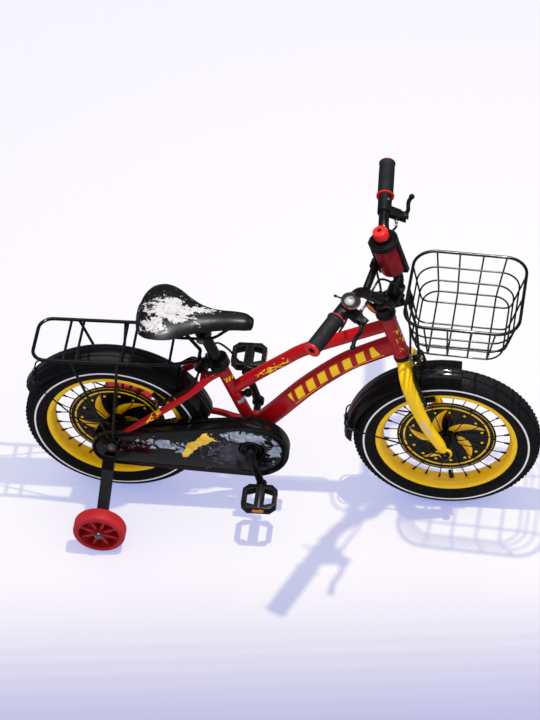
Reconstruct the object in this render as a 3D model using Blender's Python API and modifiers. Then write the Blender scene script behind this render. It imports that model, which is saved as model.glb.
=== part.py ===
"""A kids' bicycle with stabilisers, rack, basket and bottle, made of separate named parts.

Metres, X forward, Y to the rider's left, Z up. The origin is on the ground under the
rear hub, in the middle of the rear tyre's contact patch.
"""
from math import acos, atan2, cos, pi, radians, sin, sqrt, tan

import bmesh
import bpy
from mathutils import Matrix, Vector

# Gaps between touching pieces, and between pieces that turn or slide on each other.
SEAT_GAP = 0.0003
RUN_GAP = 0.0004

# Overall layout.
WHEEL_RADIUS = 0.2075
WHEELBASE = 0.741
HEAD_ANGLE = radians(75.0)
FORK_RAKE = 0.0268
SEAT_ANGLE = radians(72.5)
BB_X = 0.311
BB_Z = WHEEL_RADIUS - 0.0035
BAR_TURN = radians(-12.4)
BASKET_TURN = radians(-3.9)

# Wheels. The step counts are 4k + 2, which puts a flat facet at the bottom.
WHEEL_STEPS = 26
TYRE_HALF_WIDTH = 0.029
TYRE_WIDEST_RADIUS = WHEEL_RADIUS - 0.0255
TYRE_WALL = 0.004
RIM_RADIUS = 0.157
RIM_HALF_WIDTH = 0.0207
RIM_DEPTH = 0.017
RIM_BED_RADIUS = RIM_RADIUS - RIM_DEPTH
RIM_WALL = 0.0019
SPOKES = 28
SPOKE_RADIUS = 0.0011
FLANGE_RADIUS = 0.026
FLANGE_HALF_GAP = 0.010
FLANGE_THICKNESS = 0.0036
HUB_RADIUS = 0.0125
DISC_RADIUS = 0.110
DISC_THICKNESS = 0.002
AXLE_RADIUS = 0.0048

# Rear end, measured out from the middle of the bicycle.
REAR_DROPOUT_Y = 0.0575
DROPOUT_THICKNESS = 0.005
DROPOUT_RADIUS = 0.018
CHAIN_LINE_Y = 0.0445
CHAIN_WIDTH = 0.007
CHAIN_HEIGHT = 0.008
CHAIN_PITCH = 0.0127
CHAINRING_TEETH = 28
SPROCKET_TEETH = 14
SPROCKET_THICKNESS = 0.003
RACK_EYE_Y = 0.0755
GUARD_EYE_Y = 0.0789
EYE_THICKNESS = 0.0024
EYE_RADIUS = 0.0115
STABILISER_PLATE_Y = 0.069
STABILISER_PLATE_THICKNESS = 0.0045
NUT_RADIUS = 0.0095
NUT_HEIGHT = 0.008

# Chain case.
CASE_FRONT_RADIUS = 0.085
CASE_FRONT_RISE = -0.006
CASE_REAR_RADIUS = 0.051
CASE_REAR_Z = WHEEL_RADIUS - 0.025
CASE_ARCH_RADIUS = 0.050
CASE_ARCH_Z = WHEEL_RADIUS - 0.0135
CASE_INNER_Y = 0.0355
CASE_SPLIT_Y = 0.0490
CASE_OUTER_Y = 0.068
CASE_WALL = 0.0015
CASE_CRANK_HOLE_RADIUS = 0.0275

# Frame tubes.
HEAD_TUBE_RADIUS = 0.0178
HEAD_TUBE_LOW = 0.272
HEAD_TUBE_LENGTH = 0.117
STEERER_RADIUS = 0.0127
STEERER_BORE = 0.0113
CUP_HEIGHT = 0.0115
UPPER_CUP_HEIGHT = 0.021
CUP_RADIUS = 0.0195
UPPER_CUP_RADIUS = 0.0222
SEAT_TUBE_RADIUS = 0.0142
SEAT_TUBE_LENGTH = 0.228
POST_RADIUS = 0.0125
BB_RADIUS = 0.0215
BB_HALF_WIDTH = 0.034
SPINDLE_RADIUS = 0.0085
TOP_TUBE_RADIUS = 0.0142
DOWN_TUBE_HEIGHT = 0.046
DOWN_TUBE_WIDTH = 0.027
CHAIN_STAY_RADIUS = 0.0078
SEAT_STAY_RADIUS = 0.0082
PLUG_UP = 0.1126
PLUG_NECK = 0.0023
PLUG_RADIUS = 0.0102

# Fork and front end.
FORK_CROWN_LOW = 0.238
FORK_DROPOUT_Y = 0.0510
FORK_DROPOUT_RADIUS = 0.0150
FRONT_EYE_Y = 0.0558
FORK_LEG_Y = 0.0535
FORK_LEG_RADIUS = 0.0150
FORK_TIP_RADIUS = 0.0118
CROWN_RADIUS = 0.0185
GUARD_HALF_WIDTH = 0.034
GUARD_GAP = 0.008
GUARD_THICKNESS = 0.0016
GUARD_CROWN = 0.010

# Handlebar, in the straight-ahead position.
BAR_RADIUS = 0.0111
BAR_CLAMP_X = 0.632
BAR_CLAMP_Z = 0.664
BAR_CLAMP_HALF = 0.034
STEM_CLAMP_HALF = 0.020
BAR_SHOULDER = (0.5831, 0.088, 0.7515)
GRIP_INNER_Y = 0.1758
BAR_END = (0.5402, 0.2655, 0.7569)
CROSSBAR_RADIUS = 0.0080
CROSSBAR_SHARE = 0.82
REFLECTOR_SHARE = 0.24
REFLECTOR_CENTRE = (0.5865, -0.0569, 0.6668)
REFLECTOR_FACING = (-0.62, -0.73, -0.29)
REFLECTOR_RADIUS = 0.0165
REFLECTOR_THICKNESS = 0.008
STEM_RADIUS = 0.0160
CABLE_RADIUS = 0.0024
GRIP_RADIUS = 0.0165
GRIP_FLANGE_RADIUS = 0.0190
GRIP_FLANGE = 0.004
LEVER_CLAMP_LENGTH = 0.046
LEVER_CLAMP_RADIUS = 0.0148
LEVER_REACH = 0.0455
LEVER_PIVOT_INSET = 0.0360
LEVER_BLADE_LENGTH = 0.064
LEVER_EAR_GAP = 0.0045
LEVER_EAR = 0.0030
LEVER_DROOP = radians(28.0)
PIN_RADIUS = 0.0024

# Bell, on the right part of the handlebar.
BELL_Y = 0.1175
BELL_OUTWARD = 0.0205
BELL_FORWARD = 0.007
BELL_RADIUS = 0.0205
BELL_HEIGHT = 0.012
BELL_LIFT = 0.0192
BELL_BASE_HEIGHT = 0.0045
BELL_PIN_RADIUS = 0.0016

# Crank and pedals.
CRANK_LENGTH = 0.0907
CRANK_LEAN = radians(14.0)
CRANK_ROOT_Y = 0.0800
CRANK_EYE_Y = 0.090
PEDAL_LENGTH = 0.078
PEDAL_WIDTH = 0.070
PEDAL_HEIGHT = 0.020
PEDAL_RAIL = 0.011
PEDAL_GAP = 0.0085
PEDAL_PIN_RADIUS = 0.0045

# Stabilisers.
TRAINER_RADIUS = 0.0592
TRAINER_X = -0.0233
TRAINER_Y = 0.2005
TRAINER_HALF_WIDTH = 0.0172
TRAINER_STEPS = 22
TRAINER_SPOKES = 8
TRAINER_BOLT_RADIUS = 0.005
TRAINER_OPENING = 0.0455
ARM_TUBE = 0.025

# Rack.
RACK_Z = 0.462
RACK_RAIL_Y = 0.0625
RACK_REAR_X = -0.156
RACK_FRONT_X = 0.150
RACK_RAIL_RADIUS = 0.0040
RACK_ROD_RADIUS = 0.0030
RACK_RODS_X = (-0.086, -0.058, 0.040, 0.062, 0.146)
RACK_MOUNT_X = -0.058
RACK_STRUTS_X = (-0.070, 0.0335)
RACK_STRUT_RADIUS = 0.0032

# Basket, in the straight-ahead position.
BASKET_RIM_Z = 0.6775
BASKET_DEPTH = 0.100
BASKET_REAR_X = 0.6607
BASKET_FRONT_X = 0.8976
BASKET_HALF_WIDTH = 0.1102
BASKET_TAPER = 0.018
BASKET_FRONT_TAPER = 0.032
BASKET_CORNER = 0.045
BASKET_RIM_RADIUS = 0.0034
BASKET_WIRE_RADIUS = 0.0019
BASKET_LONG_WIRE_Y = 0.062
BRACKET_RING_HEIGHT = 0.0100
BRACKET_RING_RADIUS = 0.0210
BRACKET_PLATE_Z = 0.634

# Bottle.
BOTTLE_RADIUS = 0.027
BOTTLE_LENGTH = 0.089
BOTTLE_CAP_RADIUS = 0.0155
BOTTLE_CAP_HEIGHT = 0.024
BOTTLE_WALL = 0.0014
BOTTLE_NECK = 0.012
BOTTLE_FOOT = (0.6308, 0.0039, 0.7315)
CAGE_GAP = 0.0006
CAGE_WALL = 0.0030
CAGE_HEIGHT = 0.087
CAGE_COLLAR = 0.013

# Calliper brakes: the stud each turns on, and the way down to the rim.
BRIDGE = (0.2085, 0.0, 0.3785)
STUD_RADIUS = 0.0035
STUD_LENGTH = 0.030
ARM_RADIUS = 0.0042
ARM_EYE_RADIUS = 0.0085
ARM_EYE_THICKNESS = 0.0046
ARM_PITCH = 0.0056
ARM_Y = 0.0440
BRAKE_PAD_RADIUS = RIM_RADIUS - 0.0055
PAD_GAP = 0.0012

# Saddle and post. Each station: distance forward, half width, top height.
SADDLE_STATIONS = (
    (0.080, 0.040, 0.566), (0.088, 0.061, 0.576), (0.104, 0.077, 0.582), (0.130, 0.083, 0.584),
    (0.158, 0.076, 0.579), (0.187, 0.056, 0.572), (0.216, 0.040, 0.566), (0.250, 0.0295, 0.563),
    (0.285, 0.0250, 0.563), (0.310, 0.0215, 0.560), (0.322, 0.0140, 0.554),
)
SADDLE_SKIRT = 0.021
SADDLE_SHOULDER = 0.018
RAIL_RADIUS = 0.0033
RAIL_Y = 0.021
SEAT_CLAMP_Z = 0.508
POST_LOW = 0.110
SEAT_CLAMP_LOW = 0.2125
SEAT_CLAMP_HIGH = 0.2345
SEAT_CLAMP_RADIUS = 0.0235

X_AXIS = Vector((1.0, 0.0, 0.0))
Y_AXIS = Vector((0.0, 1.0, 0.0))
Z_AXIS = Vector((0.0, 0.0, 1.0))
STEER_UP = Vector((-cos(HEAD_ANGLE), 0.0, sin(HEAD_ANGLE)))
STEER_FRONT = Vector((sin(HEAD_ANGLE), 0.0, cos(HEAD_ANGLE)))
REAR_HUB = Vector((0.0, 0.0, WHEEL_RADIUS))
FRONT_HUB = Vector((WHEELBASE, 0.0, WHEEL_RADIUS))
BB = Vector((BB_X, 0.0, BB_Z))
STEER_ORIGIN = FRONT_HUB - X_AXIS * (FORK_RAKE / sin(HEAD_ANGLE))
SEAT_UP = Vector((-cos(SEAT_ANGLE), 0.0, sin(SEAT_ANGLE)))
CHAINRING_BORE = SPINDLE_RADIUS + SEAT_GAP

STUDS = {}
PARTS = bpy.data.collections.new("kids_bicycle")
CUTTERS = bpy.data.collections.new("cutters")


def clear_scene():
    """Remove the startup objects and link the two collections."""
    for obj in list(bpy.data.objects):
        bpy.data.objects.remove(obj, do_unlink=True)
    for collection in (PARTS, CUTTERS):
        bpy.context.scene.collection.children.link(collection)


def make_material(name, colour, roughness, metallic=0.0):
    """A Principled material of one colour."""
    material = bpy.data.materials.new(name)
    material.use_nodes = True
    shader = material.node_tree.nodes["Principled BSDF"]
    shader.inputs["Base Color"].default_value = (*colour, 1.0)
    shader.inputs["Roughness"].default_value = roughness
    shader.inputs["Metallic"].default_value = metallic
    return material


RED_PAINT = make_material("red_paint", (0.45, 0.010, 0.015), 0.28)
YELLOW_PAINT = make_material("yellow_paint", (0.88, 0.50, 0.010), 0.30)
BLACK_PAINT = make_material("black_paint", (0.008, 0.008, 0.009), 0.30)
BLACK_PLASTIC = make_material("black_plastic", (0.010, 0.010, 0.011), 0.45)
GLOSS_PLASTIC = make_material("gloss_plastic", (0.008, 0.008, 0.009), 0.15)
TYRE_RUBBER = make_material("tyre_rubber", (0.012, 0.012, 0.012), 0.75)
GRIP_RUBBER = make_material("grip_rubber", (0.012, 0.012, 0.012), 0.65)
RED_PLASTIC = make_material("red_plastic", (0.50, 0.012, 0.014), 0.40)
RED_METALLIC = make_material("red_metallic", (0.42, 0.008, 0.020), 0.30, 0.6)
STEEL = make_material("steel", (0.55, 0.55, 0.56), 0.30, 1.0)
CHROME = make_material("chrome", (0.85, 0.85, 0.86), 0.08, 1.0)
SADDLE_COVER = make_material("saddle_cover", (0.012, 0.012, 0.013), 0.50)


def direction_matrix(origin, axis):
    """Local Z along axis, with the local origin at origin."""
    turn = Z_AXIS.rotation_difference(Vector(axis).normalized()).to_matrix().to_4x4()
    return Matrix.Translation(origin) @ turn


def side_plane(y):
    """Local X forward and local Y up, in the upright plane at this y."""
    return Matrix.Translation((0.0, y, 0.0)) @ Matrix.Rotation(pi / 2, 4, "X")


def steer_point(up, front=0.0, left=0.0):
    """A point by its distance up the steering axis, in front of it and to the left."""
    return STEER_ORIGIN + STEER_UP * up + STEER_FRONT * front + Y_AXIS * left


def seat_point(up, front=0.0, left=0.0):
    """A point by its distance up the seat tube's axis from the bottom bracket."""
    forward = Vector((sin(SEAT_ANGLE), 0.0, cos(SEAT_ANGLE)))
    return BB + SEAT_UP * up + forward * front + Y_AXIS * left


def turn_about_steering(angle):
    """The matrix that turns a piece about the steering axis."""
    there = Matrix.Translation(STEER_ORIGIN)
    return there @ Matrix.Rotation(angle, 4, STEER_UP) @ there.inverted()


class Stud:
    """A brake's stud, with the way outwards along it and the way down to the rim."""

    def __init__(self, root, outward, down, hub, level, cable_side):
        """Keep the frame and work out how far down the brake pad sits."""
        self.cable_side = cable_side
        self.root = Vector(root)
        self.outward = outward
        self.down = down
        self.hub = hub
        self.level = level
        away = self.root + outward * (level + ARM_PITCH) - hub
        along = -away.dot(down)
        across = away.dot(outward)
        self.drop = along - sqrt(BRAKE_PAD_RADIUS ** 2 - across ** 2)

    def point(self, down, out, left):
        """A point by its distance down, out along the stud and to the left."""
        return self.root + self.down * down + self.outward * out + Y_AXIS * left


def brake_studs():
    """The studs of the front and the rear brake."""
    front = Stud(steer_point(0.250), STEER_FRONT, -STEER_UP, FRONT_HUB, 0.0225, -1)
    radial = (Vector(BRIDGE) - REAR_HUB).normalized()
    tangent = Vector((-radial.z, 0.0, radial.x))
    rear = Stud(BRIDGE, tangent, -radial, REAR_HUB, 0.0135, 1)
    return {"front": front, "rear": rear}


def mirrored(point, side):
    """The point on the left for side 1 and on the right for side -1."""
    return Vector((point[0], abs(point[1]) * side, point[2]))


def add_object(name, data, material, where=None):
    """Put a mesh or curve in the parts collection at its place."""
    obj = bpy.data.objects.new(name, data)
    data.materials.append(material)
    obj.matrix_world = where or Matrix.Identity(4)
    PARTS.objects.link(obj)
    return obj


def shade(obj, angle=radians(35.0)):
    """Smooth shading with the edges over the angle kept sharp."""
    obj.data.shade_smooth()
    obj.data.set_sharp_from_angle(angle=angle)
    return obj


def from_bmesh(name, shape, material, where=None):
    """Turn a finished bmesh into a part."""
    mesh = bpy.data.meshes.new(name)
    shape.to_mesh(mesh)
    shape.free()
    return shade(add_object(name, mesh, material, where))


def cylinder(name, start, end, radius, material=BLACK_PAINT, steps=16, end_radius=None):
    """A cylinder or cone between two points."""
    start = Vector(start)
    end = Vector(end)
    shape = bmesh.new()
    bmesh.ops.create_cone(
        shape, cap_ends=True, segments=steps, radius1=radius,
        radius2=radius if end_radius is None else end_radius, depth=(end - start).length)
    where = direction_matrix((start + end) / 2, end - start)
    return from_bmesh(name, shape, material, where)


def box(name, centre, size, material=BLACK_PAINT, turn=None):
    """A box of a size about a centre, turned by a matrix."""
    shape = bmesh.new()
    bmesh.ops.create_cube(shape, size=1.0, matrix=Matrix.Diagonal((*size, 1.0)))
    where = Matrix.Translation(centre) @ (turn or Matrix.Identity(4))
    return from_bmesh(name, shape, material, where)


def turned(name, profile, steps, where, material, closed=False):
    """A profile of (radius, height) points turned about local Z by a Screw modifier."""
    mesh = bpy.data.meshes.new(name)
    points = [(radius, 0.0, height) for radius, height in profile]
    edges = [(i, i + 1) for i in range(len(points) - 1)
             if profile[i][0] > 0.0 or profile[i + 1][0] > 0.0]
    if closed:
        edges.append((len(points) - 1, 0))
    mesh.from_pydata(points, edges, [])
    obj = add_object(name, mesh, material, where)
    screw = obj.modifiers.new("turn", "SCREW")
    screw.axis = "Z"
    screw.steps = steps
    screw.render_steps = steps
    screw.use_merge_vertices = True
    screw.merge_threshold = 0.00001
    screw.use_smooth_shade = True
    return obj


def tube(name, points, radius, material, sides=8, cyclic=False, where=None, scales=None):
    """A round bar along points, as a bevelled curve."""
    curve = bpy.data.curves.new(name, "CURVE")
    curve.dimensions = "3D"
    curve.bevel_depth = radius
    curve.bevel_resolution = (sides - 4) // 2
    curve.use_fill_caps = not cyclic
    spline = curve.splines.new("POLY")
    spline.points.add(len(points) - 1)
    for target, point in zip(spline.points, points):
        target.co = (*point, 1.0)
    if scales:
        for target, scale in zip(spline.points, scales):
            target.radius = scale
    spline.use_cyclic_u = cyclic
    spline.use_smooth = sides > 4
    return add_object(name, curve, material, where)


def plate(name, outline, thickness, material, where, holes=(), edge=0.0):
    """A flat outline with holes, extruded both ways along local Z."""
    curve = bpy.data.curves.new(name, "CURVE")
    curve.dimensions = "2D"
    curve.fill_mode = "BOTH"
    curve.extrude = thickness / 2 - edge
    curve.bevel_depth = edge
    curve.bevel_resolution = 0
    curve.offset = -edge
    for loop in (outline, *holes):
        spline = curve.splines.new("POLY")
        spline.points.add(len(loop) - 1)
        for target, point in zip(spline.points, loop):
            target.co = (point[0], point[1], 0.0, 1.0)
        spline.use_cyclic_u = True
    return add_object(name, curve, material, where)


def to_mesh(obj):
    """Replace an object by its evaluated mesh in world space, with its caps welded."""
    bpy.context.view_layer.update()
    graph = bpy.context.evaluated_depsgraph_get()
    mesh = bpy.data.meshes.new_from_object(obj.evaluated_get(graph))
    mesh.transform(obj.matrix_world)
    shape = bmesh.new()
    shape.from_mesh(mesh)
    bmesh.ops.remove_doubles(shape, verts=shape.verts, dist=0.000005)
    bmesh.ops.recalc_face_normals(shape, faces=shape.faces)
    shape.to_mesh(mesh)
    shape.free()
    name = obj.name
    bpy.data.objects.remove(obj, do_unlink=True)
    result = bpy.data.objects.new(name, mesh)
    PARTS.objects.link(result)
    return result


def tidy(mesh):
    """Close the hairline seams of a welded mesh."""
    shape = bmesh.new()
    shape.from_mesh(mesh)
    bmesh.ops.remove_doubles(shape, verts=shape.verts, dist=0.00005)
    bmesh.ops.recalc_face_normals(shape, faces=shape.faces)
    shape.to_mesh(mesh)
    shape.free()


def weld(name, pieces, material, cuts=(), where=None):
    """Union the pieces into one solid, cut the cutters from it and place it."""
    base = to_mesh(pieces[0])
    tools = []
    for operation, group in (("UNION", pieces[1:]), ("DIFFERENCE", cuts)):
        for piece in group:
            tool = to_mesh(piece)
            tools.append(tool)
            boolean = base.modifiers.new(operation.lower(), "BOOLEAN")
            boolean.operation = operation
            boolean.solver = "EXACT"
            boolean.object = tool
    result = to_mesh(base)
    tidy(result.data)
    for tool in tools:
        bpy.data.objects.remove(tool, do_unlink=True)
    result.name = name
    result.data.materials.clear()
    result.data.materials.append(material)
    result.matrix_world = where or Matrix.Identity(4)
    return shade(result)


def arc(centre, radius, start, end, steps):
    """Points on a circle from one angle to another, both ends included."""
    return [(centre[0] + radius * cos(start + (end - start) * i / steps),
             centre[1] + radius * sin(start + (end - start) * i / steps))
            for i in range(steps + 1)]


def ring(centre, radius, steps):
    """A closed circle of points."""
    return arc(centre, radius, 0.0, 2 * pi * (steps - 1) / steps, steps - 1)


def belt_outline(rear, rear_radius, front, front_radius, rear_steps, front_steps):
    """The loop of a belt round two circles in the (x, z) plane."""
    span = Vector(front) - Vector(rear)
    lean = atan2(span.y, span.x)
    spread = acos((front_radius - rear_radius) / span.length)
    top = lean + pi - spread
    low = lean - pi + spread
    points = arc(front, front_radius, low, top, front_steps)
    points += arc(rear, rear_radius, top, low + 2 * pi, rear_steps)
    return points


def bent(points, bend, steps=3):
    """Round the inner corners of a path with arcs that start `bend` from the corner."""
    path = [Vector(points[0])]
    for before, corner, after in zip(points, points[1:], points[2:]):
        before, corner, after = Vector(before), Vector(corner), Vector(after)
        reach = min(bend, (before - corner).length * 0.49, (after - corner).length * 0.49)
        first = corner + (before - corner).normalized() * reach
        last = corner + (after - corner).normalized() * reach
        for i in range(steps + 1):
            share = i / steps
            path.append(first * (1 - share) ** 2 + corner * 2 * share * (1 - share) + last * share ** 2)
    path.append(Vector(points[-1]))
    return path


def eased(points, spacing):
    """Points at an even spacing on a smooth curve through hand-placed points."""
    points = [Vector(point) for point in points]
    ends = [points[0] * 2 - points[1], *points, points[-1] * 2 - points[-2]]
    fine = []
    for a, b, c, d in zip(ends, ends[1:], ends[2:], ends[3:]):
        for i in range(12):
            t = i / 12
            fine.append(0.5 * (2 * b + (c - a) * t + (2 * a - 5 * b + 4 * c - d) * t ** 2
                               + (3 * b - a - 3 * c + d) * t ** 3))
    fine.append(points[-1])
    length = sum((b - a).length for a, b in zip(fine, fine[1:]))
    count = max(3, round(length / spacing))
    path = [fine[0]]
    travelled = 0.0
    for a, b in zip(fine, fine[1:]):
        step = (b - a).length
        while len(path) < count and travelled + step >= length * len(path) / count:
            share = (length * len(path) / count - travelled) / step
            path.append(a + (b - a) * share)
        travelled += step
    path.append(fine[-1])
    return path


def joint_empty(name, origin, parts, parent=None):
    """Hang the parts of a moving body on an empty at its joint."""
    empty = bpy.data.objects.new(name, None)
    PARTS.objects.link(empty)
    empty.location = origin
    bpy.context.view_layer.update()
    if parent:
        empty.parent = parent
        empty.matrix_parent_inverse = parent.matrix_world.inverted()
    bpy.context.view_layer.update()
    for part in parts:
        part.parent = empty
        part.matrix_parent_inverse = empty.matrix_world.inverted()
    return empty


def across_corners(radius, steps):
    """The corner radius of a polygon whose flats lie at this radius."""
    return radius / cos(pi / steps)


def wheel_turned(name, profile, hub, material, steps=WHEEL_STEPS):
    """A closed wheel section of (radius, y) points turned about the hub's axle."""
    spun = [(across_corners(radius, steps), y) for radius, y in profile]
    return turned(name, spun, steps, direction_matrix(hub, Y_AXIS), material, closed=True)


def symmetric(half):
    """A section's +Y half, listed from the middle out, made whole from +Y to -Y."""
    return [(radius, y) for radius, y in reversed(half) if y > 0] + [
        (radius, -y) for radius, y in half]


def make_tyre(name, hub):
    """An open tyre casing whose beads sit inside the rim's flanges."""
    bead_y = RIM_HALF_WIDTH - RIM_WALL - 0.0004
    outside = symmetric([
        (WHEEL_RADIUS, 0.009),
        (WHEEL_RADIUS - 0.007, 0.0215),
        (TYRE_WIDEST_RADIUS + 0.0045, TYRE_HALF_WIDTH),
        (RIM_RADIUS + 0.012, TYRE_HALF_WIDTH - 0.0018),
        (RIM_RADIUS + 0.0012, bead_y),
        (RIM_RADIUS - 0.006, bead_y - 0.0006),
    ])
    inside = symmetric([
        (WHEEL_RADIUS - TYRE_WALL - 0.001, 0.008),
        (TYRE_WIDEST_RADIUS + 0.001, TYRE_HALF_WIDTH - TYRE_WALL),
        (RIM_RADIUS - 0.006, bead_y - TYRE_WALL),
    ])
    return wheel_turned(name, outside + inside[::-1], hub, TYRE_RUBBER)


def make_rim(name, hub):
    """A single-wall rim with an open bed towards the tyre."""
    channel = symmetric([
        (RIM_BED_RADIUS + RIM_WALL, 0.0095 - RIM_WALL / 2),
        (RIM_RADIUS - 0.0095, RIM_HALF_WIDTH - 0.0005 - RIM_WALL),
        (RIM_RADIUS, RIM_HALF_WIDTH - RIM_WALL),
        (RIM_RADIUS, RIM_HALF_WIDTH),
    ])
    back = symmetric([
        (RIM_BED_RADIUS, 0.0100),
        (RIM_RADIUS - 0.0095, RIM_HALF_WIDTH - 0.0005),
    ])
    return wheel_turned(name, channel + back[::-1], hub, YELLOW_PAINT)


def make_spokes(hub):
    """Straight spokes from the two flanges to the rim bed, as bars to be welded."""
    spokes = []
    for i in range(SPOKES):
        angle = 2 * pi * (i + 0.5) / SPOKES
        side = 1 if i % 2 else -1
        out = Vector((cos(angle), 0.0, sin(angle)))
        start = hub + out * (FLANGE_RADIUS - 0.004) + Y_AXIS * side * (
            FLANGE_HALF_GAP + FLANGE_THICKNESS / 2)
        end = hub + out * (RIM_BED_RADIUS - SEAT_GAP)
        spokes.append(cylinder("spoke", start, end, SPOKE_RADIUS, steps=3))
    return spokes


def hub_profile(end_y):
    """The barrel with its bore and its two spoke flanges."""
    inner = FLANGE_HALF_GAP
    outer = FLANGE_HALF_GAP + FLANGE_THICKNESS
    bore = across_corners(AXLE_RADIUS + RUN_GAP, 14)
    return symmetric([
        (HUB_RADIUS, inner), (FLANGE_RADIUS, inner), (FLANGE_RADIUS, outer), (HUB_RADIUS, outer),
        (HUB_RADIUS, end_y), (bore, end_y)])


def make_hub(name, hub, end_y):
    """A hub shell with its spokes."""
    shell = turned(name, hub_profile(end_y), 14, direction_matrix(hub, Y_AXIS),
                   BLACK_PAINT, closed=True)
    return weld(name, [shell, *make_spokes(hub)], BLACK_PAINT)


def make_disc(name, hub):
    """The thin printed disc that is clipped between the spokes."""
    half = DISC_THICKNESS / 2
    bore = HUB_RADIUS + SEAT_GAP
    section = [(bore, half), (DISC_RADIUS, half), (DISC_RADIUS, -half), (bore, -half)]
    return wheel_turned(name, section, hub, BLACK_PLASTIC)


def make_front_wheel():
    """Tyre, rim, spoked hub and disc of the front wheel."""
    end_y = FORK_DROPOUT_Y - DROPOUT_THICKNESS / 2 - SEAT_GAP
    return [
        make_tyre("front_tyre", FRONT_HUB),
        make_rim("front_rim", FRONT_HUB),
        make_hub("front_hub", FRONT_HUB, end_y),
        make_disc("front_disc", FRONT_HUB),
    ]


def make_rear_wheel():
    """Tyre, rim, spoked hub, disc and sprocket of the rear wheel."""
    end_y = REAR_DROPOUT_Y - DROPOUT_THICKNESS / 2 - SEAT_GAP
    return [
        make_tyre("rear_tyre", REAR_HUB),
        make_rim("rear_rim", REAR_HUB),
        make_hub("rear_hub", REAR_HUB, end_y),
        make_disc("rear_disc", REAR_HUB),
        toothed_wheel("rear_sprocket", REAR_HUB, SPROCKET_TEETH, HUB_RADIUS + SEAT_GAP),
    ]


def pitch_radius(teeth):
    """The radius at which the chain runs on a wheel with this many teeth."""
    return teeth * CHAIN_PITCH / (2 * pi)


def toothed_wheel(name, centre, teeth, bore, windows=0):
    """A flat chain wheel in the chain line, with low teeth under the chain."""
    tip = pitch_radius(teeth) - CHAIN_HEIGHT / 2 - SEAT_GAP
    root = tip - 0.0022
    outline = []
    for i in range(teeth):
        for share, radius in ((0.0, root), (0.5, tip)):
            angle = 2 * pi * (i + share) / teeth
            outline.append((centre.x + radius * cos(angle), centre.z + radius * sin(angle)))
    holes = [ring((centre.x, centre.z), across_corners(bore, 12), 12)]
    reach = (bore + root) / 2 + 0.004
    for i in range(windows):
        angle = 2 * pi * i / windows
        middle = (centre.x + reach * cos(angle), centre.z + reach * sin(angle))
        holes.append(ring(middle, (root - bore) / 3.6, 6))
    return plate(name, outline, SPROCKET_THICKNESS, STEEL, side_plane(-CHAIN_LINE_Y), holes)


def make_axles():
    """Both axles with their collars and end nuts, each as one turned bar."""
    plate_in = STABILISER_PLATE_Y - SEAT_GAP
    plate_out = STABILISER_PLATE_Y + STABILISER_PLATE_THICKNESS + SEAT_GAP
    drop_out = REAR_DROPOUT_Y + DROPOUT_THICKNESS / 2 + SEAT_GAP
    rear_nut = GUARD_EYE_Y + EYE_THICKNESS / 2 + SEAT_GAP
    rear_half = [
        (AXLE_RADIUS, drop_out), (NUT_RADIUS, drop_out), (NUT_RADIUS, plate_in),
        (AXLE_RADIUS, plate_in), (AXLE_RADIUS, rear_nut), (NUT_RADIUS, rear_nut),
        (NUT_RADIUS, rear_nut + NUT_HEIGHT), (0.0, rear_nut + NUT_HEIGHT + 0.002),
    ]
    front_nut = FRONT_EYE_Y + EYE_THICKNESS / 2 + SEAT_GAP
    front_half = [
        (AXLE_RADIUS, front_nut), (NUT_RADIUS, front_nut),
        (NUT_RADIUS * 0.95, front_nut + NUT_HEIGHT), (0.0, front_nut + NUT_HEIGHT + 0.003),
    ]
    return (turned("rear_axle", symmetric(rear_half), 10, direction_matrix(REAR_HUB, Y_AXIS), STEEL),
            turned("front_axle", symmetric(front_half), 10, direction_matrix(FRONT_HUB, Y_AXIS),
                   BLACK_PAINT))


def dropout_cuts(hub, y, radius):
    """Room for the hub end and for the nut on the two sides of each dropout."""
    cuts = [cylinder("axle_hole", hub - Y_AXIS * 0.1, hub + Y_AXIS * 0.1,
                     across_corners(AXLE_RADIUS + SEAT_GAP, 10), steps=10)]
    for side in (1, -1):
        for edge in (1, -1):
            face = y + edge * (DROPOUT_THICKNESS / 2 + SEAT_GAP / 3)
            cuts.append(cylinder("end_room", hub + Y_AXIS * side * face,
                                 hub + Y_AXIS * side * (face + edge * 0.03), radius, steps=14))
    return cuts


def down_tube():
    """The deep curved tube from the head tube to the bottom bracket."""
    half_height = DOWN_TUBE_HEIGHT / 2
    half_width = DOWN_TUBE_WIDTH / 2
    section = bpy.data.curves.new("down_tube_section", "CURVE")
    section.dimensions = "2D"
    spline = section.splines.new("POLY")
    corners = []
    corner = half_width * 0.72
    for x, y, start in ((1, 1, 0), (-1, 1, 1), (-1, -1, 2), (1, -1, 3)):
        middle = (x * (half_width - corner), y * (half_height - corner))
        corners += arc(middle, corner, start * pi / 2, (start + 1) * pi / 2, 2)
    spline.points.add(len(corners) - 1)
    for target, point in zip(spline.points, corners):
        target.co = (point[0], point[1], 0.0, 1.0)
    spline.use_cyclic_u = True
    guide = bpy.data.objects.new("down_tube_section", section)
    CUTTERS.objects.link(guide)
    guide.hide_render = True
    guide.display_type = "WIRE"
    head = steer_point(HEAD_TUBE_LOW + 0.032)
    path = eased([head, (0.574, 0.0, 0.467), (0.519, 0.0, 0.431), (0.440, 0.0, 0.3565),
                  (0.368, 0.0, 0.271), (BB_X + 0.006, 0.0, BB_Z + 0.008)], 0.044)
    tube_obj = tube("down_tube", path, 0.0, RED_PAINT)
    tube_obj.data.bevel_mode = "OBJECT"
    tube_obj.data.bevel_object = guide
    tube_obj.data.twist_mode = "Z_UP"
    return to_mesh(tube_obj)


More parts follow.
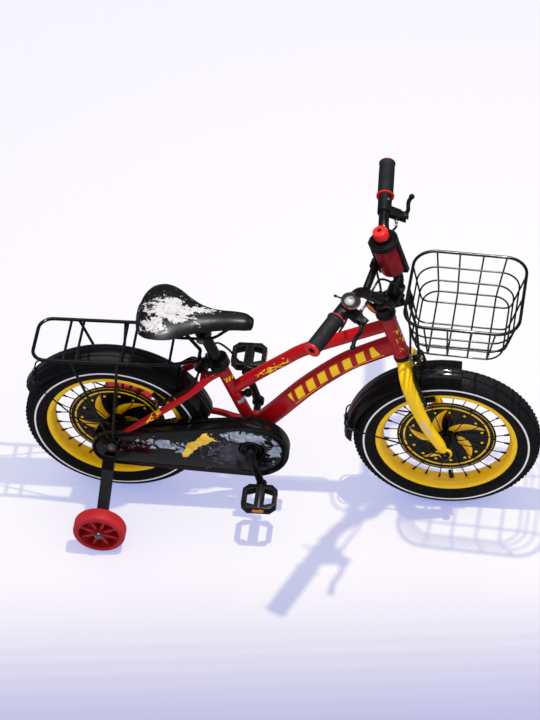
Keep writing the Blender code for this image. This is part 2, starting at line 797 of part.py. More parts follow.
def stay_paths(side):
    """Centre lines of the chain stay and the seat stay of one side."""
    end = (0.020, side * REAR_DROPOUT_Y)
    chain_stay = eased([
        (BB_X - 0.008, side * 0.022, BB_Z), (0.262, side * 0.0300, BB_Z + 0.001),
        (0.225, side * 0.0405, BB_Z + 0.002), (0.150, side * 0.0500, BB_Z + 0.003),
        (0.075, side * (REAR_DROPOUT_Y - 0.0005), BB_Z + 0.003),
        (end[0], end[1], WHEEL_RADIUS)], 0.046)
    top = seat_point(0.199, -0.004)
    seat_stay = eased([
        (top.x, side * 0.010, top.z), (0.222, side * 0.0290, 0.3895),
        (0.185, side * 0.0440, 0.3580), (0.110, side * 0.0535, 0.2985),
        (0.045, side * REAR_DROPOUT_Y, 0.2465), (0.011, end[1], WHEEL_RADIUS + 0.012)], 0.046)
    return chain_stay, seat_stay


def make_main_frame():
    """The welded frame: head tube, main tubes, stays, dropouts and bosses."""
    head_low = steer_point(HEAD_TUBE_LOW)
    head_top = steer_point(HEAD_TUBE_LOW + HEAD_TUBE_LENGTH)
    pieces = [
        cylinder("head_tube", head_low, head_top, HEAD_TUBE_RADIUS, steps=16),
        down_tube(),
        tube("top_tube", eased([
            steer_point(HEAD_TUBE_LOW + 0.092), (0.520, 0.0, 0.511), (0.433, 0.0, 0.467),
            (0.390, 0.0, 0.434), (0.320, 0.0, 0.376), seat_point(0.134)], 0.052),
            TOP_TUBE_RADIUS, RED_PAINT, sides=10),
        cylinder("seat_tube", BB, seat_point(SEAT_TUBE_LENGTH), SEAT_TUBE_RADIUS, steps=14),
        cylinder("bb_shell", BB - Y_AXIS * BB_HALF_WIDTH, BB + Y_AXIS * BB_HALF_WIDTH,
                 BB_RADIUS, steps=16),
    ]
    cuts = [
        cylinder("head_bore", steer_point(HEAD_TUBE_LOW - 0.05),
                 steer_point(HEAD_TUBE_LOW + HEAD_TUBE_LENGTH + 0.05),
                 across_corners(STEERER_RADIUS + RUN_GAP, 14), steps=14),
        cylinder("seat_bore", seat_point(0.055), seat_point(SEAT_TUBE_LENGTH + 0.05),
                 across_corners(POST_RADIUS + SEAT_GAP, 14), steps=14),
        cylinder("bb_bore", BB - Y_AXIS * 0.1, BB + Y_AXIS * 0.1,
                 across_corners(SPINDLE_RADIUS + RUN_GAP, 12), steps=12),
    ]
    for side in (1, -1):
        chain_stay, seat_stay = stay_paths(side)
        pieces.append(tube("chain_stay", chain_stay, CHAIN_STAY_RADIUS, RED_PAINT, sides=6,
                           scales=[1.0] * (len(chain_stay) - 2) + [0.85, 0.62]))
        pieces.append(tube("seat_stay", seat_stay, SEAT_STAY_RADIUS, RED_PAINT, sides=6,
                           scales=[1.0] * (len(seat_stay) - 2) + [0.85, 0.62]))
        pieces.append(plate("dropout", ring((REAR_HUB.x, REAR_HUB.z), DROPOUT_RADIUS, 14),
                            DROPOUT_THICKNESS, RED_PAINT, side_plane(side * REAR_DROPOUT_Y)))
        pieces.append(box("dropout_neck", (0.022, side * REAR_DROPOUT_Y, WHEEL_RADIUS + 0.003),
                          (0.026, DROPOUT_THICKNESS * 0.96, 0.022)))
    bridge = Vector(BRIDGE)
    pieces.append(cylinder("stay_bridge", bridge - Y_AXIS * 0.036, bridge + Y_AXIS * 0.036,
                           0.006, steps=8))
    stud = STUDS["rear"]
    pieces.append(cylinder("brake_stud", stud.root, stud.point(0.0, STUD_LENGTH, 0.0),
                           STUD_RADIUS, steps=10))
    cuts += dropout_cuts(REAR_HUB, REAR_DROPOUT_Y, DROPOUT_RADIUS - 0.003)
    return weld("main_frame", pieces, RED_PAINT, cuts)


def make_head_cups():
    """The two headset cups between the head tube and the turning steerer."""
    bore = across_corners(STEERER_RADIUS + RUN_GAP, 16)
    low = HEAD_TUBE_LOW - SEAT_GAP
    lower = turned("lower_head_cup", [
        (bore, low), (CUP_RADIUS - 0.001, low), (CUP_RADIUS, low - 0.002),
        (CUP_RADIUS, low - CUP_HEIGHT + 0.002), (bore, low - CUP_HEIGHT)], 16,
        direction_matrix(STEER_ORIGIN, STEER_UP), BLACK_PAINT, closed=True)
    high = HEAD_TUBE_LOW + HEAD_TUBE_LENGTH + SEAT_GAP
    upper = turned("upper_head_cup", [
        (bore, high + UPPER_CUP_HEIGHT), (UPPER_CUP_RADIUS - 0.003, high + UPPER_CUP_HEIGHT),
        (UPPER_CUP_RADIUS, high + UPPER_CUP_HEIGHT - 0.005),
        (UPPER_CUP_RADIUS - 0.001, high + 0.006), (HEAD_TUBE_RADIUS, high), (bore, high)], 16,
        direction_matrix(STEER_ORIGIN, STEER_UP), BLACK_PAINT, closed=True)
    return [lower, upper]


def make_frame_plug():
    """The black ball on a short neck in front of the seat tube."""
    forward = Vector((sin(SEAT_ANGLE), 0.0, cos(SEAT_ANGLE)))
    foot = SEAT_TUBE_RADIUS + SEAT_GAP
    centre = foot + PLUG_NECK + PLUG_RADIUS
    profile = [(0.0, foot), (PLUG_RADIUS * 0.45, foot)]
    profile += [(PLUG_RADIUS * cos(radians(angle)), centre + PLUG_RADIUS * sin(radians(angle)))
                for angle in (-60.0, -30.0, 0.0, 30.0, 60.0)]
    profile.append((0.0, centre + PLUG_RADIUS))
    return turned("frame_plug", profile[::-1], 10, direction_matrix(seat_point(PLUG_UP), forward),
                  BLACK_PLASTIC)


def fork_leg(side):
    """One curved leg, from the crown out round the tyre to the dropout."""
    path = eased([
        steer_point(FORK_CROWN_LOW + 0.006, 0.0, side * 0.004),
        steer_point(FORK_CROWN_LOW + 0.002, 0.001, side * 0.026),
        steer_point(0.222, 0.002, side * 0.0440), steer_point(0.195, 0.004, side * 0.0515),
        steer_point(0.140, 0.006, side * FORK_LEG_Y), steer_point(0.080, 0.012, side * FORK_LEG_Y),
        steer_point(0.030, 0.0215, side * FORK_DROPOUT_Y),
        steer_point(0.001, 0.0264, side * FORK_DROPOUT_Y)], 0.030)
    tip = FORK_TIP_RADIUS / FORK_LEG_RADIUS
    last = len(path) - 1
    scales = [1.0 + (tip - 1.0) * max(0.0, i / last - 0.3) / 0.7 for i in range(last)]
    scales.append(0.45)
    return tube("fork_leg", path, FORK_LEG_RADIUS, YELLOW_PAINT, sides=8, scales=scales)


def make_fork():
    """Steerer, crown, two legs and the dropouts as one welded fork."""
    crown_top = HEAD_TUBE_LOW - CUP_HEIGHT - 2 * SEAT_GAP
    steerer_top = HEAD_TUBE_LOW + HEAD_TUBE_LENGTH + UPPER_CUP_HEIGHT - 0.001
    pieces = [
        cylinder("crown", steer_point(FORK_CROWN_LOW - 0.006), steer_point(crown_top),
                 CROWN_RADIUS, steps=16),
        cylinder("steerer", steer_point(FORK_CROWN_LOW), steer_point(steerer_top),
                 STEERER_RADIUS, steps=14),
        fork_leg(1),
        fork_leg(-1),
        cylinder("brake_stud", STUDS["front"].point(0.0, 0.010, 0.0),
                 STUDS["front"].point(0.0, STUD_LENGTH + 0.012, 0.0), STUD_RADIUS, steps=10),
    ]
    for side in (1, -1):
        pieces.append(plate(
            "dropout", ring((FRONT_HUB.x, FRONT_HUB.z), FORK_DROPOUT_RADIUS, 14),
            DROPOUT_THICKNESS, YELLOW_PAINT, side_plane(side * FORK_DROPOUT_Y)))
    cuts = dropout_cuts(FRONT_HUB, FORK_DROPOUT_Y, FORK_DROPOUT_RADIUS - 0.0020)
    cuts.append(cylinder("steerer_bore", steer_point(FORK_CROWN_LOW - 0.05),
                         steer_point(steerer_top + 0.05), across_corners(STEERER_BORE, 14), steps=14))
    return weld("fork", pieces, YELLOW_PAINT, cuts)


def make_mudguard(name, hub, start, end):
    """A curved guard over the tyre between two angles from forward, seen from the right."""
    inner = WHEEL_RADIUS + GUARD_GAP
    section = symmetric([
        (inner + GUARD_CROWN, 0.010), (inner + GUARD_CROWN * 0.75, 0.021),
        (inner + GUARD_CROWN * 0.25, GUARD_HALF_WIDTH - 0.003),
        (inner - 0.006, GUARD_HALF_WIDTH - 0.0005)])
    where = direction_matrix(hub, Y_AXIS) @ Matrix.Rotation(-end, 4, "Z")
    steps = round((end - start) / radians(9.0))
    guard = turned(name, section, steps, where, GLOSS_PLASTIC)
    guard.modifiers["turn"].angle = end - start
    guard.modifiers["turn"].use_merge_vertices = False
    wall = guard.modifiers.new("wall", "SOLIDIFY")
    wall.thickness = GUARD_THICKNESS
    wall.offset = 1.0
    return guard


def guard_stay(name, hub, angle, eye_y):
    """A wire from the axle on each side, joined over the top of a mudguard."""
    wire = 0.0018
    guard_top = WHEEL_RADIUS + GUARD_GAP + GUARD_CROWN + GUARD_THICKNESS
    top = guard_top + wire + 0.0006
    half = GUARD_HALF_WIDTH + GUARD_THICKNESS + wire + 0.0006
    out = Vector((cos(angle), 0.0, sin(angle)))
    points = []
    for side in (-1, 1):
        leg = [hub + out * (EYE_RADIUS - 0.001) + Y_AXIS * side * eye_y,
               hub + out * (WHEEL_RADIUS - 0.002) + Y_AXIS * side * half,
               hub + out * (top - 0.008) + Y_AXIS * side * (half - 0.0015),
               hub + out * top + Y_AXIS * side * (half - 0.012)]
        points += leg if side < 0 else leg[::-1]
    pieces = [tube(name, points, wire, BLACK_PAINT, sides=6)]
    for side in (1, -1):
        pieces.append(plate("eye", ring((hub.x, hub.z), EYE_RADIUS, 10), EYE_THICKNESS, BLACK_PAINT,
                            side_plane(side * eye_y)))
    cuts = [cylinder("eye_hole", hub - Y_AXIS * 0.1, hub + Y_AXIS * 0.1,
                     across_corners(AXLE_RADIUS + SEAT_GAP, 10), steps=10)]
    return weld(name, pieces, BLACK_PAINT, cuts)


def make_stem():
    """The quill stem with its clamp round the handlebar."""
    quill_low = 0.330
    neck = HEAD_TUBE_LOW + HEAD_TUBE_LENGTH + SEAT_GAP + UPPER_CUP_HEIGHT + SEAT_GAP
    clamp = Vector((BAR_CLAMP_X, 0.0, BAR_CLAMP_Z))
    head = 0.4500
    pieces = [
        cylinder("quill", steer_point(quill_low), steer_point(head), STEERER_BORE - SEAT_GAP, steps=14),
        cylinder("body", steer_point(neck), steer_point(head), STEM_RADIUS, steps=16),
        cylinder("reach", steer_point(head - 0.013), clamp, 0.0135, steps=12),
        cylinder("clamp", clamp - Y_AXIS * STEM_CLAMP_HALF, clamp + Y_AXIS * STEM_CLAMP_HALF, 0.0175,
                 steps=16),
        cylinder("quill_bolt", steer_point(head - 0.002), steer_point(head + 0.005), 0.0062, steps=6),
    ]
    cuts = [cylinder("bar_hole", clamp - Y_AXIS * 0.1, clamp + Y_AXIS * 0.1,
                     across_corners(BAR_RADIUS + SEAT_GAP, 14), steps=14)]
    return weld("stem", pieces, BLACK_PAINT, cuts, turn_about_steering(BAR_TURN))


def bar_path():
    """The handlebar's centre line from the right end to the left end."""
    low = Vector((BAR_CLAMP_X, BAR_CLAMP_HALF, BAR_CLAMP_Z))
    middle = low.lerp(Vector(BAR_SHOULDER), 0.5)
    half = bent([BAR_END, BAR_SHOULDER, middle], 0.022, 2)[:-1]
    half += bent([middle, low, (BAR_CLAMP_X, 0.0, BAR_CLAMP_Z)], 0.012, 2)[1:-1]
    return [mirrored(point, -1) for point in half] + [mirrored(point, 1) for point in reversed(half)]


def bar_point(y):
    """The point of the straight grip stretch at this y, and its direction outwards."""
    side = 1 if y > 0 else -1
    inner, end = mirrored(BAR_SHOULDER, side), mirrored(BAR_END, side)
    along = (end - inner).normalized()
    return inner + (end - inner) * ((abs(y) - abs(inner.y)) / (abs(end.y) - abs(inner.y))), along


def make_handlebar():
    """The bent bar and the crossbar that braces it."""
    bar = tube("handlebar", bar_path(), BAR_RADIUS, BLACK_PAINT, sides=10)
    low = Vector((BAR_CLAMP_X, BAR_CLAMP_HALF, BAR_CLAMP_Z))
    brace = low.lerp(Vector(BAR_SHOULDER), CROSSBAR_SHARE)
    cross = cylinder("crossbar", mirrored(brace, -1), mirrored(brace, 1), CROSSBAR_RADIUS, steps=8)
    return weld("handlebar", [bar, cross], BLACK_PAINT, where=turn_about_steering(BAR_TURN))


def make_grip(name, side):
    """A rubber grip with a flange at each end, closed over the bar's end."""
    start, along = bar_point(side * GRIP_INNER_Y)
    end = mirrored(BAR_END, side)
    length = (end - start).length
    bore = across_corners(BAR_RADIUS + SEAT_GAP, 16)
    cap = length + SEAT_GAP
    flange = GRIP_FLANGE_RADIUS
    profile = [
        (0.0, cap + 0.005), (flange - 0.002, cap + 0.005), (flange, cap + 0.003),
        (flange, cap - 0.001), (GRIP_RADIUS, cap - 0.003),
        (GRIP_RADIUS, GRIP_FLANGE + 0.002), (flange, GRIP_FLANGE), (flange, 0.0), (bore, 0.0),
        (bore, cap), (0.0, cap),
    ]
    grip = turned(name, profile, 16, direction_matrix(start, along), GRIP_RUBBER)
    grip.matrix_world = turn_about_steering(BAR_TURN) @ grip.matrix_world
    return grip


def lever_frame(side):
    """The clamp's centre, the way outwards along the bar, forwards and down."""
    clamp_end, along = bar_point(side * GRIP_INNER_Y)
    clamp_end -= along * SEAT_GAP
    forward = Vector((cos(LEVER_DROOP), 0.0, -sin(LEVER_DROOP)))
    forward = (forward - along * forward.dot(along)).normalized()
    return clamp_end, along, forward


def lever_pivot(side):
    """The lever's pivot point and its axis, square to the bar and the reach."""
    clamp_end, along, forward = lever_frame(side)
    pivot = clamp_end - along * LEVER_PIVOT_INSET + forward * LEVER_REACH
    return pivot, forward.cross(along).normalized()


def make_lever_bracket(name, side):
    """The lever's clamp, its arm, two ears and the pivot pin."""
    clamp_end, along, forward = lever_frame(side)
    pivot, axis = lever_pivot(side)
    clamp_start = clamp_end - along * LEVER_CLAMP_LENGTH
    turn = Matrix((along, forward, axis)).transposed().to_4x4()
    ear_y = LEVER_EAR_GAP + LEVER_EAR / 2
    pieces = [
        cylinder("clamp", clamp_start, clamp_end, LEVER_CLAMP_RADIUS, steps=16),
        box("arm", pivot - forward * 0.0220, (0.024, 0.027, 2 * ear_y + LEVER_EAR), turn=turn),
        cylinder("pin", pivot - axis * (ear_y + 0.002), pivot + axis * (ear_y + 0.002),
                 PIN_RADIUS, steps=8),
        cylinder("barrel", pivot - along * 0.0115 - forward * 0.0165,
                 pivot - along * 0.024 - forward * 0.0165, 0.0042, steps=10),
    ]
    for edge in (1, -1):
        pieces.append(box("ear", pivot - forward * 0.003 + axis * edge * ear_y,
                          (0.017, 0.022, LEVER_EAR), turn=turn))
    cuts = [cylinder("bar_hole", clamp_start - along * 0.05, clamp_end + along * 0.05,
                     across_corners(BAR_RADIUS + SEAT_GAP, 16), steps=16)]
    return weld(name, pieces, BLACK_PLASTIC, cuts, turn_about_steering(BAR_TURN))


def make_brake_lever(name, side):
    """The bent blade with a ball end and a hole for its pin."""
    _, along, forward = lever_frame(side)
    pivot, axis = lever_pivot(side)
    half = LEVER_EAR_GAP - SEAT_GAP
    tip = pivot + along * LEVER_BLADE_LENGTH + forward * 0.016
    path = bent([pivot + along * 0.004 - forward * 0.001, pivot + along * 0.020 + forward * 0.010,
                 pivot + along * 0.045 + forward * 0.008, tip], 0.010, 2)
    pieces = [
        cylinder("root", pivot - axis * half, pivot + axis * half, 0.0075, steps=14),
        tube("blade", path, 0.0042, BLACK_PLASTIC, sides=6),
        cylinder("ball", tip - along * 0.004, tip + along * 0.004, 0.0062, steps=10),
    ]
    cuts = [cylinder("pin_hole", pivot - axis * 0.05, pivot + axis * 0.05,
                     across_corners(PIN_RADIUS + RUN_GAP, 10), steps=10)]
    return weld(name, pieces, BLACK_PLASTIC, cuts, turn_about_steering(BAR_TURN))


def bell_frame():
    """The strap's place on the bar, the ways outwards, up and forwards, and the bell's seat."""
    point, along = bar_point(-BELL_Y)
    up = (Z_AXIS - along * Z_AXIS.dot(along)).normalized()
    up = Matrix.Rotation(radians(-10.0), 3, along) @ up
    forward = up.cross(along).normalized()
    seat = point + along * BELL_OUTWARD + forward * BELL_FORWARD + up * BELL_LIFT
    return point, along, up, forward, seat


def make_bell():
    """Clamp and base, chrome dome and the thumb lever under the base."""
    turn = turn_about_steering(BAR_TURN)
    point, along, up, forward, seat = bell_frame()
    base_top = BELL_BASE_HEIGHT
    pivot = seat - forward * 0.010 - up * 0.0021
    foot = point + along * 0.001 + forward * 0.002
    pieces = [
        cylinder("strap", point - along * 0.006, point + along * 0.006, 0.0145, steps=14),
        cylinder("foot", foot + up * 0.011, foot + up * (BELL_LIFT + 0.002), 0.0055, steps=10),
        cylinder("base", seat, seat + up * base_top, BELL_RADIUS - 0.0008, steps=18),
        cylinder("works", seat + up * (base_top - 0.001), seat + up * (base_top + 0.0045),
                 BELL_RADIUS - 0.0050, steps=10),
        cylinder("pin", pivot - up * 0.0016, pivot + up * 0.0031, BELL_PIN_RADIUS, steps=8),
    ]
    cuts = [cylinder("bar_hole", point - along * 0.05, point + along * 0.05,
                     across_corners(BAR_RADIUS + SEAT_GAP, 14), steps=14)]
    base = weld("bell_base", pieces, BLACK_PLASTIC, cuts, turn)
    low = base_top + SEAT_GAP
    wall = 0.0012
    dome = turned("bell_dome", [
        (0.0, low + BELL_HEIGHT), (0.0080, low + BELL_HEIGHT - 0.0011),
        (0.0150, low + BELL_HEIGHT - 0.0050), (BELL_RADIUS - 0.0012, low + 0.0045),
        (BELL_RADIUS, low), (BELL_RADIUS - wall, low), (BELL_RADIUS - 0.0026, low + 0.0040),
        (0.0143, low + BELL_HEIGHT - 0.0062), (0.0, low + BELL_HEIGHT - wall - 0.0004)], 16,
        turn @ direction_matrix(seat, up), CHROME)
    lever = weld("bell_lever", [
        cylinder("root", pivot - up * 0.0012, pivot + up * 0.0012, 0.0038, steps=10),
        tube("arm", [pivot, pivot - forward * 0.012, pivot - forward * 0.022 + along * 0.002],
             0.0011, BLACK_PLASTIC, sides=6),
        cylinder("thumb", pivot - forward * 0.020 + along * 0.0018,
                 pivot - forward * 0.027 + along * 0.0028, 0.0030, steps=8),
    ], BLACK_PLASTIC, [cylinder("pin_hole", pivot - up * 0.02, pivot + up * 0.02,
                                across_corners(BELL_PIN_RADIUS + RUN_GAP, 8), steps=8)], turn)
    return base, dome, lever, turn @ pivot


def make_bottle():
    """The hollow bottle and its screw cap."""
    where = turn_about_steering(BAR_TURN) @ direction_matrix(BOTTLE_FOOT, STEER_UP)
    neck = BOTTLE_CAP_RADIUS - 0.0035
    top = BOTTLE_LENGTH
    rim = top + BOTTLE_NECK
    inner = BOTTLE_RADIUS - BOTTLE_WALL
    bottle = turned("bottle", [
        (neck, rim), (neck, top), (BOTTLE_RADIUS - 0.0015, top), (BOTTLE_RADIUS, top - 0.0015),
        (BOTTLE_RADIUS, 0.006), (BOTTLE_RADIUS - 0.005, 0.0), (0.0, 0.0), (0.0, BOTTLE_WALL),
        (inner - 0.0044, BOTTLE_WALL), (inner, 0.0065), (inner, top - 0.0030),
        (neck - BOTTLE_WALL, top - 0.0025), (neck - BOTTLE_WALL, rim)],
        16, where, RED_METALLIC, closed=True)
    cap_low = top + SEAT_GAP
    cap = turned("bottle_cap", [
        (0.0, cap_low + BOTTLE_CAP_HEIGHT), (BOTTLE_CAP_RADIUS - 0.0015, cap_low + BOTTLE_CAP_HEIGHT),
        (BOTTLE_CAP_RADIUS, cap_low + BOTTLE_CAP_HEIGHT - 0.0015), (BOTTLE_CAP_RADIUS, cap_low),
        (neck + SEAT_GAP, cap_low), (neck + SEAT_GAP, rim + SEAT_GAP), (0.0, rim + SEAT_GAP)],
        16, where, RED_PLASTIC)
    return bottle, cap


def crossbar_point(y):
    """The point of the crossbar's centre line at this y."""
    low = Vector((BAR_CLAMP_X, BAR_CLAMP_HALF, BAR_CLAMP_Z))
    brace = low.lerp(Vector(BAR_SHOULDER), CROSSBAR_SHARE)
    return Vector((brace.x, y, brace.z))


def make_bottle_cage():
    """Floor, collar and two uprights round the bottle, banded to the crossbar."""
    foot = Vector(BOTTLE_FOOT)
    hold = BOTTLE_RADIUS + CAGE_GAP
    out = hold + CAGE_WALL
    upright = direction_matrix((0.0, 0.0, 0.0), STEER_UP)
    middle = STEER_UP * (CAGE_HEIGHT / 2 - 0.003)
    pieces = [
        cylinder("collar", foot + STEER_UP * (CAGE_HEIGHT - CAGE_COLLAR), foot + STEER_UP * CAGE_HEIGHT,
                 out, steps=16),
        cylinder("floor", foot - STEER_UP * 0.0036, foot + STEER_UP * 0.0010, 0.0160, steps=14),
        box("tongue", foot - STEER_UP * 0.0028, (2 * hold + 0.005, 0.0112, 0.0034), turn=upright),
        box("spine", foot - STEER_FRONT * (hold + 0.0020) + middle,
            (0.005, 0.016, CAGE_HEIGHT + 0.002), turn=upright),
        box("strap", foot + STEER_FRONT * (hold + 0.0018) + middle,
            (0.0044, 0.012, CAGE_HEIGHT + 0.002), turn=upright),
    ]
    brace = crossbar_point(foot.y)
    gap = foot - STEER_FRONT * hold - brace
    pieces.append(cylinder("band", brace - Y_AXIS * 0.009, brace + Y_AXIS * 0.009,
                           CROSSBAR_RADIUS + 0.004, steps=14))
    pieces.append(cylinder("arm", brace, brace + STEER_FRONT * gap.dot(STEER_FRONT), 0.006, steps=8))
    cuts = [
        cylinder("bottle_room", foot - STEER_UP * SEAT_GAP, foot + STEER_UP * 0.2,
                 across_corners(hold, 16), steps=16),
        cylinder("bar_hole", brace - Y_AXIS * 0.05, brace + Y_AXIS * 0.05,
                 across_corners(CROSSBAR_RADIUS + SEAT_GAP, 12), steps=12),
    ]
    return weld("bottle_cage", pieces, BLACK_PLASTIC, cuts, turn_about_steering(BAR_TURN))


def make_reflector():
    """The front reflector in its housing, hung from the right rise of the handlebar."""
    turn = turn_about_steering(BAR_TURN)
    low = turn @ Vector((BAR_CLAMP_X, -BAR_CLAMP_HALF, BAR_CLAMP_Z))
    high = turn @ mirrored(BAR_SHOULDER, -1)
    seat = low.lerp(high, REFLECTOR_SHARE)
    along = (high - low).normalized()
    centre = Vector(REFLECTOR_CENTRE)
    half = Vector(REFLECTOR_FACING).normalized() * REFLECTOR_THICKNESS / 2
    drop = (centre - half - seat).normalized()
    pieces = [
        cylinder("clip", seat - along * 0.006, seat + along * 0.006, BAR_RADIUS + 0.003, steps=12),
        cylinder("neck", seat + drop * BAR_RADIUS, centre - half * 0.5, 0.0045, steps=8),
        cylinder("housing", centre - half, centre + half, REFLECTOR_RADIUS, steps=16),
    ]
    cuts = [cylinder("bar_hole", seat - along * 0.05, seat + along * 0.05,
                     across_corners(BAR_RADIUS + SEAT_GAP, 14), steps=14)]
    return weld("front_reflector", pieces, BLACK_PLASTIC, cuts)


def basket_loop(share, slack, steps):
    """A rounded rectangle at a share of the depth, drawn in by the tapers and a slack."""
    z = BASKET_RIM_Z - BASKET_DEPTH * share
    inset = BASKET_TAPER * share + slack
    x0 = BASKET_REAR_X + inset
    x1 = BASKET_FRONT_X - BASKET_FRONT_TAPER * share - slack
    half = BASKET_HALF_WIDTH - inset
    corner = BASKET_CORNER - inset * 0.5
    points = []
    for cx, cy, quarter in ((x1 - corner, half - corner, 0), (x0 + corner, half - corner, 1),
                            (x0 + corner, -half + corner, 2), (x1 - corner, -half + corner, 3)):
        for px, py in arc((cx, cy), corner, quarter * pi / 2, (quarter + 1) * pi / 2, steps):
            points.append((px, py, z))
    return points


def make_basket():
    """The wire basket: rim, rings, upright wires and floor, welded into one piece."""
    wire = BASKET_WIRE_RADIUS
    low_z = BASKET_RIM_Z - BASKET_DEPTH - wire * 0.9
    middle_x = (BASKET_REAR_X + BASKET_FRONT_X) / 2
    spread = (BASKET_FRONT_X - BASKET_REAR_X - 2 * BASKET_CORNER) / 2
    low_middle = middle_x + (BASKET_TAPER - BASKET_FRONT_TAPER) / 2
    low_spread = spread - (BASKET_TAPER + BASKET_FRONT_TAPER) / 4
    half = BASKET_HALF_WIDTH
    pieces = [tube("rim", basket_loop(0.0, 0.0, 3), BASKET_RIM_RADIUS, BLACK_PAINT, sides=6,
                   cyclic=True)]
    for share in (0.38, 0.72, 1.0):
        pieces.append(tube("ring", basket_loop(share, wire * 0.9, 2), wire, BLACK_PAINT, sides=4,
                           cyclic=True))
    for share in (-1.0, -0.34, 0.34, 1.0):
        x = middle_x + share * spread
        low_x = low_middle + share * low_spread
        low_half = half - BASKET_TAPER
        pieces.append(tube("hoop", bent([
            (x, -half, BASKET_RIM_Z), (low_x, -low_half, low_z), (low_x, low_half, low_z),
            (x, half, BASKET_RIM_Z)], 0.012, 1), wire, BLACK_PAINT, sides=4))
    floor_z = low_z - wire * 1.2
    for y in (-BASKET_LONG_WIRE_Y, 0.0, BASKET_LONG_WIRE_Y):
        pieces.append(tube("long_hoop", bent([
            (BASKET_REAR_X, y, BASKET_RIM_Z), (BASKET_REAR_X + BASKET_TAPER, y, floor_z),
            (BASKET_FRONT_X - BASKET_FRONT_TAPER, y, floor_z), (BASKET_FRONT_X, y, BASKET_RIM_Z)],
            0.014, 1), wire, BLACK_PAINT, sides=4))
    return weld("basket", pieces, BLACK_PAINT, where=turn_about_steering(BASKET_TURN))


def make_basket_bracket():
    """The ring on the stem, the plate behind the basket and the stay to the brake stud."""
    ring_low = HEAD_TUBE_LOW + HEAD_TUBE_LENGTH + UPPER_CUP_HEIGHT + 0.0012
    ring_high = ring_low + BRACKET_RING_HEIGHT
    lean = atan2(BASKET_TAPER, BASKET_DEPTH)
    normal = Vector((-cos(lean), 0.0, -sin(lean)))
    rise = BASKET_RIM_Z - BRACKET_PLATE_Z
    wall = Vector((BASKET_REAR_X + BASKET_TAPER * rise / BASKET_DEPTH, 0.0, BRACKET_PLATE_Z))
    face = wall + normal * (BASKET_WIRE_RADIUS * 1.2 + SEAT_GAP)
    back = face + normal * 0.004
    foot_z = BASKET_RIM_Z - BASKET_DEPTH - 0.016
    foot = Vector((BASKET_REAR_X + BASKET_TAPER - 0.004, 0.0, foot_z))
    straight = turn_about_steering(BASKET_TURN).inverted()
    level = STUDS["front"].level + ARM_PITCH + 0.0062
    eye = STUDS["front"].point(0.0, level, 0.0)
    eye_front = straight @ eye
    pieces = [
        cylinder("ring", steer_point(ring_low), steer_point(ring_high), BRACKET_RING_RADIUS, steps=16),
        cylinder("arm", steer_point(ring_low + 0.005, BRACKET_RING_RADIUS - 0.002), back,
                 0.0050, steps=8),
        cylinder("plate", back, face, 0.0190, steps=16),
        tube("stay", bent([back + normal * 0.0005 - Z_AXIS * 0.010, foot,
                           eye_front + (foot - eye_front).normalized() * 0.0060], 0.010, 1), 0.0030,
             BLACK_PAINT, sides=6),
        cylinder("eye", straight @ (eye - STEER_FRONT * 0.0014), straight @ (eye + STEER_FRONT * 0.0014),
                 0.0080, steps=12),
    ]
    cuts = [
        cylinder("stem_hole", steer_point(ring_low - 0.05), steer_point(ring_high + 0.05),
                 across_corners(STEM_RADIUS + SEAT_GAP, 16), steps=16),
        cylinder("stud_hole", straight @ (eye - STEER_FRONT * 0.05),
                 straight @ (eye + STEER_FRONT * 0.05),
                 across_corners(STUD_RADIUS + SEAT_GAP, 10), steps=10),
    ]
    return weld("basket_bracket", pieces, BLACK_PAINT, cuts, turn_about_steering(BASKET_TURN))


def make_calliper_arm(name, stud, side, layer):
    """One calliper arm with its eye, cable horn, pad holder and pad."""
    out = stud.level + layer * ARM_PITCH
    face = RIM_HALF_WIDTH + PAD_GAP
    path = bent([stud.point(0.001, out, side * 0.0068), stud.point(0.004, out, side * 0.026),
                 stud.point(0.024, out, side * ARM_Y), stud.point(stud.drop, out, side * ARM_Y)],
                0.014, 2)
    upper = layer if stud.cable_side > 0 else 1 - layer
    horn = -0.010 - 0.015 * upper
    edge = stud.cable_side
    pad_turn = Matrix((stud.outward, Y_AXIS, stud.down)).transposed().to_4x4()
    pieces = [
        cylinder("eye", stud.point(0.0, out - ARM_EYE_THICKNESS / 2, 0.0),
                 stud.point(0.0, out + ARM_EYE_THICKNESS / 2, 0.0), ARM_EYE_RADIUS, steps=12),
        tube("arm", path, ARM_RADIUS * 0.9, BLACK_PAINT, sides=6,
             scales=[0.58] * 3 + [1.0] * (len(path) - 3)),
        tube("horn", [stud.point(-0.005, out, edge * 0.0050), stud.point(horn, out, edge * 0.024)],
             ARM_RADIUS * 0.55, BLACK_PAINT, sides=6),
        cylinder("holder", stud.point(stud.drop, out, side * (face + 0.007)),
                 stud.point(stud.drop, out, side * (ARM_Y + 0.003)), 0.0036, steps=8),
        box("pad", stud.point(stud.drop, out, side * (face + 0.0045)), (0.040, 0.009, 0.0085),
            turn=pad_turn),
    ]
    cuts = [cylinder("stud_hole", stud.point(0.0, 0.0, 0.0), stud.point(0.0, 0.09, 0.0),
                     across_corners(STUD_RADIUS + RUN_GAP, 10), steps=10)]
    return weld(name, pieces, BLACK_PAINT, cuts)


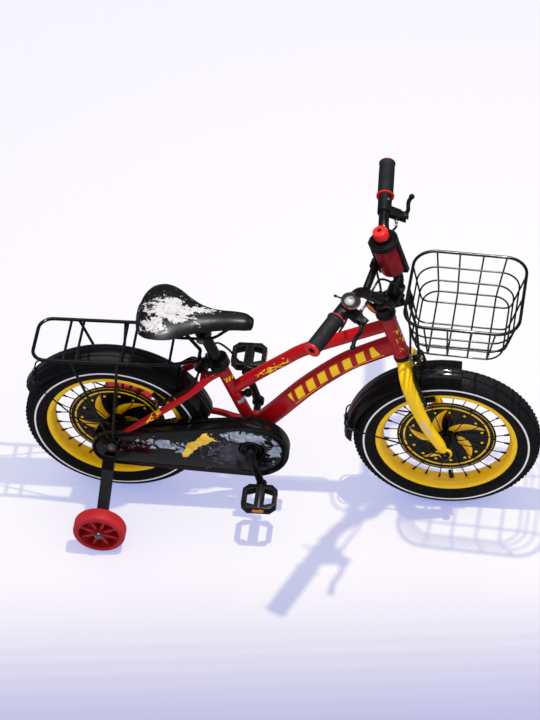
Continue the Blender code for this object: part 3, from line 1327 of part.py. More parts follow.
def make_rack():
    """Rail, cross rods, struts to the axle and front stay, welded into one rack."""
    corner = 0.030
    front = Vector((RACK_FRONT_X + 0.053, 0.0165, RACK_Z - 0.029))
    half = [front, Vector((RACK_FRONT_X, RACK_RAIL_Y - 0.004, RACK_Z)),
            Vector((RACK_FRONT_X - 0.030, RACK_RAIL_Y, RACK_Z))]
    right = [mirrored(point, -1) for point in half]
    for cx, cy, start in ((RACK_REAR_X + corner, -RACK_RAIL_Y + corner, -pi / 2),
                          (RACK_REAR_X + corner, RACK_RAIL_Y - corner, -pi)):
        right += [(px, py, RACK_Z) for px, py in arc((cx, cy), corner, start, start - pi / 2, 3)]
    pieces = [tube("rail", right + half[::-1], RACK_RAIL_RADIUS, BLACK_PAINT, sides=6)]
    for x in RACK_RODS_X:
        end = RACK_RAIL_Y - (0.0045 if x > RACK_FRONT_X - 0.030 else 0.0012)
        pieces.append(tube("rod", [(x, -end, RACK_Z), (x, end, RACK_Z)],
                           RACK_ROD_RADIUS, BLACK_PAINT, sides=6 if x == RACK_MOUNT_X else 4))
    pieces.append(cylinder("front_rod", mirrored(front, -1), front, RACK_RAIL_RADIUS * 0.9, steps=8))
    cuts = [cylinder("axle_hole", REAR_HUB - Y_AXIS * 0.1, REAR_HUB + Y_AXIS * 0.1,
                     across_corners(AXLE_RADIUS + SEAT_GAP, 10), steps=10)]
    for side in (1, -1):
        pieces.append(plate("eye", ring((0.0, WHEEL_RADIUS), EYE_RADIUS, 10), EYE_THICKNESS,
                            BLACK_PAINT, side_plane(side * RACK_EYE_Y)))
        for x in RACK_STRUTS_X:
            top = Vector((x, side * RACK_RAIL_Y, RACK_Z))
            low = REAR_HUB + Y_AXIS * side * RACK_EYE_Y
            out = (top - low).normalized()
            path = [low + out * 0.0095, low + out * 0.014, low + out * 0.032, top]
            pieces.append(tube("strut", path, RACK_STRUT_RADIUS, BLACK_PAINT, sides=4,
                               scales=[0.38, 0.40, 1.0, 1.0]))
    stud = STUDS["rear"]
    eye_out = 0.0088
    pieces.append(cylinder("stud_eye", stud.point(0.0, eye_out - 0.0012, 0.0),
                           stud.point(0.0, eye_out + 0.0012, 0.0), 0.0080, steps=12))
    pieces.append(tube("front_stay", bent([
        stud.point(-0.0055, eye_out, 0.0), stud.point(-0.0145, eye_out, 0.0),
        (front.x, 0.0, front.z)], 0.008, 2), 0.0030, BLACK_PAINT, sides=6,
        scales=[0.38, 0.42, 1.0, 1.0, 1.0]))
    cuts.append(cylinder("stud_hole", stud.point(0.0, -0.05, 0.0), stud.point(0.0, 0.09, 0.0),
                         across_corners(STUD_RADIUS + SEAT_GAP, 10), steps=10))
    return weld("rear_rack", pieces, BLACK_PAINT, cuts)


def make_seat_clamp():
    """The collar on the seat tube with its skewer, and the quick-release lever."""
    low, high = SEAT_CLAMP_LOW, SEAT_CLAMP_HIGH
    middle = (low + high) / 2
    ear = seat_point(middle, -SEAT_CLAMP_RADIUS - 0.0005)
    turn = direction_matrix((0.0, 0.0, 0.0), SEAT_UP)
    pin_end = -0.0240
    pieces = [
        cylinder("collar", seat_point(low), seat_point(high), SEAT_CLAMP_RADIUS, steps=16),
        box("ears", ear, (0.012, 0.018, high - low - 0.004), turn=turn),
        cylinder("skewer", ear + Y_AXIS * pin_end, ear + Y_AXIS * 0.015, 0.0026, steps=8),
        cylinder("nut", ear + Y_AXIS * 0.0095, ear + Y_AXIS * 0.0155, 0.0062, steps=12),
    ]
    cuts = [
        cylinder("tube_hole", seat_point(low - 0.05), seat_point(SEAT_TUBE_LENGTH + SEAT_GAP),
                 across_corners(SEAT_TUBE_RADIUS + SEAT_GAP, 14), steps=14),
        cylinder("post_hole", seat_point(low), seat_point(high + 0.05),
                 across_corners(POST_RADIUS + SEAT_GAP, 14), steps=14),
        box("slot", seat_point(middle, -SEAT_CLAMP_RADIUS - 0.0080),
            (0.0160, 0.0022, high - low + 0.010), turn=turn),
    ]
    clamp = weld("seat_clamp", pieces, BLACK_PAINT, cuts)
    pivot = ear + Y_AXIS * (pin_end - 0.0048)
    outer = Vector((sin(SEAT_ANGLE), 0.0, cos(SEAT_ANGLE)))
    lever = weld("seat_clamp_lever", [
        cylinder("cam", pivot - SEAT_UP * 0.006, pivot + SEAT_UP * 0.006, 0.0042, steps=12),
        tube("handle", bent([pivot, pivot + outer * 0.020 - Y_AXIS * 0.003,
                             pivot + outer * 0.046 + Y_AXIS * 0.001], 0.008, 2), 0.0034,
             BLACK_PAINT, sides=8),
    ], BLACK_PAINT)
    return clamp, lever, pivot


def lofted(name, sections, material):
    """A closed skin through rings of points of the same count."""
    shape = bmesh.new()
    rings = [[shape.verts.new(point) for point in section] for section in sections]
    count = len(rings[0])
    for near, far in zip(rings, rings[1:]):
        for i in range(count):
            shape.faces.new((near[i], near[(i + 1) % count], far[(i + 1) % count], far[i]))
    shape.faces.new(rings[0][::-1])
    shape.faces.new(rings[-1])
    bmesh.ops.recalc_face_normals(shape, faces=shape.faces)
    return from_bmesh(name, shape, material)


def make_saddle():
    """The padded saddle on its moulded base, as one closed body."""
    sections = []
    for x, half, top in SADDLE_STATIONS:
        shoulder = min(SADDLE_SHOULDER, half * 0.6)
        base = top - min(SADDLE_SKIRT, half * 0.5 + 0.016)
        section = []
        for share in (1.0, 0.93, 0.72, 0.38, 0.0, -0.38, -0.72, -0.93, -1.0):
            section.append((x, half * share, top - shoulder * abs(share) ** 3.2))
        section += [(x, -half * 0.94, base), (x, 0.0, base + 0.002), (x, half * 0.94, base)]
        sections.append(section)
    return lofted("saddle", sections, SADDLE_COVER)


def make_seat_post():
    """The seat post, and the saddle's two rails with their clamp."""
    top = (SEAT_CLAMP_Z - BB_Z) / SEAT_UP.z
    post = cylinder("seat_post", seat_point(POST_LOW), seat_point(top + 0.006), POST_RADIUS,
                    BLACK_PAINT, steps=16)
    centre = seat_point(top)
    pieces = [
        cylinder("clamp", centre - SEAT_UP * 0.012, centre + SEAT_UP * 0.012,
                 POST_RADIUS + 0.0045, steps=14),
        cylinder("cradle", centre - Y_AXIS * (RAIL_Y + 0.007), centre + Y_AXIS * (RAIL_Y + 0.007),
                 0.0105, steps=12),
    ]
    rear = Vector((0.112, 0.0, 0.5588))
    nose = Vector((0.286, 0.0, 0.5392))
    for side in (1, -1):
        shift = Y_AXIS * side * RAIL_Y
        path = bent([rear + shift * 1.5, Vector((0.150, 0.0, centre.z)) + shift,
                     Vector((0.238, 0.0, centre.z)) + shift, nose + shift * 0.35], 0.018, 2)
        pieces.append(tube("rail", path, RAIL_RADIUS, BLACK_PAINT, sides=6))
    pieces.append(cylinder("nose_rod", nose - Y_AXIS * RAIL_Y * 0.35, nose + Y_AXIS * RAIL_Y * 0.35,
                           RAIL_RADIUS * 0.95, steps=8))
    cuts = [cylinder("post_hole", seat_point(top - 0.08), seat_point(top + 0.006 + SEAT_GAP),
                     across_corners(POST_RADIUS + SEAT_GAP, 16), steps=16)]
    clamp = weld("saddle_clamp", pieces, BLACK_PAINT, cuts)
    return post, clamp


def case_outline(rear_z, rear_radius, wall=0.0):
    """The chain case's outline in the (x, z) plane, drawn in by a wall."""
    return belt_outline((0.001, rear_z), rear_radius - wall, (BB.x, BB.z + CASE_FRONT_RISE),
                        CASE_FRONT_RADIUS - wall, 8, 14)


def make_case_half(name, rear_z, rear_radius, face_y, edge_y, holes):
    """One dished half of the chain case, cut where the stays and shafts pass."""
    inward = 1 if edge_y > face_y else -1
    middle = -(face_y + edge_y) / 2
    depth = abs(edge_y - face_y)
    pocket_y = -(face_y + inward * CASE_WALL + edge_y + inward * 0.01) / 2
    pocket_depth = depth - CASE_WALL + 0.01
    half = plate(name, case_outline(rear_z, rear_radius), depth, GLOSS_PLASTIC, side_plane(middle))
    pocket = plate("pocket", case_outline(rear_z, rear_radius, CASE_WALL), pocket_depth,
                   GLOSS_PLASTIC, side_plane(pocket_y))
    cuts = [pocket]
    for centre, radius in holes:
        cuts.append(cylinder("hole", centre - Y_AXIS * 0.2, centre, radius, steps=16))
    chain_stay, seat_stay = stay_paths(-1)
    cuts.append(tube("stay_room", chain_stay, CHAIN_STAY_RADIUS + 0.0012, GLOSS_PLASTIC, sides=6))
    cuts.append(tube("stay_room", seat_stay, SEAT_STAY_RADIUS + 0.0012, GLOSS_PLASTIC, sides=6))
    return weld(name, [half], GLOSS_PLASTIC, cuts)


def make_chain_drive():
    """The chain and the two halves of its case."""
    ring_radius = pitch_radius(CHAINRING_TEETH)
    cog_radius = pitch_radius(SPROCKET_TEETH)
    half = CHAIN_HEIGHT / 2
    loops = [belt_outline((REAR_HUB.x, REAR_HUB.z), cog_radius + shift, (BB.x, BB.z),
                          ring_radius + shift, 10, 16) for shift in (half, -half)]
    chain = plate("chain", loops[0], CHAIN_WIDTH, STEEL, side_plane(-CHAIN_LINE_Y), loops[1:])
    inner = make_case_half("chain_case_inner", CASE_ARCH_Z, CASE_ARCH_RADIUS, CASE_INNER_Y,
                           CASE_SPLIT_Y - SEAT_GAP, [(BB, BB_RADIUS + 0.0065), (REAR_HUB, 0.0155)])
    outer = make_case_half("chain_case_outer", CASE_REAR_Z, CASE_REAR_RADIUS, CASE_OUTER_Y,
                           CASE_SPLIT_Y + SEAT_GAP,
                           [(BB, CASE_CRANK_HOLE_RADIUS), (REAR_HUB, NUT_RADIUS + 0.0012)])
    return [chain, inner, outer]


def pedal_eye(side):
    """The pedal's point on the crank, the right one down and leaning forward."""
    reach = Vector((sin(CRANK_LEAN), 0.0, -cos(CRANK_LEAN))) * CRANK_LENGTH
    return BB + (reach if side < 0 else -reach) + Y_AXIS * side * CRANK_EYE_Y


def make_crank():
    """The one-piece crank with its pedal pins, and the chainring on it."""
    pieces = [cylinder("spindle", BB - Y_AXIS * CRANK_ROOT_Y, BB + Y_AXIS * CRANK_ROOT_Y,
                       SPINDLE_RADIUS, steps=14)]
    for side in (1, -1):
        eye = pedal_eye(side)
        root = BB + Y_AXIS * side * CRANK_ROOT_Y
        reach = (eye - root).normalized()
        path = [root - reach * 0.004, root.lerp(eye, 0.5), eye]
        pin_end = eye + Y_AXIS * side * (PEDAL_GAP + PEDAL_WIDTH - 0.006)
        pieces += [
            tube("arm", path, 0.0090, BLACK_PAINT, sides=6, scales=[1.0, 0.9, 0.82]),
            cylinder("boss", root - Y_AXIS * side * 0.0060, root + Y_AXIS * side * 0.0080, 0.0135,
                     steps=14),
            cylinder("eye", eye - Y_AXIS * 0.0062, eye + Y_AXIS * 0.0062, 0.0118, steps=14),
            cylinder("pin", eye, pin_end, PEDAL_PIN_RADIUS, steps=10),
            cylinder("pin_flat", eye + Y_AXIS * side * 0.006, eye + Y_AXIS * side * (PEDAL_GAP - 0.0006),
                     0.0072, steps=6),
        ]
    disc_y = -0.0580
    pieces.append(cylinder("cover_disc", BB + Y_AXIS * disc_y, BB + Y_AXIS * (disc_y - 0.0110),
                           0.0250, steps=20))
    crank = weld("crank", pieces, BLACK_PAINT)
    chainring = toothed_wheel("chainring", BB, CHAINRING_TEETH, CHAINRING_BORE, 5)
    return crank, chainring


def make_pedal(name, side):
    """A moulded pedal: a level frame with two openings round a barrel for the pin."""
    eye = pedal_eye(side)
    inner = eye + Y_AXIS * side * PEDAL_GAP
    centre = inner + Y_AXIS * side * PEDAL_WIDTH / 2
    window = (PEDAL_LENGTH / 2 - 1.5 * PEDAL_RAIL, PEDAL_WIDTH - 2 * PEDAL_RAIL, PEDAL_HEIGHT * 2)
    pieces = [
        box("frame", centre, (PEDAL_LENGTH, PEDAL_WIDTH, PEDAL_HEIGHT)),
        cylinder("barrel", inner - Y_AXIS * side * 0.0003,
                 inner + Y_AXIS * side * PEDAL_WIDTH, PEDAL_HEIGHT * 0.56, steps=12),
    ]
    cuts = [cylinder("pin_hole", inner - Y_AXIS * side * 0.02,
                     inner + Y_AXIS * side * (PEDAL_WIDTH - 0.005),
                     across_corners(PEDAL_PIN_RADIUS + RUN_GAP, 12), steps=12)]
    for edge in (1, -1):
        middle = centre + X_AXIS * edge * (PEDAL_RAIL / 2 + window[0] / 2)
        cuts.append(box("window", middle, window))
    return weld(name, pieces, BLACK_PLASTIC, cuts)


def trainer_point(side, y=TRAINER_Y):
    """The stabiliser wheel's axle at this distance out."""
    return Vector((TRAINER_X, side * y, TRAINER_RADIUS))


def make_stabiliser_bracket(name, side):
    """The plate on the axle, the square arm and the bolt that carries the wheel."""
    plate_y = side * (STABILISER_PLATE_Y + STABILISER_PLATE_THICKNESS / 2)
    width = 0.0110
    outline = arc((0.0, WHEEL_RADIUS), 0.0125, 0.05 * pi, 0.95 * pi, 8)
    outline += [(-0.0175, WHEEL_RADIUS - 0.036), (0.0045, WHEEL_RADIUS - 0.036)]
    top = Vector((-0.0060, side * 0.0835, 0.1840))
    low = Vector((TRAINER_X, side * 0.1655, TRAINER_RADIUS + 0.003))
    along = (low - top).normalized()
    across = (X_AXIS - along * X_AXIS.dot(along)).normalized()
    turn = Matrix((across, along.cross(across), along)).transposed().to_4x4()
    inner = TRAINER_Y - TRAINER_HALF_WIDTH - RUN_GAP
    outer = TRAINER_Y + TRAINER_HALF_WIDTH + RUN_GAP
    pieces = [
        plate("plate", outline[::-1], STABILISER_PLATE_THICKNESS, BLACK_PAINT, side_plane(plate_y)),
        box("arm", (top + low) / 2, (ARM_TUBE, ARM_TUBE, (low - top).length), turn=turn),
        cylinder("shoulder", trainer_point(side, 0.160), trainer_point(side, inner), width, steps=14),
        cylinder("bolt", trainer_point(side, 0.160), trainer_point(side, outer + 0.002),
                 TRAINER_BOLT_RADIUS, steps=12),
        cylinder("head", trainer_point(side, outer), trainer_point(side, outer + 0.006), 0.0100,
                 steps=12),
    ]
    cuts = [cylinder("axle_hole", REAR_HUB - Y_AXIS * 0.2, REAR_HUB + Y_AXIS * 0.2,
                     across_corners(AXLE_RADIUS + SEAT_GAP, 12), steps=12)]
    return weld(name, pieces, BLACK_PAINT, cuts)


def make_stabiliser_wheel(name, side):
    """A moulded wheel with a tread, eight spokes and a hub."""
    centre = trainer_point(side)
    half = TRAINER_HALF_WIDTH
    bore = TRAINER_BOLT_RADIUS + RUN_GAP
    tread = TRAINER_RADIUS
    rim = wheel_turned("rim", [
        (tread, half - 0.006), (tread, -half + 0.006), (tread - 0.004, -half),
        (TRAINER_OPENING, -half), (TRAINER_OPENING, half), (tread - 0.004, half)],
        centre, RED_PLASTIC, TRAINER_STEPS)
    hub = wheel_turned("hub", [(0.0125, half), (0.0125, -half), (bore, -half), (bore, half)],
                       centre, RED_PLASTIC, 12)
    pieces = [rim, hub]
    for i in range(TRAINER_SPOKES):
        angle = 2 * pi * (i + 0.5) / TRAINER_SPOKES
        out = Vector((cos(angle), 0.0, sin(angle)))
        middle = centre + out * (TRAINER_OPENING + 0.011) / 2
        turn = Matrix((out, Y_AXIS, out.cross(Y_AXIS))).transposed().to_4x4()
        pieces.append(box("spoke", middle, (TRAINER_OPENING - 0.007, 0.020, 0.0060), turn=turn))
    return weld(name, pieces, RED_PLASTIC)


def lever_barrel(side):
    """The world point where the cable leaves a brake lever, and its way out."""
    turn = turn_about_steering(BAR_TURN)
    _, along, forward = lever_frame(side)
    pivot, _ = lever_pivot(side)
    start = turn @ (pivot - along * (0.0240 + SEAT_GAP) - forward * 0.0165)
    return start, (turn.to_3x3() @ -along)


def make_cables():
    """The two brake cables from the levers to the callipers."""
    start, way = lever_barrel(-1)
    stud = STUDS["front"]
    end = stud.point(-0.028, stud.level, -0.024)
    front = tube("front_brake_cable", [start] + eased([
        start + way * 0.014, (0.5960, -0.0860, 0.7560), (0.6080, -0.0595, 0.7520),
        (0.6332, -0.0377, 0.7160), (0.6477, -0.0343, 0.6800), (0.6555, -0.0300, 0.6400),
        (0.6590, -0.0290, 0.6120), (0.6630, -0.0190, 0.5600), end], 0.024), CABLE_RADIUS,
        BLACK_PLASTIC, sides=6)
    start, way = lever_barrel(1)
    stud = STUDS["rear"]
    end = stud.point(-0.028, stud.level + ARM_PITCH, 0.024)
    rear = tube("rear_brake_cable", [start] + eased([
        start + way * 0.012, (0.6140, 0.0980, 0.7300), (0.5900, 0.0750, 0.7050),
        (0.5900, 0.0350, 0.6850), (0.6010, -0.0050, 0.6720), (0.6010, -0.0300, 0.6840),
        (0.5860, -0.0477, 0.7000), (0.5687, -0.0510, 0.7000), (0.5581, -0.0497, 0.6900),
        (0.5450, -0.0400, 0.6500), (0.5320, -0.0120, 0.5900), (0.5150, 0.0140, 0.5250),
        (0.4900, 0.0180, 0.4840), (0.4330, 0.0180, 0.4550), (0.3900, 0.0180, 0.4220),
        (0.3300, 0.0200, 0.3780), (0.2900, 0.0260, 0.3850), (0.2620, 0.0340, 0.4200),
        (0.2350, 0.0335, 0.4400), end], 0.026), CABLE_RADIUS, BLACK_PLASTIC, sides=6)
    return front, rear


def main():
    """Build every part and hang the moving ones on their joints."""
    clear_scene()
    STUDS.update(brake_studs())
    make_main_frame()
    make_head_cups()
    make_frame_plug()
    make_rack()
    make_chain_drive()
    rear_axle, front_axle = make_axles()
    make_mudguard("rear_mudguard", REAR_HUB, radians(14.0), radians(148.0))
    guard_stay("rear_mudguard_stay", REAR_HUB, radians(139.0), GUARD_EYE_Y)
    front_guard = make_mudguard("front_mudguard", FRONT_HUB, radians(82.0), radians(178.5))
    front_stay = guard_stay("front_mudguard_stay", FRONT_HUB, radians(167.0), FRONT_EYE_Y)
    seat_clamp, clamp_lever, clamp_pivot = make_seat_clamp()
    seat_post, saddle_clamp = make_seat_post()
    saddle = make_saddle()
    crank, chainring = make_crank()
    bell_base, bell_dome, bell_lever, bell_pivot = make_bell()
    bottle, bottle_cap = make_bottle()
    front_cable, _ = make_cables()
    bar_turn = turn_about_steering(BAR_TURN)
    steering = joint_empty("steering", STEER_ORIGIN, [
        make_fork(), front_axle, front_guard, front_stay, make_stem(), make_handlebar(),
        bell_base, bell_dome, make_bottle_cage(), make_basket(), make_basket_bracket(),
        make_reflector(), front_cable])
    for side, word in ((-1, "right"), (1, "left")):
        grip = make_grip("grip_" + word, side)
        bracket = make_lever_bracket("lever_bracket_" + word, side)
        for part in (grip, bracket):
            part.parent = steering
            part.matrix_parent_inverse = steering.matrix_world.inverted()
        lever = make_brake_lever("brake_lever_" + word, side)
        joint_empty("brake_lever_pivot_" + word, bar_turn @ lever_pivot(side)[0], [lever], steering)
        arm = make_calliper_arm("front_brake_arm_" + word, STUDS["front"], side, (side + 1) / 2)
        joint_empty("front_brake_pivot_" + word, STUDS["front"].root, [arm], steering)
        arm = make_calliper_arm("rear_brake_arm_" + word, STUDS["rear"], side, (side + 1) / 2)
        joint_empty("rear_brake_pivot_" + word, STUDS["rear"].root, [arm])
        make_stabiliser_bracket("stabiliser_bracket_" + word, side)
        trainer = make_stabiliser_wheel("stabiliser_wheel_" + word, side)
        joint_empty("stabiliser_axle_" + word, trainer_point(side), [trainer])
    joint_empty("front_wheel", FRONT_HUB, make_front_wheel(), steering)
    joint_empty("rear_wheel", REAR_HUB, make_rear_wheel())
    joint_empty("bell_lever_pivot", bell_pivot, [bell_lever], steering)
    joint_empty("bottle_slide", bar_turn @ Vector(BOTTLE_FOOT), [bottle, bottle_cap], steering)
    crank_joint = joint_empty("crank_axle", BB, [crank, chainring])
    for side, word in ((-1, "right"), (1, "left")):
        joint_empty("pedal_pin_" + word, pedal_eye(side), [make_pedal("pedal_" + word, side)],
                    crank_joint)
    joint_empty("seat_post_slide", seat_point(SEAT_TUBE_LENGTH), [seat_post, saddle_clamp, saddle])
    joint_empty("seat_clamp_lever_pivot", clamp_pivot, [clamp_lever])


main()
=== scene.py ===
"""The visible pieces of a children's bicycle with stabilisers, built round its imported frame."""

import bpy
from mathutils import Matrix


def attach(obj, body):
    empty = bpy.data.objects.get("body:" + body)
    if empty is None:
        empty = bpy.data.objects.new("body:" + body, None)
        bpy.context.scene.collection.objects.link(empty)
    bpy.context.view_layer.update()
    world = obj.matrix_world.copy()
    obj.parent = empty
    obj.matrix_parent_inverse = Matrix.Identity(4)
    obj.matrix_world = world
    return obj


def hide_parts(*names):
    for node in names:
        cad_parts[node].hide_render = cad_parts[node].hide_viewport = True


bl_info = {
    "name": "Kids bicycle",
    "version": (1, 0, 0),
    "blender": (4, 5, 0),
    "location": "View3D > Sidebar > Bicycle",
    "description": "Builds the wheels, tubes, basket, guards, drive and fittings of a small bicycle",
    "category": "Object",
}

from math import acos, atan2, ceil, cos, pi, radians, sin, sqrt

import bmesh
import bpy
from bpy.props import BoolProperty, FloatProperty, FloatVectorProperty, IntProperty, PointerProperty
from bpy.types import Operator, Panel, PropertyGroup
from mathutils import Matrix, Vector

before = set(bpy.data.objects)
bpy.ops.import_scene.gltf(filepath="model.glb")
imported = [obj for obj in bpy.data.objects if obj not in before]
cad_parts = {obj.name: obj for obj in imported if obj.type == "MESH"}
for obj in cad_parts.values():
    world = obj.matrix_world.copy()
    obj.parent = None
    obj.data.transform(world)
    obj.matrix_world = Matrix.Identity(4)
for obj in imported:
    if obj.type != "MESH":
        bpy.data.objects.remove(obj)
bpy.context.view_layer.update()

X_AXIS = Vector((1.0, 0.0, 0.0))
Y_AXIS = Vector((0.0, 1.0, 0.0))
Z_AXIS = Vector((0.0, 0.0, 1.0))

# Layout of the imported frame, which the visible pieces follow.
SEAT_GAP = 0.0003
WHEEL_RADIUS = 0.2075
WHEELBASE = 0.741
HEAD_ANGLE = radians(75.0)
SEAT_ANGLE = radians(72.5)
BAR_TURN = radians(-12.4)
BASKET_TURN = radians(-3.9)
BB = Vector((0.311, 0.0, 0.204))
REAR_HUB = Vector((0.0, 0.0, WHEEL_RADIUS))
FRONT_HUB = Vector((WHEELBASE, 0.0, WHEEL_RADIUS))
STEER_UP = Vector((-cos(HEAD_ANGLE), 0.0, sin(HEAD_ANGLE)))
STEER_FRONT = Vector((sin(HEAD_ANGLE), 0.0, cos(HEAD_ANGLE)))
STEER_ORIGIN = FRONT_HUB - X_AXIS * (0.0268 / sin(HEAD_ANGLE))
SEAT_UP = Vector((-cos(SEAT_ANGLE), 0.0, sin(SEAT_ANGLE)))
SEAT_FRONT = Vector((sin(SEAT_ANGLE), 0.0, cos(SEAT_ANGLE)))

# Wheels.
RIM_RADIUS = 0.157
RIM_HALF_WIDTH = 0.0207
RIM_BED_RADIUS = 0.140
RIM_WALL = 0.0019
FLANGE_RADIUS = 0.026
FLANGE_HALF_GAP = 0.010
FLANGE_THICKNESS = 0.0036
HUB_RADIUS = 0.0125
DISC_RADIUS = 0.110
AXLE_RADIUS = 0.0048
AXLE_BORE = AXLE_RADIUS + 0.0004

# Rear end and chain.
REAR_DROPOUT_Y = 0.0575
DROPOUT_THICKNESS = 0.005
CHAIN_LINE_Y = 0.0445
CHAIN_PITCH = 0.0127
CHAINRING_TEETH = 28
SPROCKET_TEETH = 14
RACK_EYE_Y = 0.0755
GUARD_EYE_Y = 0.0789
EYE_THICKNESS = 0.0024
EYE_RADIUS = 0.0115
STABILISER_PLATE_Y = 0.069
STABILISER_PLATE_THICKNESS = 0.0045
NUT_RADIUS = 0.0095
NUT_HEIGHT = 0.008

# Chain case.
CASE_FRONT = (BB.x, BB.z - 0.006)
CASE_FRONT_RADIUS = 0.085
CASE_REAR = (0.001, 0.1825)
CASE_REAR_RADIUS = 0.051
CASE_ARCH = (0.001, 0.194)
CASE_ARCH_RADIUS = 0.050
CASE_INNER_Y = 0.0355
CASE_SPLIT_Y = 0.0490
CASE_OUTER_Y = 0.068
CASE_WALL = 0.0015
CRANK_HOLE_RADIUS = 0.0275

# Frame and fork.
HEAD_TUBE_RADIUS = 0.0178
HEAD_TUBE_LOW = 0.272
HEAD_TUBE_LENGTH = 0.117
HEAD_TUBE_HIGH = HEAD_TUBE_LOW + HEAD_TUBE_LENGTH
LOWER_CUP_HEIGHT = 0.0115
UPPER_CUP_HEIGHT = 0.021
STEERER_RADIUS = 0.0127
SEAT_TUBE_RADIUS = 0.0142
SEAT_TUBE_LENGTH = 0.228
POST_RADIUS = 0.0125
POST_BORE = POST_RADIUS + 0.0003
BB_RADIUS = 0.0215
BB_HALF_WIDTH = 0.034
TOP_TUBE_RADIUS = 0.0142
CHAIN_STAY_RADIUS = 0.0078
SEAT_STAY_RADIUS = 0.0082
STAY_DRAWN_FROM = 0.72
STAY_END_SCALE = 0.62
FORK_CROWN_LOW = 0.238
FORK_DROPOUT_Y = 0.0510
FRONT_EYE_Y = 0.0558
FORK_LEG_Y = 0.0535
FORK_LEG_RADIUS = 0.0150
FORK_TIP_RADIUS = 0.0118
GUARD_HALF_WIDTH = 0.034
GUARD_GAP = 0.008
GUARD_THICKNESS = 0.0016
GUARD_CROWN = 0.010

# Handlebar zone, in the straight-ahead position.
BAR_RADIUS = 0.0111
BAR_BORE = BAR_RADIUS + SEAT_GAP
BAR_CLAMP_X = 0.632
BAR_CLAMP_Z = 0.664
BAR_CLAMP_HALF = 0.034
BAR_SHOULDER = (0.5831, 0.088, 0.7515)
BAR_END = (0.5402, 0.2655, 0.7569)
GRIP_INNER_Y = 0.1758
GRIP_RADIUS = 0.0165
GRIP_FLANGE_RADIUS = 0.0190
GRIP_TIP_RADIUS = 0.0176
CROSSBAR_RADIUS = 0.0080
CROSSBAR_SHARE = 0.82
REFLECTOR_CENTRE = Vector((0.5865, -0.0569, 0.6668))
REFLECTOR_FACING = Vector((-0.62, -0.73, -0.29)).normalized()
REFLECTOR_SHARE = 0.24
REFLECTOR_RADIUS = 0.0165
REFLECTOR_THICKNESS = 0.008
STEM_RADIUS = 0.0160
STEM_TOP = 0.4500
CABLE_RADIUS = 0.0024
LEVER_CLAMP_LENGTH = 0.046
LEVER_CLAMP_RADIUS = 0.0148
LEVER_REACH = 0.0455
LEVER_PIVOT_INSET = 0.0360
LEVER_EAR_GAP = 0.0045
LEVER_EAR = 0.0030
LEVER_DROOP = radians(28.0)
BELL_Y = 0.1175
BELL_OUTWARD = 0.0205
BELL_FORWARD = 0.007
BELL_RADIUS = 0.0205
BELL_HEIGHT = 0.012
BELL_LIFT = 0.0192
BELL_BASE_HEIGHT = 0.0045
BOTTLE_RADIUS = 0.027
BOTTLE_LENGTH = 0.089
BOTTLE_CAP_RADIUS = 0.0155
BOTTLE_CAP_HEIGHT = 0.024
BOTTLE_NECK = 0.012
BOTTLE_FOOT = Vector((0.6308, 0.0039, 0.7315))
CAGE_GAP = 0.0006
CAGE_WALL = 0.0030
CAGE_HEIGHT = 0.087
CAGE_COLLAR = 0.013

# Crank, pedals and stabilisers.
CRANK_LENGTH = 0.0907
CRANK_LEAN = radians(14.0)
CRANK_ROOT_Y = 0.0800
CRANK_EYE_Y = 0.090
PEDAL_LENGTH = 0.078
PEDAL_WIDTH = 0.070
PEDAL_HEIGHT = 0.020
PEDAL_RAIL = 0.011
PEDAL_GAP = 0.0085
TRAINER_RADIUS = 0.0592
TRAINER_X = -0.0233
TRAINER_Y = 0.2005
TRAINER_HALF_WIDTH = 0.0172
TRAINER_OPENING = 0.0455
TRAINER_BOLT_RADIUS = 0.005
ARM_TUBE = 0.025

# Rack and basket.
RACK_Z = 0.462
RACK_RAIL_Y = 0.0625
RACK_REAR_X = -0.156
RACK_FRONT_X = 0.150
RACK_RAIL_RADIUS = 0.0040
RACK_ROD_RADIUS = 0.0030
RACK_RODS_X = (-0.086, -0.058, 0.040, 0.062, 0.146)
RACK_STRUTS_X = (-0.070, 0.0335)
RACK_STRUT_RADIUS = 0.0032
BASKET_RIM_Z = 0.6775
BASKET_DEPTH = 0.100
BASKET_REAR_X = 0.6607
BASKET_FRONT_X = 0.8976
BASKET_HALF_WIDTH = 0.1102
BASKET_TAPER = 0.018
BASKET_FRONT_TAPER = 0.032
BASKET_CORNER = 0.045
BASKET_RIM_RADIUS = 0.0034
BASKET_WIRE_RADIUS = 0.0019
BASKET_LONG_WIRE_Y = 0.062
BRACKET_RING_HEIGHT = 0.0100
BRACKET_RING_RADIUS = 0.0210
BRACKET_PLATE_Z = 0.634

# Brakes.
BRIDGE = Vector((0.2085, 0.0, 0.3785))
STUD_RADIUS = 0.0035
STUD_BORE = STUD_RADIUS + 0.0003
STUD_LENGTH = 0.030
ARM_RADIUS = 0.0042
ARM_EYE_RADIUS = 0.0085
ARM_EYE_THICKNESS = 0.0046
ARM_PITCH = 0.0056
ARM_Y = 0.0440
BRAKE_PAD_RADIUS = 0.1515
PAD_GAP = 0.0012

# Saddle stations: distance forward, half width, top height.
SADDLE_STATIONS = (
    (0.080, 0.040, 0.566), (0.088, 0.061, 0.576), (0.104, 0.077, 0.582), (0.130, 0.083, 0.584),
    (0.158, 0.076, 0.579), (0.187, 0.056, 0.572), (0.216, 0.040, 0.566), (0.250, 0.0295, 0.563),
    (0.285, 0.0250, 0.563), (0.310, 0.0215, 0.560), (0.322, 0.0140, 0.554),
)
SADDLE_SKIRT = 0.021
SADDLE_SHOULDER = 0.018
RAIL_RADIUS = 0.0033
RAIL_Y = 0.021
SEAT_CLAMP_Z = 0.508
SEAT_CLAMP_LOW = 0.2125
SEAT_CLAMP_HIGH = 0.2345
SEAT_CLAMP_RADIUS = 0.0235


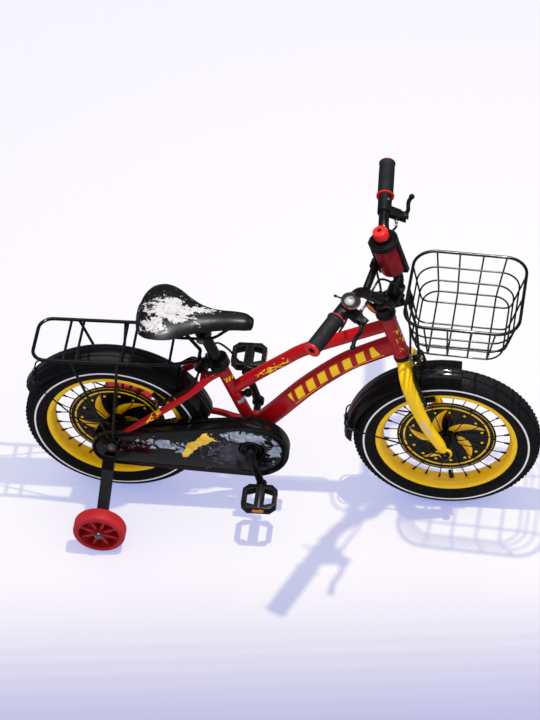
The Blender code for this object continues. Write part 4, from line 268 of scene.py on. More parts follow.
# The two sides, and the two wheels with the bodies that they ride.
SIDES = ((-1, "right"), (1, "left"))
WHEELS = (("front", FRONT_HUB, "front_wheel"), ("rear", REAR_HUB, "rear_wheel"))

# Stage.
LAMP_PLACE = Vector((0.70, -0.04, 2.4))
LAMP_COLOUR = (1.0, 0.985, 0.96)
FLOOR_REACH = 9.0
FLOOR_Z = -0.0002
FLOOR_FADE = (0.50, 0.50, 0.76)
CAMERA_PLACE = Vector((0.91270, -3.44258, 4.16039))
CAMERA_LENS = 117.8
CAMERA_SHIFT = (0.02598, -0.00818)


def linear(red, green, blue):
    """A colour given as it looks on screen, 0 to 255, as a linear colour."""
    return tuple((part / 255.0 / 12.92) if part <= 10 else ((part / 255.0 + 0.055) / 1.055) ** 2.4
                 for part in (red, green, blue))


def colour_setting(name, red, green, blue, description):
    """A colour property with its default."""
    return FloatVectorProperty(name=name, description=description, subtype="COLOR", size=3,
                               min=0.0, max=1.0, default=linear(red, green, blue))


class BikeColours(PropertyGroup):
    """The colours that a user would change."""

    frame_red: colour_setting("Frame", 164, 6, 18, "Gloss paint of the welded frame")
    yellow: colour_setting("Rims and fork", 255, 204, 6, "Gloss paint of the rims and the fork")
    mark: colour_setting("Marks", 255, 204, 14, "Printed marks on the frame, case and discs")
    black: colour_setting("Black parts", 9, 10, 12, "Painted and moulded black parts")
    rubber: colour_setting("Rubber", 18, 19, 22, "Tyres and grips")
    band: colour_setting("Tyre band", 236, 236, 240, "Band round each side of a tyre")
    plastic_red: colour_setting("Red plastic", 164, 18, 28, "Stabiliser wheels")
    trim_red: colour_setting("Red trim", 214, 30, 26, "Bottle cap and grip rings")
    bottle_red: colour_setting("Bottle", 158, 13, 32, "Metallic finish of the bottle")
    splash_grey: colour_setting("Splashes", 124, 138, 158, "Pale splashes on the chain case")
    splash_white: colour_setting("Saddle splashes", 190, 187, 190, "Pale splashes on the saddle")


class BikeSizes(PropertyGroup):
    """The counts and small sizes that a user would change."""

    spokes: IntProperty(name="Spokes", description="Spokes in each wheel", default=28,
                        min=12, max=36, step=2)
    tread_blocks: IntProperty(name="Tread blocks", description="Blocks round each tyre",
                              default=100, min=40, max=120)
    side_ribs: IntProperty(name="Shoulder ribs", description="Fine ribs round each tyre shoulder",
                           default=190, min=80, max=240)
    tread_depth: FloatProperty(name="Tread depth", description="Height of the tread blocks",
                               default=0.0012, min=0.0005, max=0.003, unit="LENGTH")
    spoke_radius: FloatProperty(name="Spoke radius", description="Half the spoke wire's thickness",
                                default=0.0011, min=0.0008, max=0.0016, unit="LENGTH")
    grip_ribs: IntProperty(name="Grip ribs", description="Fine rings along each grip", default=26,
                           min=8, max=40)


class BikeStage(PropertyGroup):
    """The floor and the lights."""

    lamp_power: FloatProperty(name="Lamp power", description="Power of the lamp above",
                              default=42.0, min=1.0, max=200.0, unit="POWER")
    lamp_size: FloatProperty(name="Lamp size", description="Width of the lamp above",
                             default=0.04, min=0.02, max=2.0, unit="LENGTH")
    surround: FloatProperty(name="Surround", description="Strength of the even light all round",
                            default=0.75, min=0.0, max=2.0)
    shadow_tint: BoolProperty(name="Cool shadows", description="Let the floor's shadows turn cool",
                              default=True)


def sizes():
    """The scene's size settings."""
    return bpy.context.scene.bike_sizes


def chosen(name):
    """One of the scene's colour settings, as a plain colour."""
    return tuple(getattr(bpy.context.scene.bike_colours, name))


def direction_matrix(origin, axis):
    """Local Z along axis, with the local origin at origin."""
    turn = Z_AXIS.rotation_difference(Vector(axis).normalized()).to_matrix().to_4x4()
    return Matrix.Translation(origin) @ turn


def axes_matrix(x_way, y_way, z_way):
    """A turn whose local axes point these three ways."""
    return Matrix((x_way, y_way, z_way)).transposed().to_4x4()


def steer_point(up, front=0.0, left=0.0):
    """A point by its distance up the steering axis, in front of it and to the left."""
    return STEER_ORIGIN + STEER_UP * up + STEER_FRONT * front + Y_AXIS * left


def seat_point(up, front=0.0):
    """A point by its distance up the seat tube's axis and in front of it."""
    return BB + SEAT_UP * up + SEAT_FRONT * front


def turn_about_steering(angle):
    """The matrix that turns a piece about the steering axis."""
    there = Matrix.Translation(STEER_ORIGIN)
    return there @ Matrix.Rotation(angle, 4, STEER_UP) @ there.inverted()


BAR_PLACE = turn_about_steering(BAR_TURN)
BASKET_PLACE = turn_about_steering(BASKET_TURN)


def mirrored(point, side):
    """The point on the left for side 1 and on the right for side -1."""
    return Vector((point[0], abs(point[1]) * side, point[2]))


def arc(centre, radius, start, end, steps):
    """Points on a circle from one angle to another, both ends included."""
    return [(centre[0] + radius * cos(start + (end - start) * i / steps),
             centre[1] + radius * sin(start + (end - start) * i / steps))
            for i in range(steps + 1)]


def circle(centre, radius, steps):
    """A closed circle of points."""
    return arc(centre, radius, 0.0, 2 * pi * (steps - 1) / steps, steps - 1)


def belt(rear, rear_radius, front, front_radius, rear_steps, front_steps):
    """The loop of a belt round two circles in the (x, z) plane."""
    span = Vector(front) - Vector(rear)
    lean = atan2(span.y, span.x)
    spread = acos((front_radius - rear_radius) / span.length)
    top = lean + pi - spread
    low = lean - pi + spread
    return (arc(front, front_radius, low, top, front_steps)
            + arc(rear, rear_radius, top, low + 2 * pi, rear_steps))


def bent(points, bend, steps=6):
    """Round the inner corners of a path with arcs that start `bend` from the corner."""
    path = [Vector(points[0])]
    for before, corner, after in zip(points, points[1:], points[2:]):
        before, corner, after = Vector(before), Vector(corner), Vector(after)
        reach = min(bend, (before - corner).length * 0.49, (after - corner).length * 0.49)
        first = corner + (before - corner).normalized() * reach
        last = corner + (after - corner).normalized() * reach
        for i in range(steps + 1):
            share = i / steps
            path.append(first * (1 - share) ** 2 + corner * 2 * share * (1 - share) + last * share ** 2)
    path.append(Vector(points[-1]))
    return path


def eased(points, spacing):
    """Points at an even spacing on a smooth curve through given points."""
    points = [Vector(point) for point in points]
    ends = [points[0] * 2 - points[1], *points, points[-1] * 2 - points[-2]]
    fine = []
    for a, b, c, d in zip(ends, ends[1:], ends[2:], ends[3:]):
        for i in range(16):
            t = i / 16
            fine.append(0.5 * (2 * b + (c - a) * t + (2 * a - 5 * b + 4 * c - d) * t ** 2
                               + (3 * b - a - 3 * c + d) * t ** 3))
    fine.append(points[-1])
    length = sum((b - a).length for a, b in zip(fine, fine[1:]))
    count = max(3, round(length / spacing))
    path = [fine[0]]
    travelled = 0.0
    for a, b in zip(fine, fine[1:]):
        step = (b - a).length
        while len(path) < count and travelled + step >= length * len(path) / count:
            share = (length * len(path) / count - travelled) / step
            path.append(a + (b - a) * share)
        travelled += step
    path.append(fine[-1])
    return path


def symmetric(half):
    """A section's outer half, listed from the middle out, made whole from side to side."""
    return [(radius, y) for radius, y in reversed(half) if y > 0] + [
        (radius, -y) for radius, y in half]


def smooth_profile(points, spacing):
    """A (radius, height) profile through given points, as a smooth curve."""
    path = eased([Vector((radius, height, 0.0)) for radius, height in points], spacing)
    return [(point.x, point.y) for point in path]


def ring_profile(bore, radius, low, high, edge):
    """A ring's (radius, height) profile with its outer edges cut at a slant."""
    return [(bore, low), (radius - edge, low), (radius, low + edge),
            (radius, high - edge), (radius - edge, high), (bore, high)]


def plain_ring(bore, radius, low, high):
    """A ring's (radius, height) profile with square edges."""
    return [(bore, low), (radius, low), (radius, high), (bore, high)]


def ball_profile(radius, height, step):
    """A ball's (radius, height) profile from pole to pole, with a point every few degrees."""
    middle = [(radius * cos(radians(angle)), height * sin(radians(angle)))
              for angle in range(-80, 90, step)]
    return [(0.0, -height), *middle, (0.0, height)]


def oval(half_width, half_height, half_steps):
    """A closed oval of points."""
    return [(half_width * cos(i * pi / half_steps), half_height * sin(i * pi / half_steps))
            for i in range(2 * half_steps)]


def new_tree(name, kinds):
    """A node tree with geometry in and out and further inputs, and its inputs' sockets."""
    tree = bpy.data.node_groups.new(name, "GeometryNodeTree")
    sockets = [("Geometry", "INPUT", "Geometry")]
    sockets += [(title, "INPUT", kind) for title, kind in kinds.items()]
    sockets.append(("Geometry", "OUTPUT", "Geometry"))
    for title, way, kind in sockets:
        tree.interface.new_socket(title, in_out=way, socket_type="NodeSocket" + kind)
    return tree, tree.nodes.new("NodeGroupInput").outputs


def repeat_tree():
    """A node tree that repeats its object's mesh round and along local Z."""
    tree = bpy.data.node_groups.get("repeat_round_axis")
    if tree:
        return tree
    tree, given = new_tree("repeat_round_axis", {
        "Count": "Int", "Step angle": "Float", "Step height": "Float", "Material": "Material"})
    link = tree.links.new
    points = tree.nodes.new("GeometryNodePoints")
    index = tree.nodes.new("GeometryNodeInputIndex").outputs[0]
    link(given["Count"], points.inputs["Count"])
    ways = []
    for name in ("Step angle", "Step height"):
        times = tree.nodes.new("ShaderNodeMath")
        times.operation = "MULTIPLY"
        link(index, times.inputs[0])
        link(given[name], times.inputs[1])
        join = tree.nodes.new("ShaderNodeCombineXYZ")
        link(times.outputs[0], join.inputs["Z"])
        ways.append(join.outputs[0])
    link(ways[1], points.inputs["Position"])
    turn = tree.nodes.new("FunctionNodeEulerToRotation")
    link(ways[0], turn.inputs[0])
    copies = tree.nodes.new("GeometryNodeInstanceOnPoints")
    link(points.outputs[0], copies.inputs["Points"])
    link(given["Geometry"], copies.inputs["Instance"])
    link(turn.outputs[0], copies.inputs["Rotation"])
    finish_tree(tree, copies.outputs[0], given["Material"])
    return tree


def path_tree():
    """A node tree that lays a template object along its object's closed path."""
    tree = bpy.data.node_groups.get("follow_path")
    if tree:
        return tree
    tree, given = new_tree("follow_path", {
        "Count": "Int", "Template": "Object", "Material": "Material"})
    link = tree.links.new
    curve = tree.nodes.new("GeometryNodeMeshToCurve")
    link(given["Geometry"], curve.inputs["Mesh"])
    even = tree.nodes.new("GeometryNodeResampleCurve")
    link(curve.outputs[0], even.inputs["Curve"])
    link(given["Count"], even.inputs["Count"])
    way = tree.nodes.new("GeometryNodeInputTangent")
    turn = tree.nodes.new("FunctionNodeAlignRotationToVector")
    turn.axis = "X"
    turn.pivot_axis = "Y"
    link(way.outputs[0], turn.inputs["Vector"])
    template = tree.nodes.new("GeometryNodeObjectInfo")
    link(given["Template"], template.inputs["Object"])
    copies = tree.nodes.new("GeometryNodeInstanceOnPoints")
    link(even.outputs[0], copies.inputs["Points"])
    link(template.outputs["Geometry"], copies.inputs["Instance"])
    link(turn.outputs[0], copies.inputs["Rotation"])
    finish_tree(tree, copies.outputs[0], given["Material"])
    return tree


def finish_tree(tree, instances, material):
    """End a tree by making its copies real and giving them their material."""
    real = tree.nodes.new("GeometryNodeRealizeInstances")
    tree.links.new(instances, real.inputs[0])
    coat = tree.nodes.new("GeometryNodeSetMaterial")
    tree.links.new(real.outputs[0], coat.inputs["Geometry"])
    tree.links.new(material, coat.inputs["Material"])
    tree.links.new(coat.outputs[0], tree.nodes.new("NodeGroupOutput").inputs[0])


def evaluated_mesh(obj, tree=None, values=None):
    """The plain mesh of an object with its modifiers, or with a node tree, applied."""
    if tree:
        modifier = obj.modifiers.new(tree.name, "NODES")
        modifier.node_group = tree
        for item in tree.interface.items_tree:
            if item.item_type == "SOCKET" and item.in_out == "INPUT" and item.name in values:
                modifier[item.identifier] = values[item.name]
    bpy.context.view_layer.update()
    graph = bpy.context.evaluated_depsgraph_get()
    return bpy.data.meshes.new_from_object(obj.evaluated_get(graph))


def temporary(data):
    """A linked object that lasts only while a mesh is worked out."""
    obj = bpy.data.objects.new("temporary", data)
    bpy.context.scene.collection.objects.link(obj)
    return obj


class Piece:
    """A mesh being built in the frame's metres, with a material for each of its faces."""

    def __init__(self, name, material):
        """Start an empty piece whose next faces have this material."""
        self.name = name
        self.mesh = bmesh.new()
        self.materials = [finish(material)]
        self.slot = 0

    def use(self, material):
        """Give the faces that come next another material."""
        if finish(material) not in self.materials:
            self.materials.append(finish(material))
        self.slot = self.materials.index(finish(material))

    def face(self, corners):
        """One face from corners that may repeat at a tip."""
        kept = []
        for corner in corners:
            if corner not in kept:
                kept.append(corner)
        if len(kept) > 2:
            made = self.mesh.faces.new(kept)
            made.material_index = self.slot
            made.smooth = True

    def skin(self, rows, wrap=True, closed=False):
        """Faces between rows of points, in which a row of one point is a tip."""
        made = [[self.mesh.verts.new(point) for point in row] for row in rows]
        pairs = list(zip(made, made[1:]))
        if closed:
            pairs.append((made[-1], made[0]))
        for near, far in pairs:
            count = max(len(near), len(far))
            for i in range(count if wrap else count - 1):
                j = (i + 1) % count
                self.face((near[i % len(near)], near[j % len(near)],
                           far[j % len(far)], far[i % len(far)]))
        return made

    def lathe(self, profile, place, steps=48, closed=False, start=0.0, span=2 * pi):
        """A profile of (radius, height) turned about the place's Z."""
        whole = abs(span - 2 * pi) < 0.0001
        count = steps if whole else steps + 1
        rows = []
        for radius, height in profile:
            if radius < 0.000001:
                rows.append([place @ Vector((0.0, 0.0, height))])
                continue
            rows.append([place @ Vector((radius * cos(start + span * i / steps),
                                         radius * sin(start + span * i / steps), height))
                         for i in range(count)])
        made = self.skin(rows, wrap=whole, closed=closed)
        if not whole:
            self.face([row[0] for row in made])
            self.face([row[-1] for row in made])

    def rod(self, start, end, radius, steps=28, end_radius=None, edge=0.0005):
        """A round bar or cone between two points, with softened edges."""
        start, end = Vector(start), Vector(end)
        far = radius if end_radius is None else end_radius
        length = (end - start).length
        edge = min(edge, radius * 0.4, far * 0.4, length * 0.3)
        self.lathe([(0.0, 0.0), (radius - edge, 0.0), (radius - edge * 0.3, edge * 0.3), (radius, edge),
                    (far, length - edge), (far - edge * 0.3, length - edge * 0.3),
                    (far - edge, length), (0.0, length)],
                   direction_matrix(start, end - start), steps)

    def tube(self, path, radius, sides=14, scales=None, cyclic=False, section=None, side=None,
             round_ends=False):
        """A bar of one section along a path, turned as little as possible on the way."""
        path = [Vector(point) for point in path]
        section = section or circle((0.0, 0.0), radius, sides)
        scales = scales or [1.0] * len(path)
        count = len(path)
        ways = []
        for i in range(count):
            before = path[i - 1] if cyclic or i else path[0]
            after = path[(i + 1) % count] if cyclic or i < count - 1 else path[-1]
            ways.append((after - before).normalized())
        across = Vector(side) if side else ways[0].orthogonal().normalized()
        rows = []
        for i, (point, way, scale) in enumerate(zip(path, ways, scales)):
            if i and not side:
                across = ways[i - 1].rotation_difference(way) @ across
            across = (across - way * across.dot(way)).normalized()
            up = way.cross(across)
            rows.append((point, [point + across * x * scale + up * y * scale for x, y in section]))
        lines = [points for _, points in rows]
        if round_ends and not cyclic:
            for at_end in (False, True):
                centre, points = rows[-1] if at_end else rows[0]
                way = ways[-1] if at_end else -ways[0]
                reach = radius * (scales[-1] if at_end else scales[0])
                for turn in (30.0, 60.0, 90.0):
                    tip = centre + way * reach * sin(radians(turn))
                    inset = cos(radians(turn))
                    row = [tip] if turn > 89.0 else [tip + (point - centre) * inset for point in points]
                    lines.insert(len(lines) if at_end else 0, row)
        made = self.skin(lines, closed=cyclic)
        if not cyclic and not round_ends:
            self.face(made[0])
            self.face(made[-1])

    def add(self, other_mesh, place=None):
        """Join a finished mesh, or a bmesh, into this piece."""
        mesh = other_mesh
        if isinstance(other_mesh, bmesh.types.BMesh):
            mesh = bpy.data.meshes.new("part")
            other_mesh.to_mesh(mesh)
            other_mesh.free()
        if place:
            mesh.transform(place)
        known = len(self.mesh.faces)
        self.mesh.from_mesh(mesh)
        self.mesh.faces.ensure_lookup_table()
        for face in self.mesh.faces[known:]:
            face.material_index = self.slot
            face.smooth = True
        bpy.data.meshes.remove(mesh)

    def block(self, centre, size, turn=None, edge=0.0008, steps=2):
        """A box of a size about a centre with rounded edges."""
        shape = bmesh.new()
        bmesh.ops.create_cube(shape, size=1.0, matrix=Matrix.Diagonal((*size, 1.0)))
        bmesh.ops.bevel(shape, geom=shape.edges[:], offset=min(edge, min(size) * 0.45),
                        segments=steps, affect="EDGES", profile=0.6)
        self.add(shape, Matrix.Translation(centre) @ (turn or Matrix.Identity(4)))

    def plate(self, outline, thickness, place, holes=(), edge=0.0004):
        """A flat outline with holes and rounded edges, thick both ways along the place's Z."""
        curve = bpy.data.curves.new("plate", "CURVE")
        curve.dimensions = "2D"
        curve.fill_mode = "BOTH"
        curve.extrude = thickness / 2 - edge
        curve.bevel_depth = edge
        curve.bevel_resolution = 1
        curve.offset = -edge
        for loop in (outline, *holes):
            spline = curve.splines.new("POLY")
            spline.points.add(len(loop) - 1)
            for target, point in zip(spline.points, loop):
                target.co = (point[0], point[1], 0.0, 1.0)
            spline.use_cyclic_u = True
        obj = temporary(curve)
        mesh = evaluated_mesh(obj)
        bpy.data.objects.remove(obj)
        shape = bmesh.new()
        shape.from_mesh(mesh)
        bpy.data.meshes.remove(mesh)
        bmesh.ops.remove_doubles(shape, verts=shape.verts, dist=0.00002)
        self.add(shape, place)

    def bolt(self, point, axis, radius, height, sides=6):
        """A bolt head standing on a point, six-sided or round, with a hollow in its top."""
        shares = ((0.0, 0.0), (1.12, 0.0), (1.12, 0.16), (1.0, 0.2), (1.0, 0.86), (0.9, 1.0),
                  (0.52, 1.0), (0.46, 0.45), (0.0, 0.4))
        self.lathe([(radius * across, height * up) for across, up in shares],
                   direction_matrix(point, axis), sides)

    def repeat(self, template, place, count, angle=0.0, height=0.0):
        """Copies of another piece's mesh round and along the place's Z, made by a node tree."""
        mesh = bpy.data.meshes.new("template")
        template.mesh.normal_update()
        bmesh.ops.recalc_face_normals(template.mesh, faces=template.mesh.faces)
        template.mesh.to_mesh(mesh)
        template.mesh.free()
        obj = temporary(mesh)
        made = evaluated_mesh(obj, repeat_tree(), {
            "Count": count, "Step angle": angle, "Step height": height,
            "Material": self.materials[self.slot]})
        bpy.data.objects.remove(obj)
        self.add(made, place)

    def follow(self, template, path, count):
        """Copies of another piece's mesh along a closed path, made by a node tree."""
        mesh = bpy.data.meshes.new("template")
        bmesh.ops.recalc_face_normals(template.mesh, faces=template.mesh.faces)
        template.mesh.to_mesh(mesh)
        template.mesh.free()
        pattern = temporary(mesh)
        line = bpy.data.meshes.new("path")
        line.from_pydata(path, [(i, (i + 1) % len(path)) for i in range(len(path))], [])
        obj = temporary(line)
        made = evaluated_mesh(obj, path_tree(), {
            "Count": count, "Template": pattern, "Material": self.materials[self.slot]})
        bpy.data.objects.remove(obj)
        bpy.data.objects.remove(pattern)
        self.add(made)

    def done(self, body, nodes=(), angle=38.0, place=None, fix_normals=True):
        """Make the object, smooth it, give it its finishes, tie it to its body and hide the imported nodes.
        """
        if place:
            bmesh.ops.transform(self.mesh, matrix=place, verts=self.mesh.verts)
        if fix_normals:
            bmesh.ops.recalc_face_normals(self.mesh, faces=self.mesh.faces)
        mesh = bpy.data.meshes.new(self.name)
        self.mesh.to_mesh(mesh)
        self.mesh.free()
        for material in self.materials:
            mesh.materials.append(material)
        mesh.set_sharp_from_angle(angle=radians(angle))
        obj = bpy.data.objects.new(self.name, mesh)
        bpy.context.scene.collection.objects.link(obj)
        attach(obj, body)
        if nodes:
            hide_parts(*nodes)
        return obj


class Nodes:
    """A material's node tree with short calls for the patterns used here."""

    def __init__(self, name, roughness=0.4, **constants):
        """A new material whose Principled shader has these constants."""
        self.material = bpy.data.materials.new(name)
        self.material.use_nodes = True
        self.tree = self.material.node_tree
        self.shader = self.tree.nodes["Principled BSDF"]
        self.shader.inputs["Roughness"].default_value = roughness
        for key, value in constants.items():
            self.shader.inputs[key.replace("_", " ")].default_value = value
        self.place = self.tree.nodes.new("ShaderNodeTexCoord").outputs["Object"]
        self.height = None

    def put(self, socket, value):
        """Link a socket's value, or set a plain one."""
        if isinstance(value, bpy.types.NodeSocket):
            self.tree.links.new(value, socket)
        elif value is not None:
            if isinstance(value, tuple) and len(value) == 3 and socket.type == "RGBA":
                value = (*value, 1.0)
            socket.default_value = value

    def math(self, operation, a, b=None):
        """The result of one sum, comparison or function."""
        node = self.tree.nodes.new("ShaderNodeMath")
        node.operation = operation
        for socket, value in zip(node.inputs, (a, b)):
            self.put(socket, value)
        return node.outputs[0]

    def parts(self, vector):
        """The three parts of a vector."""
        node = self.tree.nodes.new("ShaderNodeSeparateXYZ")
        self.put(node.inputs[0], vector)
        return node.outputs[0], node.outputs[1], node.outputs[2]

    def mapped(self, origin=(0.0, 0.0, 0.0), turn=(0.0, 0.0, 0.0), size=(1.0, 1.0, 1.0)):
        """Object coordinates seen from another origin and way, then stretched."""
        node = self.tree.nodes.new("ShaderNodeMapping")
        node.vector_type = "TEXTURE"
        self.put(node.inputs["Vector"], self.place)
        self.put(node.inputs["Location"], tuple(origin))
        self.put(node.inputs["Rotation"], turn)
        self.put(node.inputs["Scale"], size)
        return node.outputs[0]

    def noise(self, scale, detail=3.0, vector=None, distortion=0.0, roughness=0.55):
        """Cloudy noise from 0 to 1 at a scale in patches for each metre."""
        node = self.tree.nodes.new("ShaderNodeTexNoise")
        self.put(node.inputs["Vector"], vector or self.place)
        self.put(node.inputs["Scale"], scale)
        self.put(node.inputs["Detail"], detail)
        self.put(node.inputs["Distortion"], distortion)
        self.put(node.inputs["Roughness"], roughness)
        return node.outputs["Fac"]

    def cells(self, scale, feature="F1"):
        """Distance to the nearest of scattered points."""
        node = self.tree.nodes.new("ShaderNodeTexVoronoi")
        node.feature = feature
        self.put(node.inputs["Vector"], self.place)
        self.put(node.inputs["Scale"], scale)
        return node.outputs["Distance"]

    def ramp(self, value, low, high, start=0.0, end=1.0):
        """A value mapped from between two limits to between two others, and held there."""
        node = self.tree.nodes.new("ShaderNodeMapRange")
        for socket, number in zip(node.inputs, (value, low, high, start, end)):
            self.put(socket, number)
        return node.outputs[0]

    def mix(self, share, first, second):
        """Two colours mixed by a share."""
        node = self.tree.nodes.new("ShaderNodeMix")
        node.data_type = "RGBA"
        for socket, value in ((node.inputs[0], share), (node.inputs[6], first), (node.inputs[7], second)):
            self.put(socket, value)
        return node.outputs[2]

    def both(self, *masks):
        """Masks multiplied together."""
        result = masks[0]
        for mask in masks[1:]:
            result = self.math("MULTIPLY", result, mask)
        return result

    def either(self, *masks):
        """The strongest of some masks."""
        result = masks[0]
        for mask in masks[1:]:
            result = self.math("MAXIMUM", result, mask)
        return result

    def between(self, value, low, high, soft=0.0003):
        """A mask that is 1 between two limits, with soft edges."""
        return self.both(self.ramp(value, low - soft, low + soft),
                         self.ramp(value, high - soft, high + soft, 1.0, 0.0))

    def polar(self, centre):
        """Radius and angle about a wheel's axle through a centre."""
        x, _, z = self.parts(self.mapped(origin=centre))
        radius = self.math("SQRT", self.math("ADD", self.math("MULTIPLY", x, x),
                                             self.math("MULTIPLY", z, z)))
        return radius, self.math("ARCTAN2", z, x)

    def colour(self, value):
        """Set or link the base colour."""
        self.put(self.shader.inputs["Base Color"], value)

    def rough(self, value):
        """Set or link the roughness."""
        self.put(self.shader.inputs["Roughness"], value)

    def bump(self, height, strength=0.2, distance=0.0005):
        """A relief over the reliefs set before it."""
        node = self.tree.nodes.new("ShaderNodeBump")
        self.put(node.inputs["Strength"], strength)
        self.put(node.inputs["Distance"], distance)
        self.put(node.inputs["Height"], height)
        if self.height:
            self.put(node.inputs["Normal"], self.height)
        self.height = node.outputs[0]
        self.put(self.shader.inputs["Normal"], self.height)

    def clouded(self, colour, scale, dark, light, detail=4.0, low=0.3, high=0.7):
        """A colour that drifts in soft clouds between a darker and a lighter shade."""
        cloud = self.ramp(self.noise(scale, detail), low, high)
        return self.mix(cloud, shaded(colour, dark), shaded(colour, light))

    def worn(self, scale, least, most, detail=4.0, low=0.3, high=0.7):
        """Set a roughness that drifts in patches between two limits."""
        self.rough(self.ramp(self.noise(scale, detail), low, high, least, most))

    def grained(self, scale, strength, distance=0.0002, detail=2.0):
        """A relief of fine noise."""
        self.bump(self.noise(scale, detail), strength, distance)


def shaded(colour, factor):
    """A colour made lighter or darker."""
    return tuple(max(0.0, min(1.0, part * factor)) for part in colour)


def painted(name, colour, roughness=0.22, coat=0.5, marks=None):
    """Gloss paint: faint clouding, orange peel, fine dust and optional printed marks."""
    look = Nodes(name, roughness, Coat_Weight=coat, Coat_Roughness=0.05, Specular_IOR_Level=0.4)
    paint = look.clouded(colour, 11.0, 0.96, 1.04, low=0.32, high=0.68)
    dust = look.ramp(look.noise(420.0, 2.0), 0.70, 0.82, 0.0, 0.06)
    paint = look.mix(dust, paint, shaded(colour, 1.5))
    if marks:
        for mask, mark in marks(look):
            paint = look.mix(mask, paint, mark)
    look.colour(paint)
    look.worn(48.0, roughness * 0.8, roughness * 1.25, 5.0, 0.35)
    look.grained(850.0, 0.03)
    return look.material


def strip_marks(look, origin, lean, length, width, pitch, share, slant=0.5, bow=0.0, rise=0.0):
    """A mask of slanted bars in the upright plane round a point on a tube."""
    u, _, v = look.parts(look.mapped(origin=origin, turn=(0.0, -lean, 0.0)))
    v = look.math("ADD", look.math("SUBTRACT", v, rise),
                  look.math("MULTIPLY", look.math("MULTIPLY", u, u), bow))
    phase = look.math("DIVIDE", look.math("SUBTRACT", u, look.math("MULTIPLY", v, slant)), pitch)
    turn = look.math("FRACT", look.math("ADD", phase, 20.0))
    duty = look.ramp(u, -length / 2, length / 2, share, share * 0.86)
    bars = look.ramp(look.math("SUBTRACT", duty, turn), -0.03, 0.03)
    return look.both(bars, look.ramp(turn, 0.0, 0.05), look.between(u, -length / 2, length / 2),
                     look.between(v, -width / 2, width / 2))


def brush_marks(look, origin, lean, length, width, scale, low=0.50, high=0.565):
    """A mask of thin loose brush strokes along a tube."""
    u, y, v = look.parts(look.mapped(origin=origin, turn=(0.0, -lean, 0.0)))
    join = look.tree.nodes.new("ShaderNodeCombineXYZ")
    look.put(join.inputs[0], look.math("MULTIPLY", u, 0.45))
    look.put(join.inputs[1], look.math("SIGN", y))
    look.put(join.inputs[2], v)
    field = look.noise(scale, 2.0, join.outputs[0], distortion=0.8)
    return look.both(look.between(field, low, high, 0.006), look.between(u, -length / 2, length / 2, 0.002),
                     look.between(v, -width / 2, width / 2, 0.001))


def frame_marks(look):
    """Bars on the down tube and loose strokes on the other tubes."""
    mark = chosen("mark")
    pale = linear(150, 156, 172)
    down = strip_marks(look, (0.4930, 0.0, 0.4068), radians(41.0), 0.252, 0.0262, 0.0364, 0.68,
                       slant=0.5, bow=0.62, rise=0.0050)
    line = strip_marks(look, (0.4930, 0.0, 0.4068), radians(41.0), 0.262, 0.0016, 1.0, 1.0,
                       slant=0.0, bow=0.62, rise=-0.0122)
    top = brush_marks(look, (0.3645, 0.0, 0.4148), radians(42.0), 0.094, 0.017, 95.0)
    head = brush_marks(look, (0.6440, 0.0, 0.5250), radians(105.0), 0.062, 0.020, 90.0)
    stay = brush_marks(look, (0.1090, 0.0, 0.3080), radians(56.0), 0.150, 0.012, 80.0, 0.47, 0.58)
    seat = strip_marks(look, (0.2650, 0.0, 0.3735), radians(17.0), 0.018, 0.012, 0.0062, 0.62, slant=0.3)
    u, _, v = look.parts(look.mapped(origin=(0.2880, 0.0, 0.3030), turn=(0.0, -radians(17.0), 0.0)))
    plate = look.both(look.between(u, -0.0070, 0.0070), look.between(v, -0.0050, 0.0050))
    return ((look.either(down, line, top, head, stay, seat), mark), (plate, pale))


def fork_marks(look):
    """A faint silver flash down each fork leg."""
    flash = strip_marks(look, (0.7000, 0.0, 0.3030), radians(-67.0), 0.056, 0.0105, 0.0085, 0.55,
                        slant=-0.4)
    _, y, _ = look.parts(look.place)
    side = look.ramp(look.math("ABSOLUTE", y), 0.054, 0.056)
    return ((look.both(flash, side), linear(196, 196, 200)),)


def rim_paint(name):
    """The rims' yellow, with painted shade: a deeper orange on the face that looks inwards."""
    yellow = chosen("yellow")
    look = Nodes(name, 0.25, Coat_Weight=0.4, Coat_Roughness=0.08)
    painted_shade_orange = (yellow[0] * 0.98, yellow[1] * 0.84, yellow[2] * 0.5)
    _, y, _ = look.parts(look.place)
    # Painted shade: the inward face and inner walls, which lie in shade, are painted a deeper orange.
    inner = look.ramp(look.math("ABSOLUTE", y), 0.0150, 0.0190, 0.75, 0.0)
    look.colour(look.mix(inner, look.clouded(yellow, 16.0, 0.98, 1.02), painted_shade_orange))
    look.worn(60.0, 0.2, 0.32, low=0.35)
    look.grained(700.0, 0.03)
    return look.material


def moulded(name, colour, roughness=0.42, grain=0.22, scale=1500.0, coat=0.0):
    """Moulded plastic: fine even grain, soft clouding and slight rubbing."""
    look = Nodes(name, roughness, Coat_Weight=coat, Coat_Roughness=0.08, Specular_IOR_Level=0.38)
    rub = look.ramp(look.noise(240.0, 4.0), 0.66, 0.82, 0.0, 0.12)
    look.colour(look.mix(rub, look.clouded(colour, 22.0, 0.88, 1.12), shaded(colour, 2.2)))
    look.worn(70.0, roughness * 0.82, roughness * 1.25)
    look.grained(scale, grain)
    return look.material


def metal(name, colour, roughness, dark=0.75):
    """Metal with fine drawn streaks and a slight dulling in patches."""
    look = Nodes(name, roughness, Metallic=1.0)
    cloud = look.ramp(look.noise(60.0, 5.0), 0.35, 0.7)
    look.colour(look.mix(cloud, shaded(colour, dark), colour))
    look.worn(130.0, roughness * 0.7, roughness * 1.6, high=0.75)
    look.bump(look.noise(900.0, 2.0, look.mapped(size=(1.0, 6.0, 1.0))), 0.06, 0.0002)
    return look.material


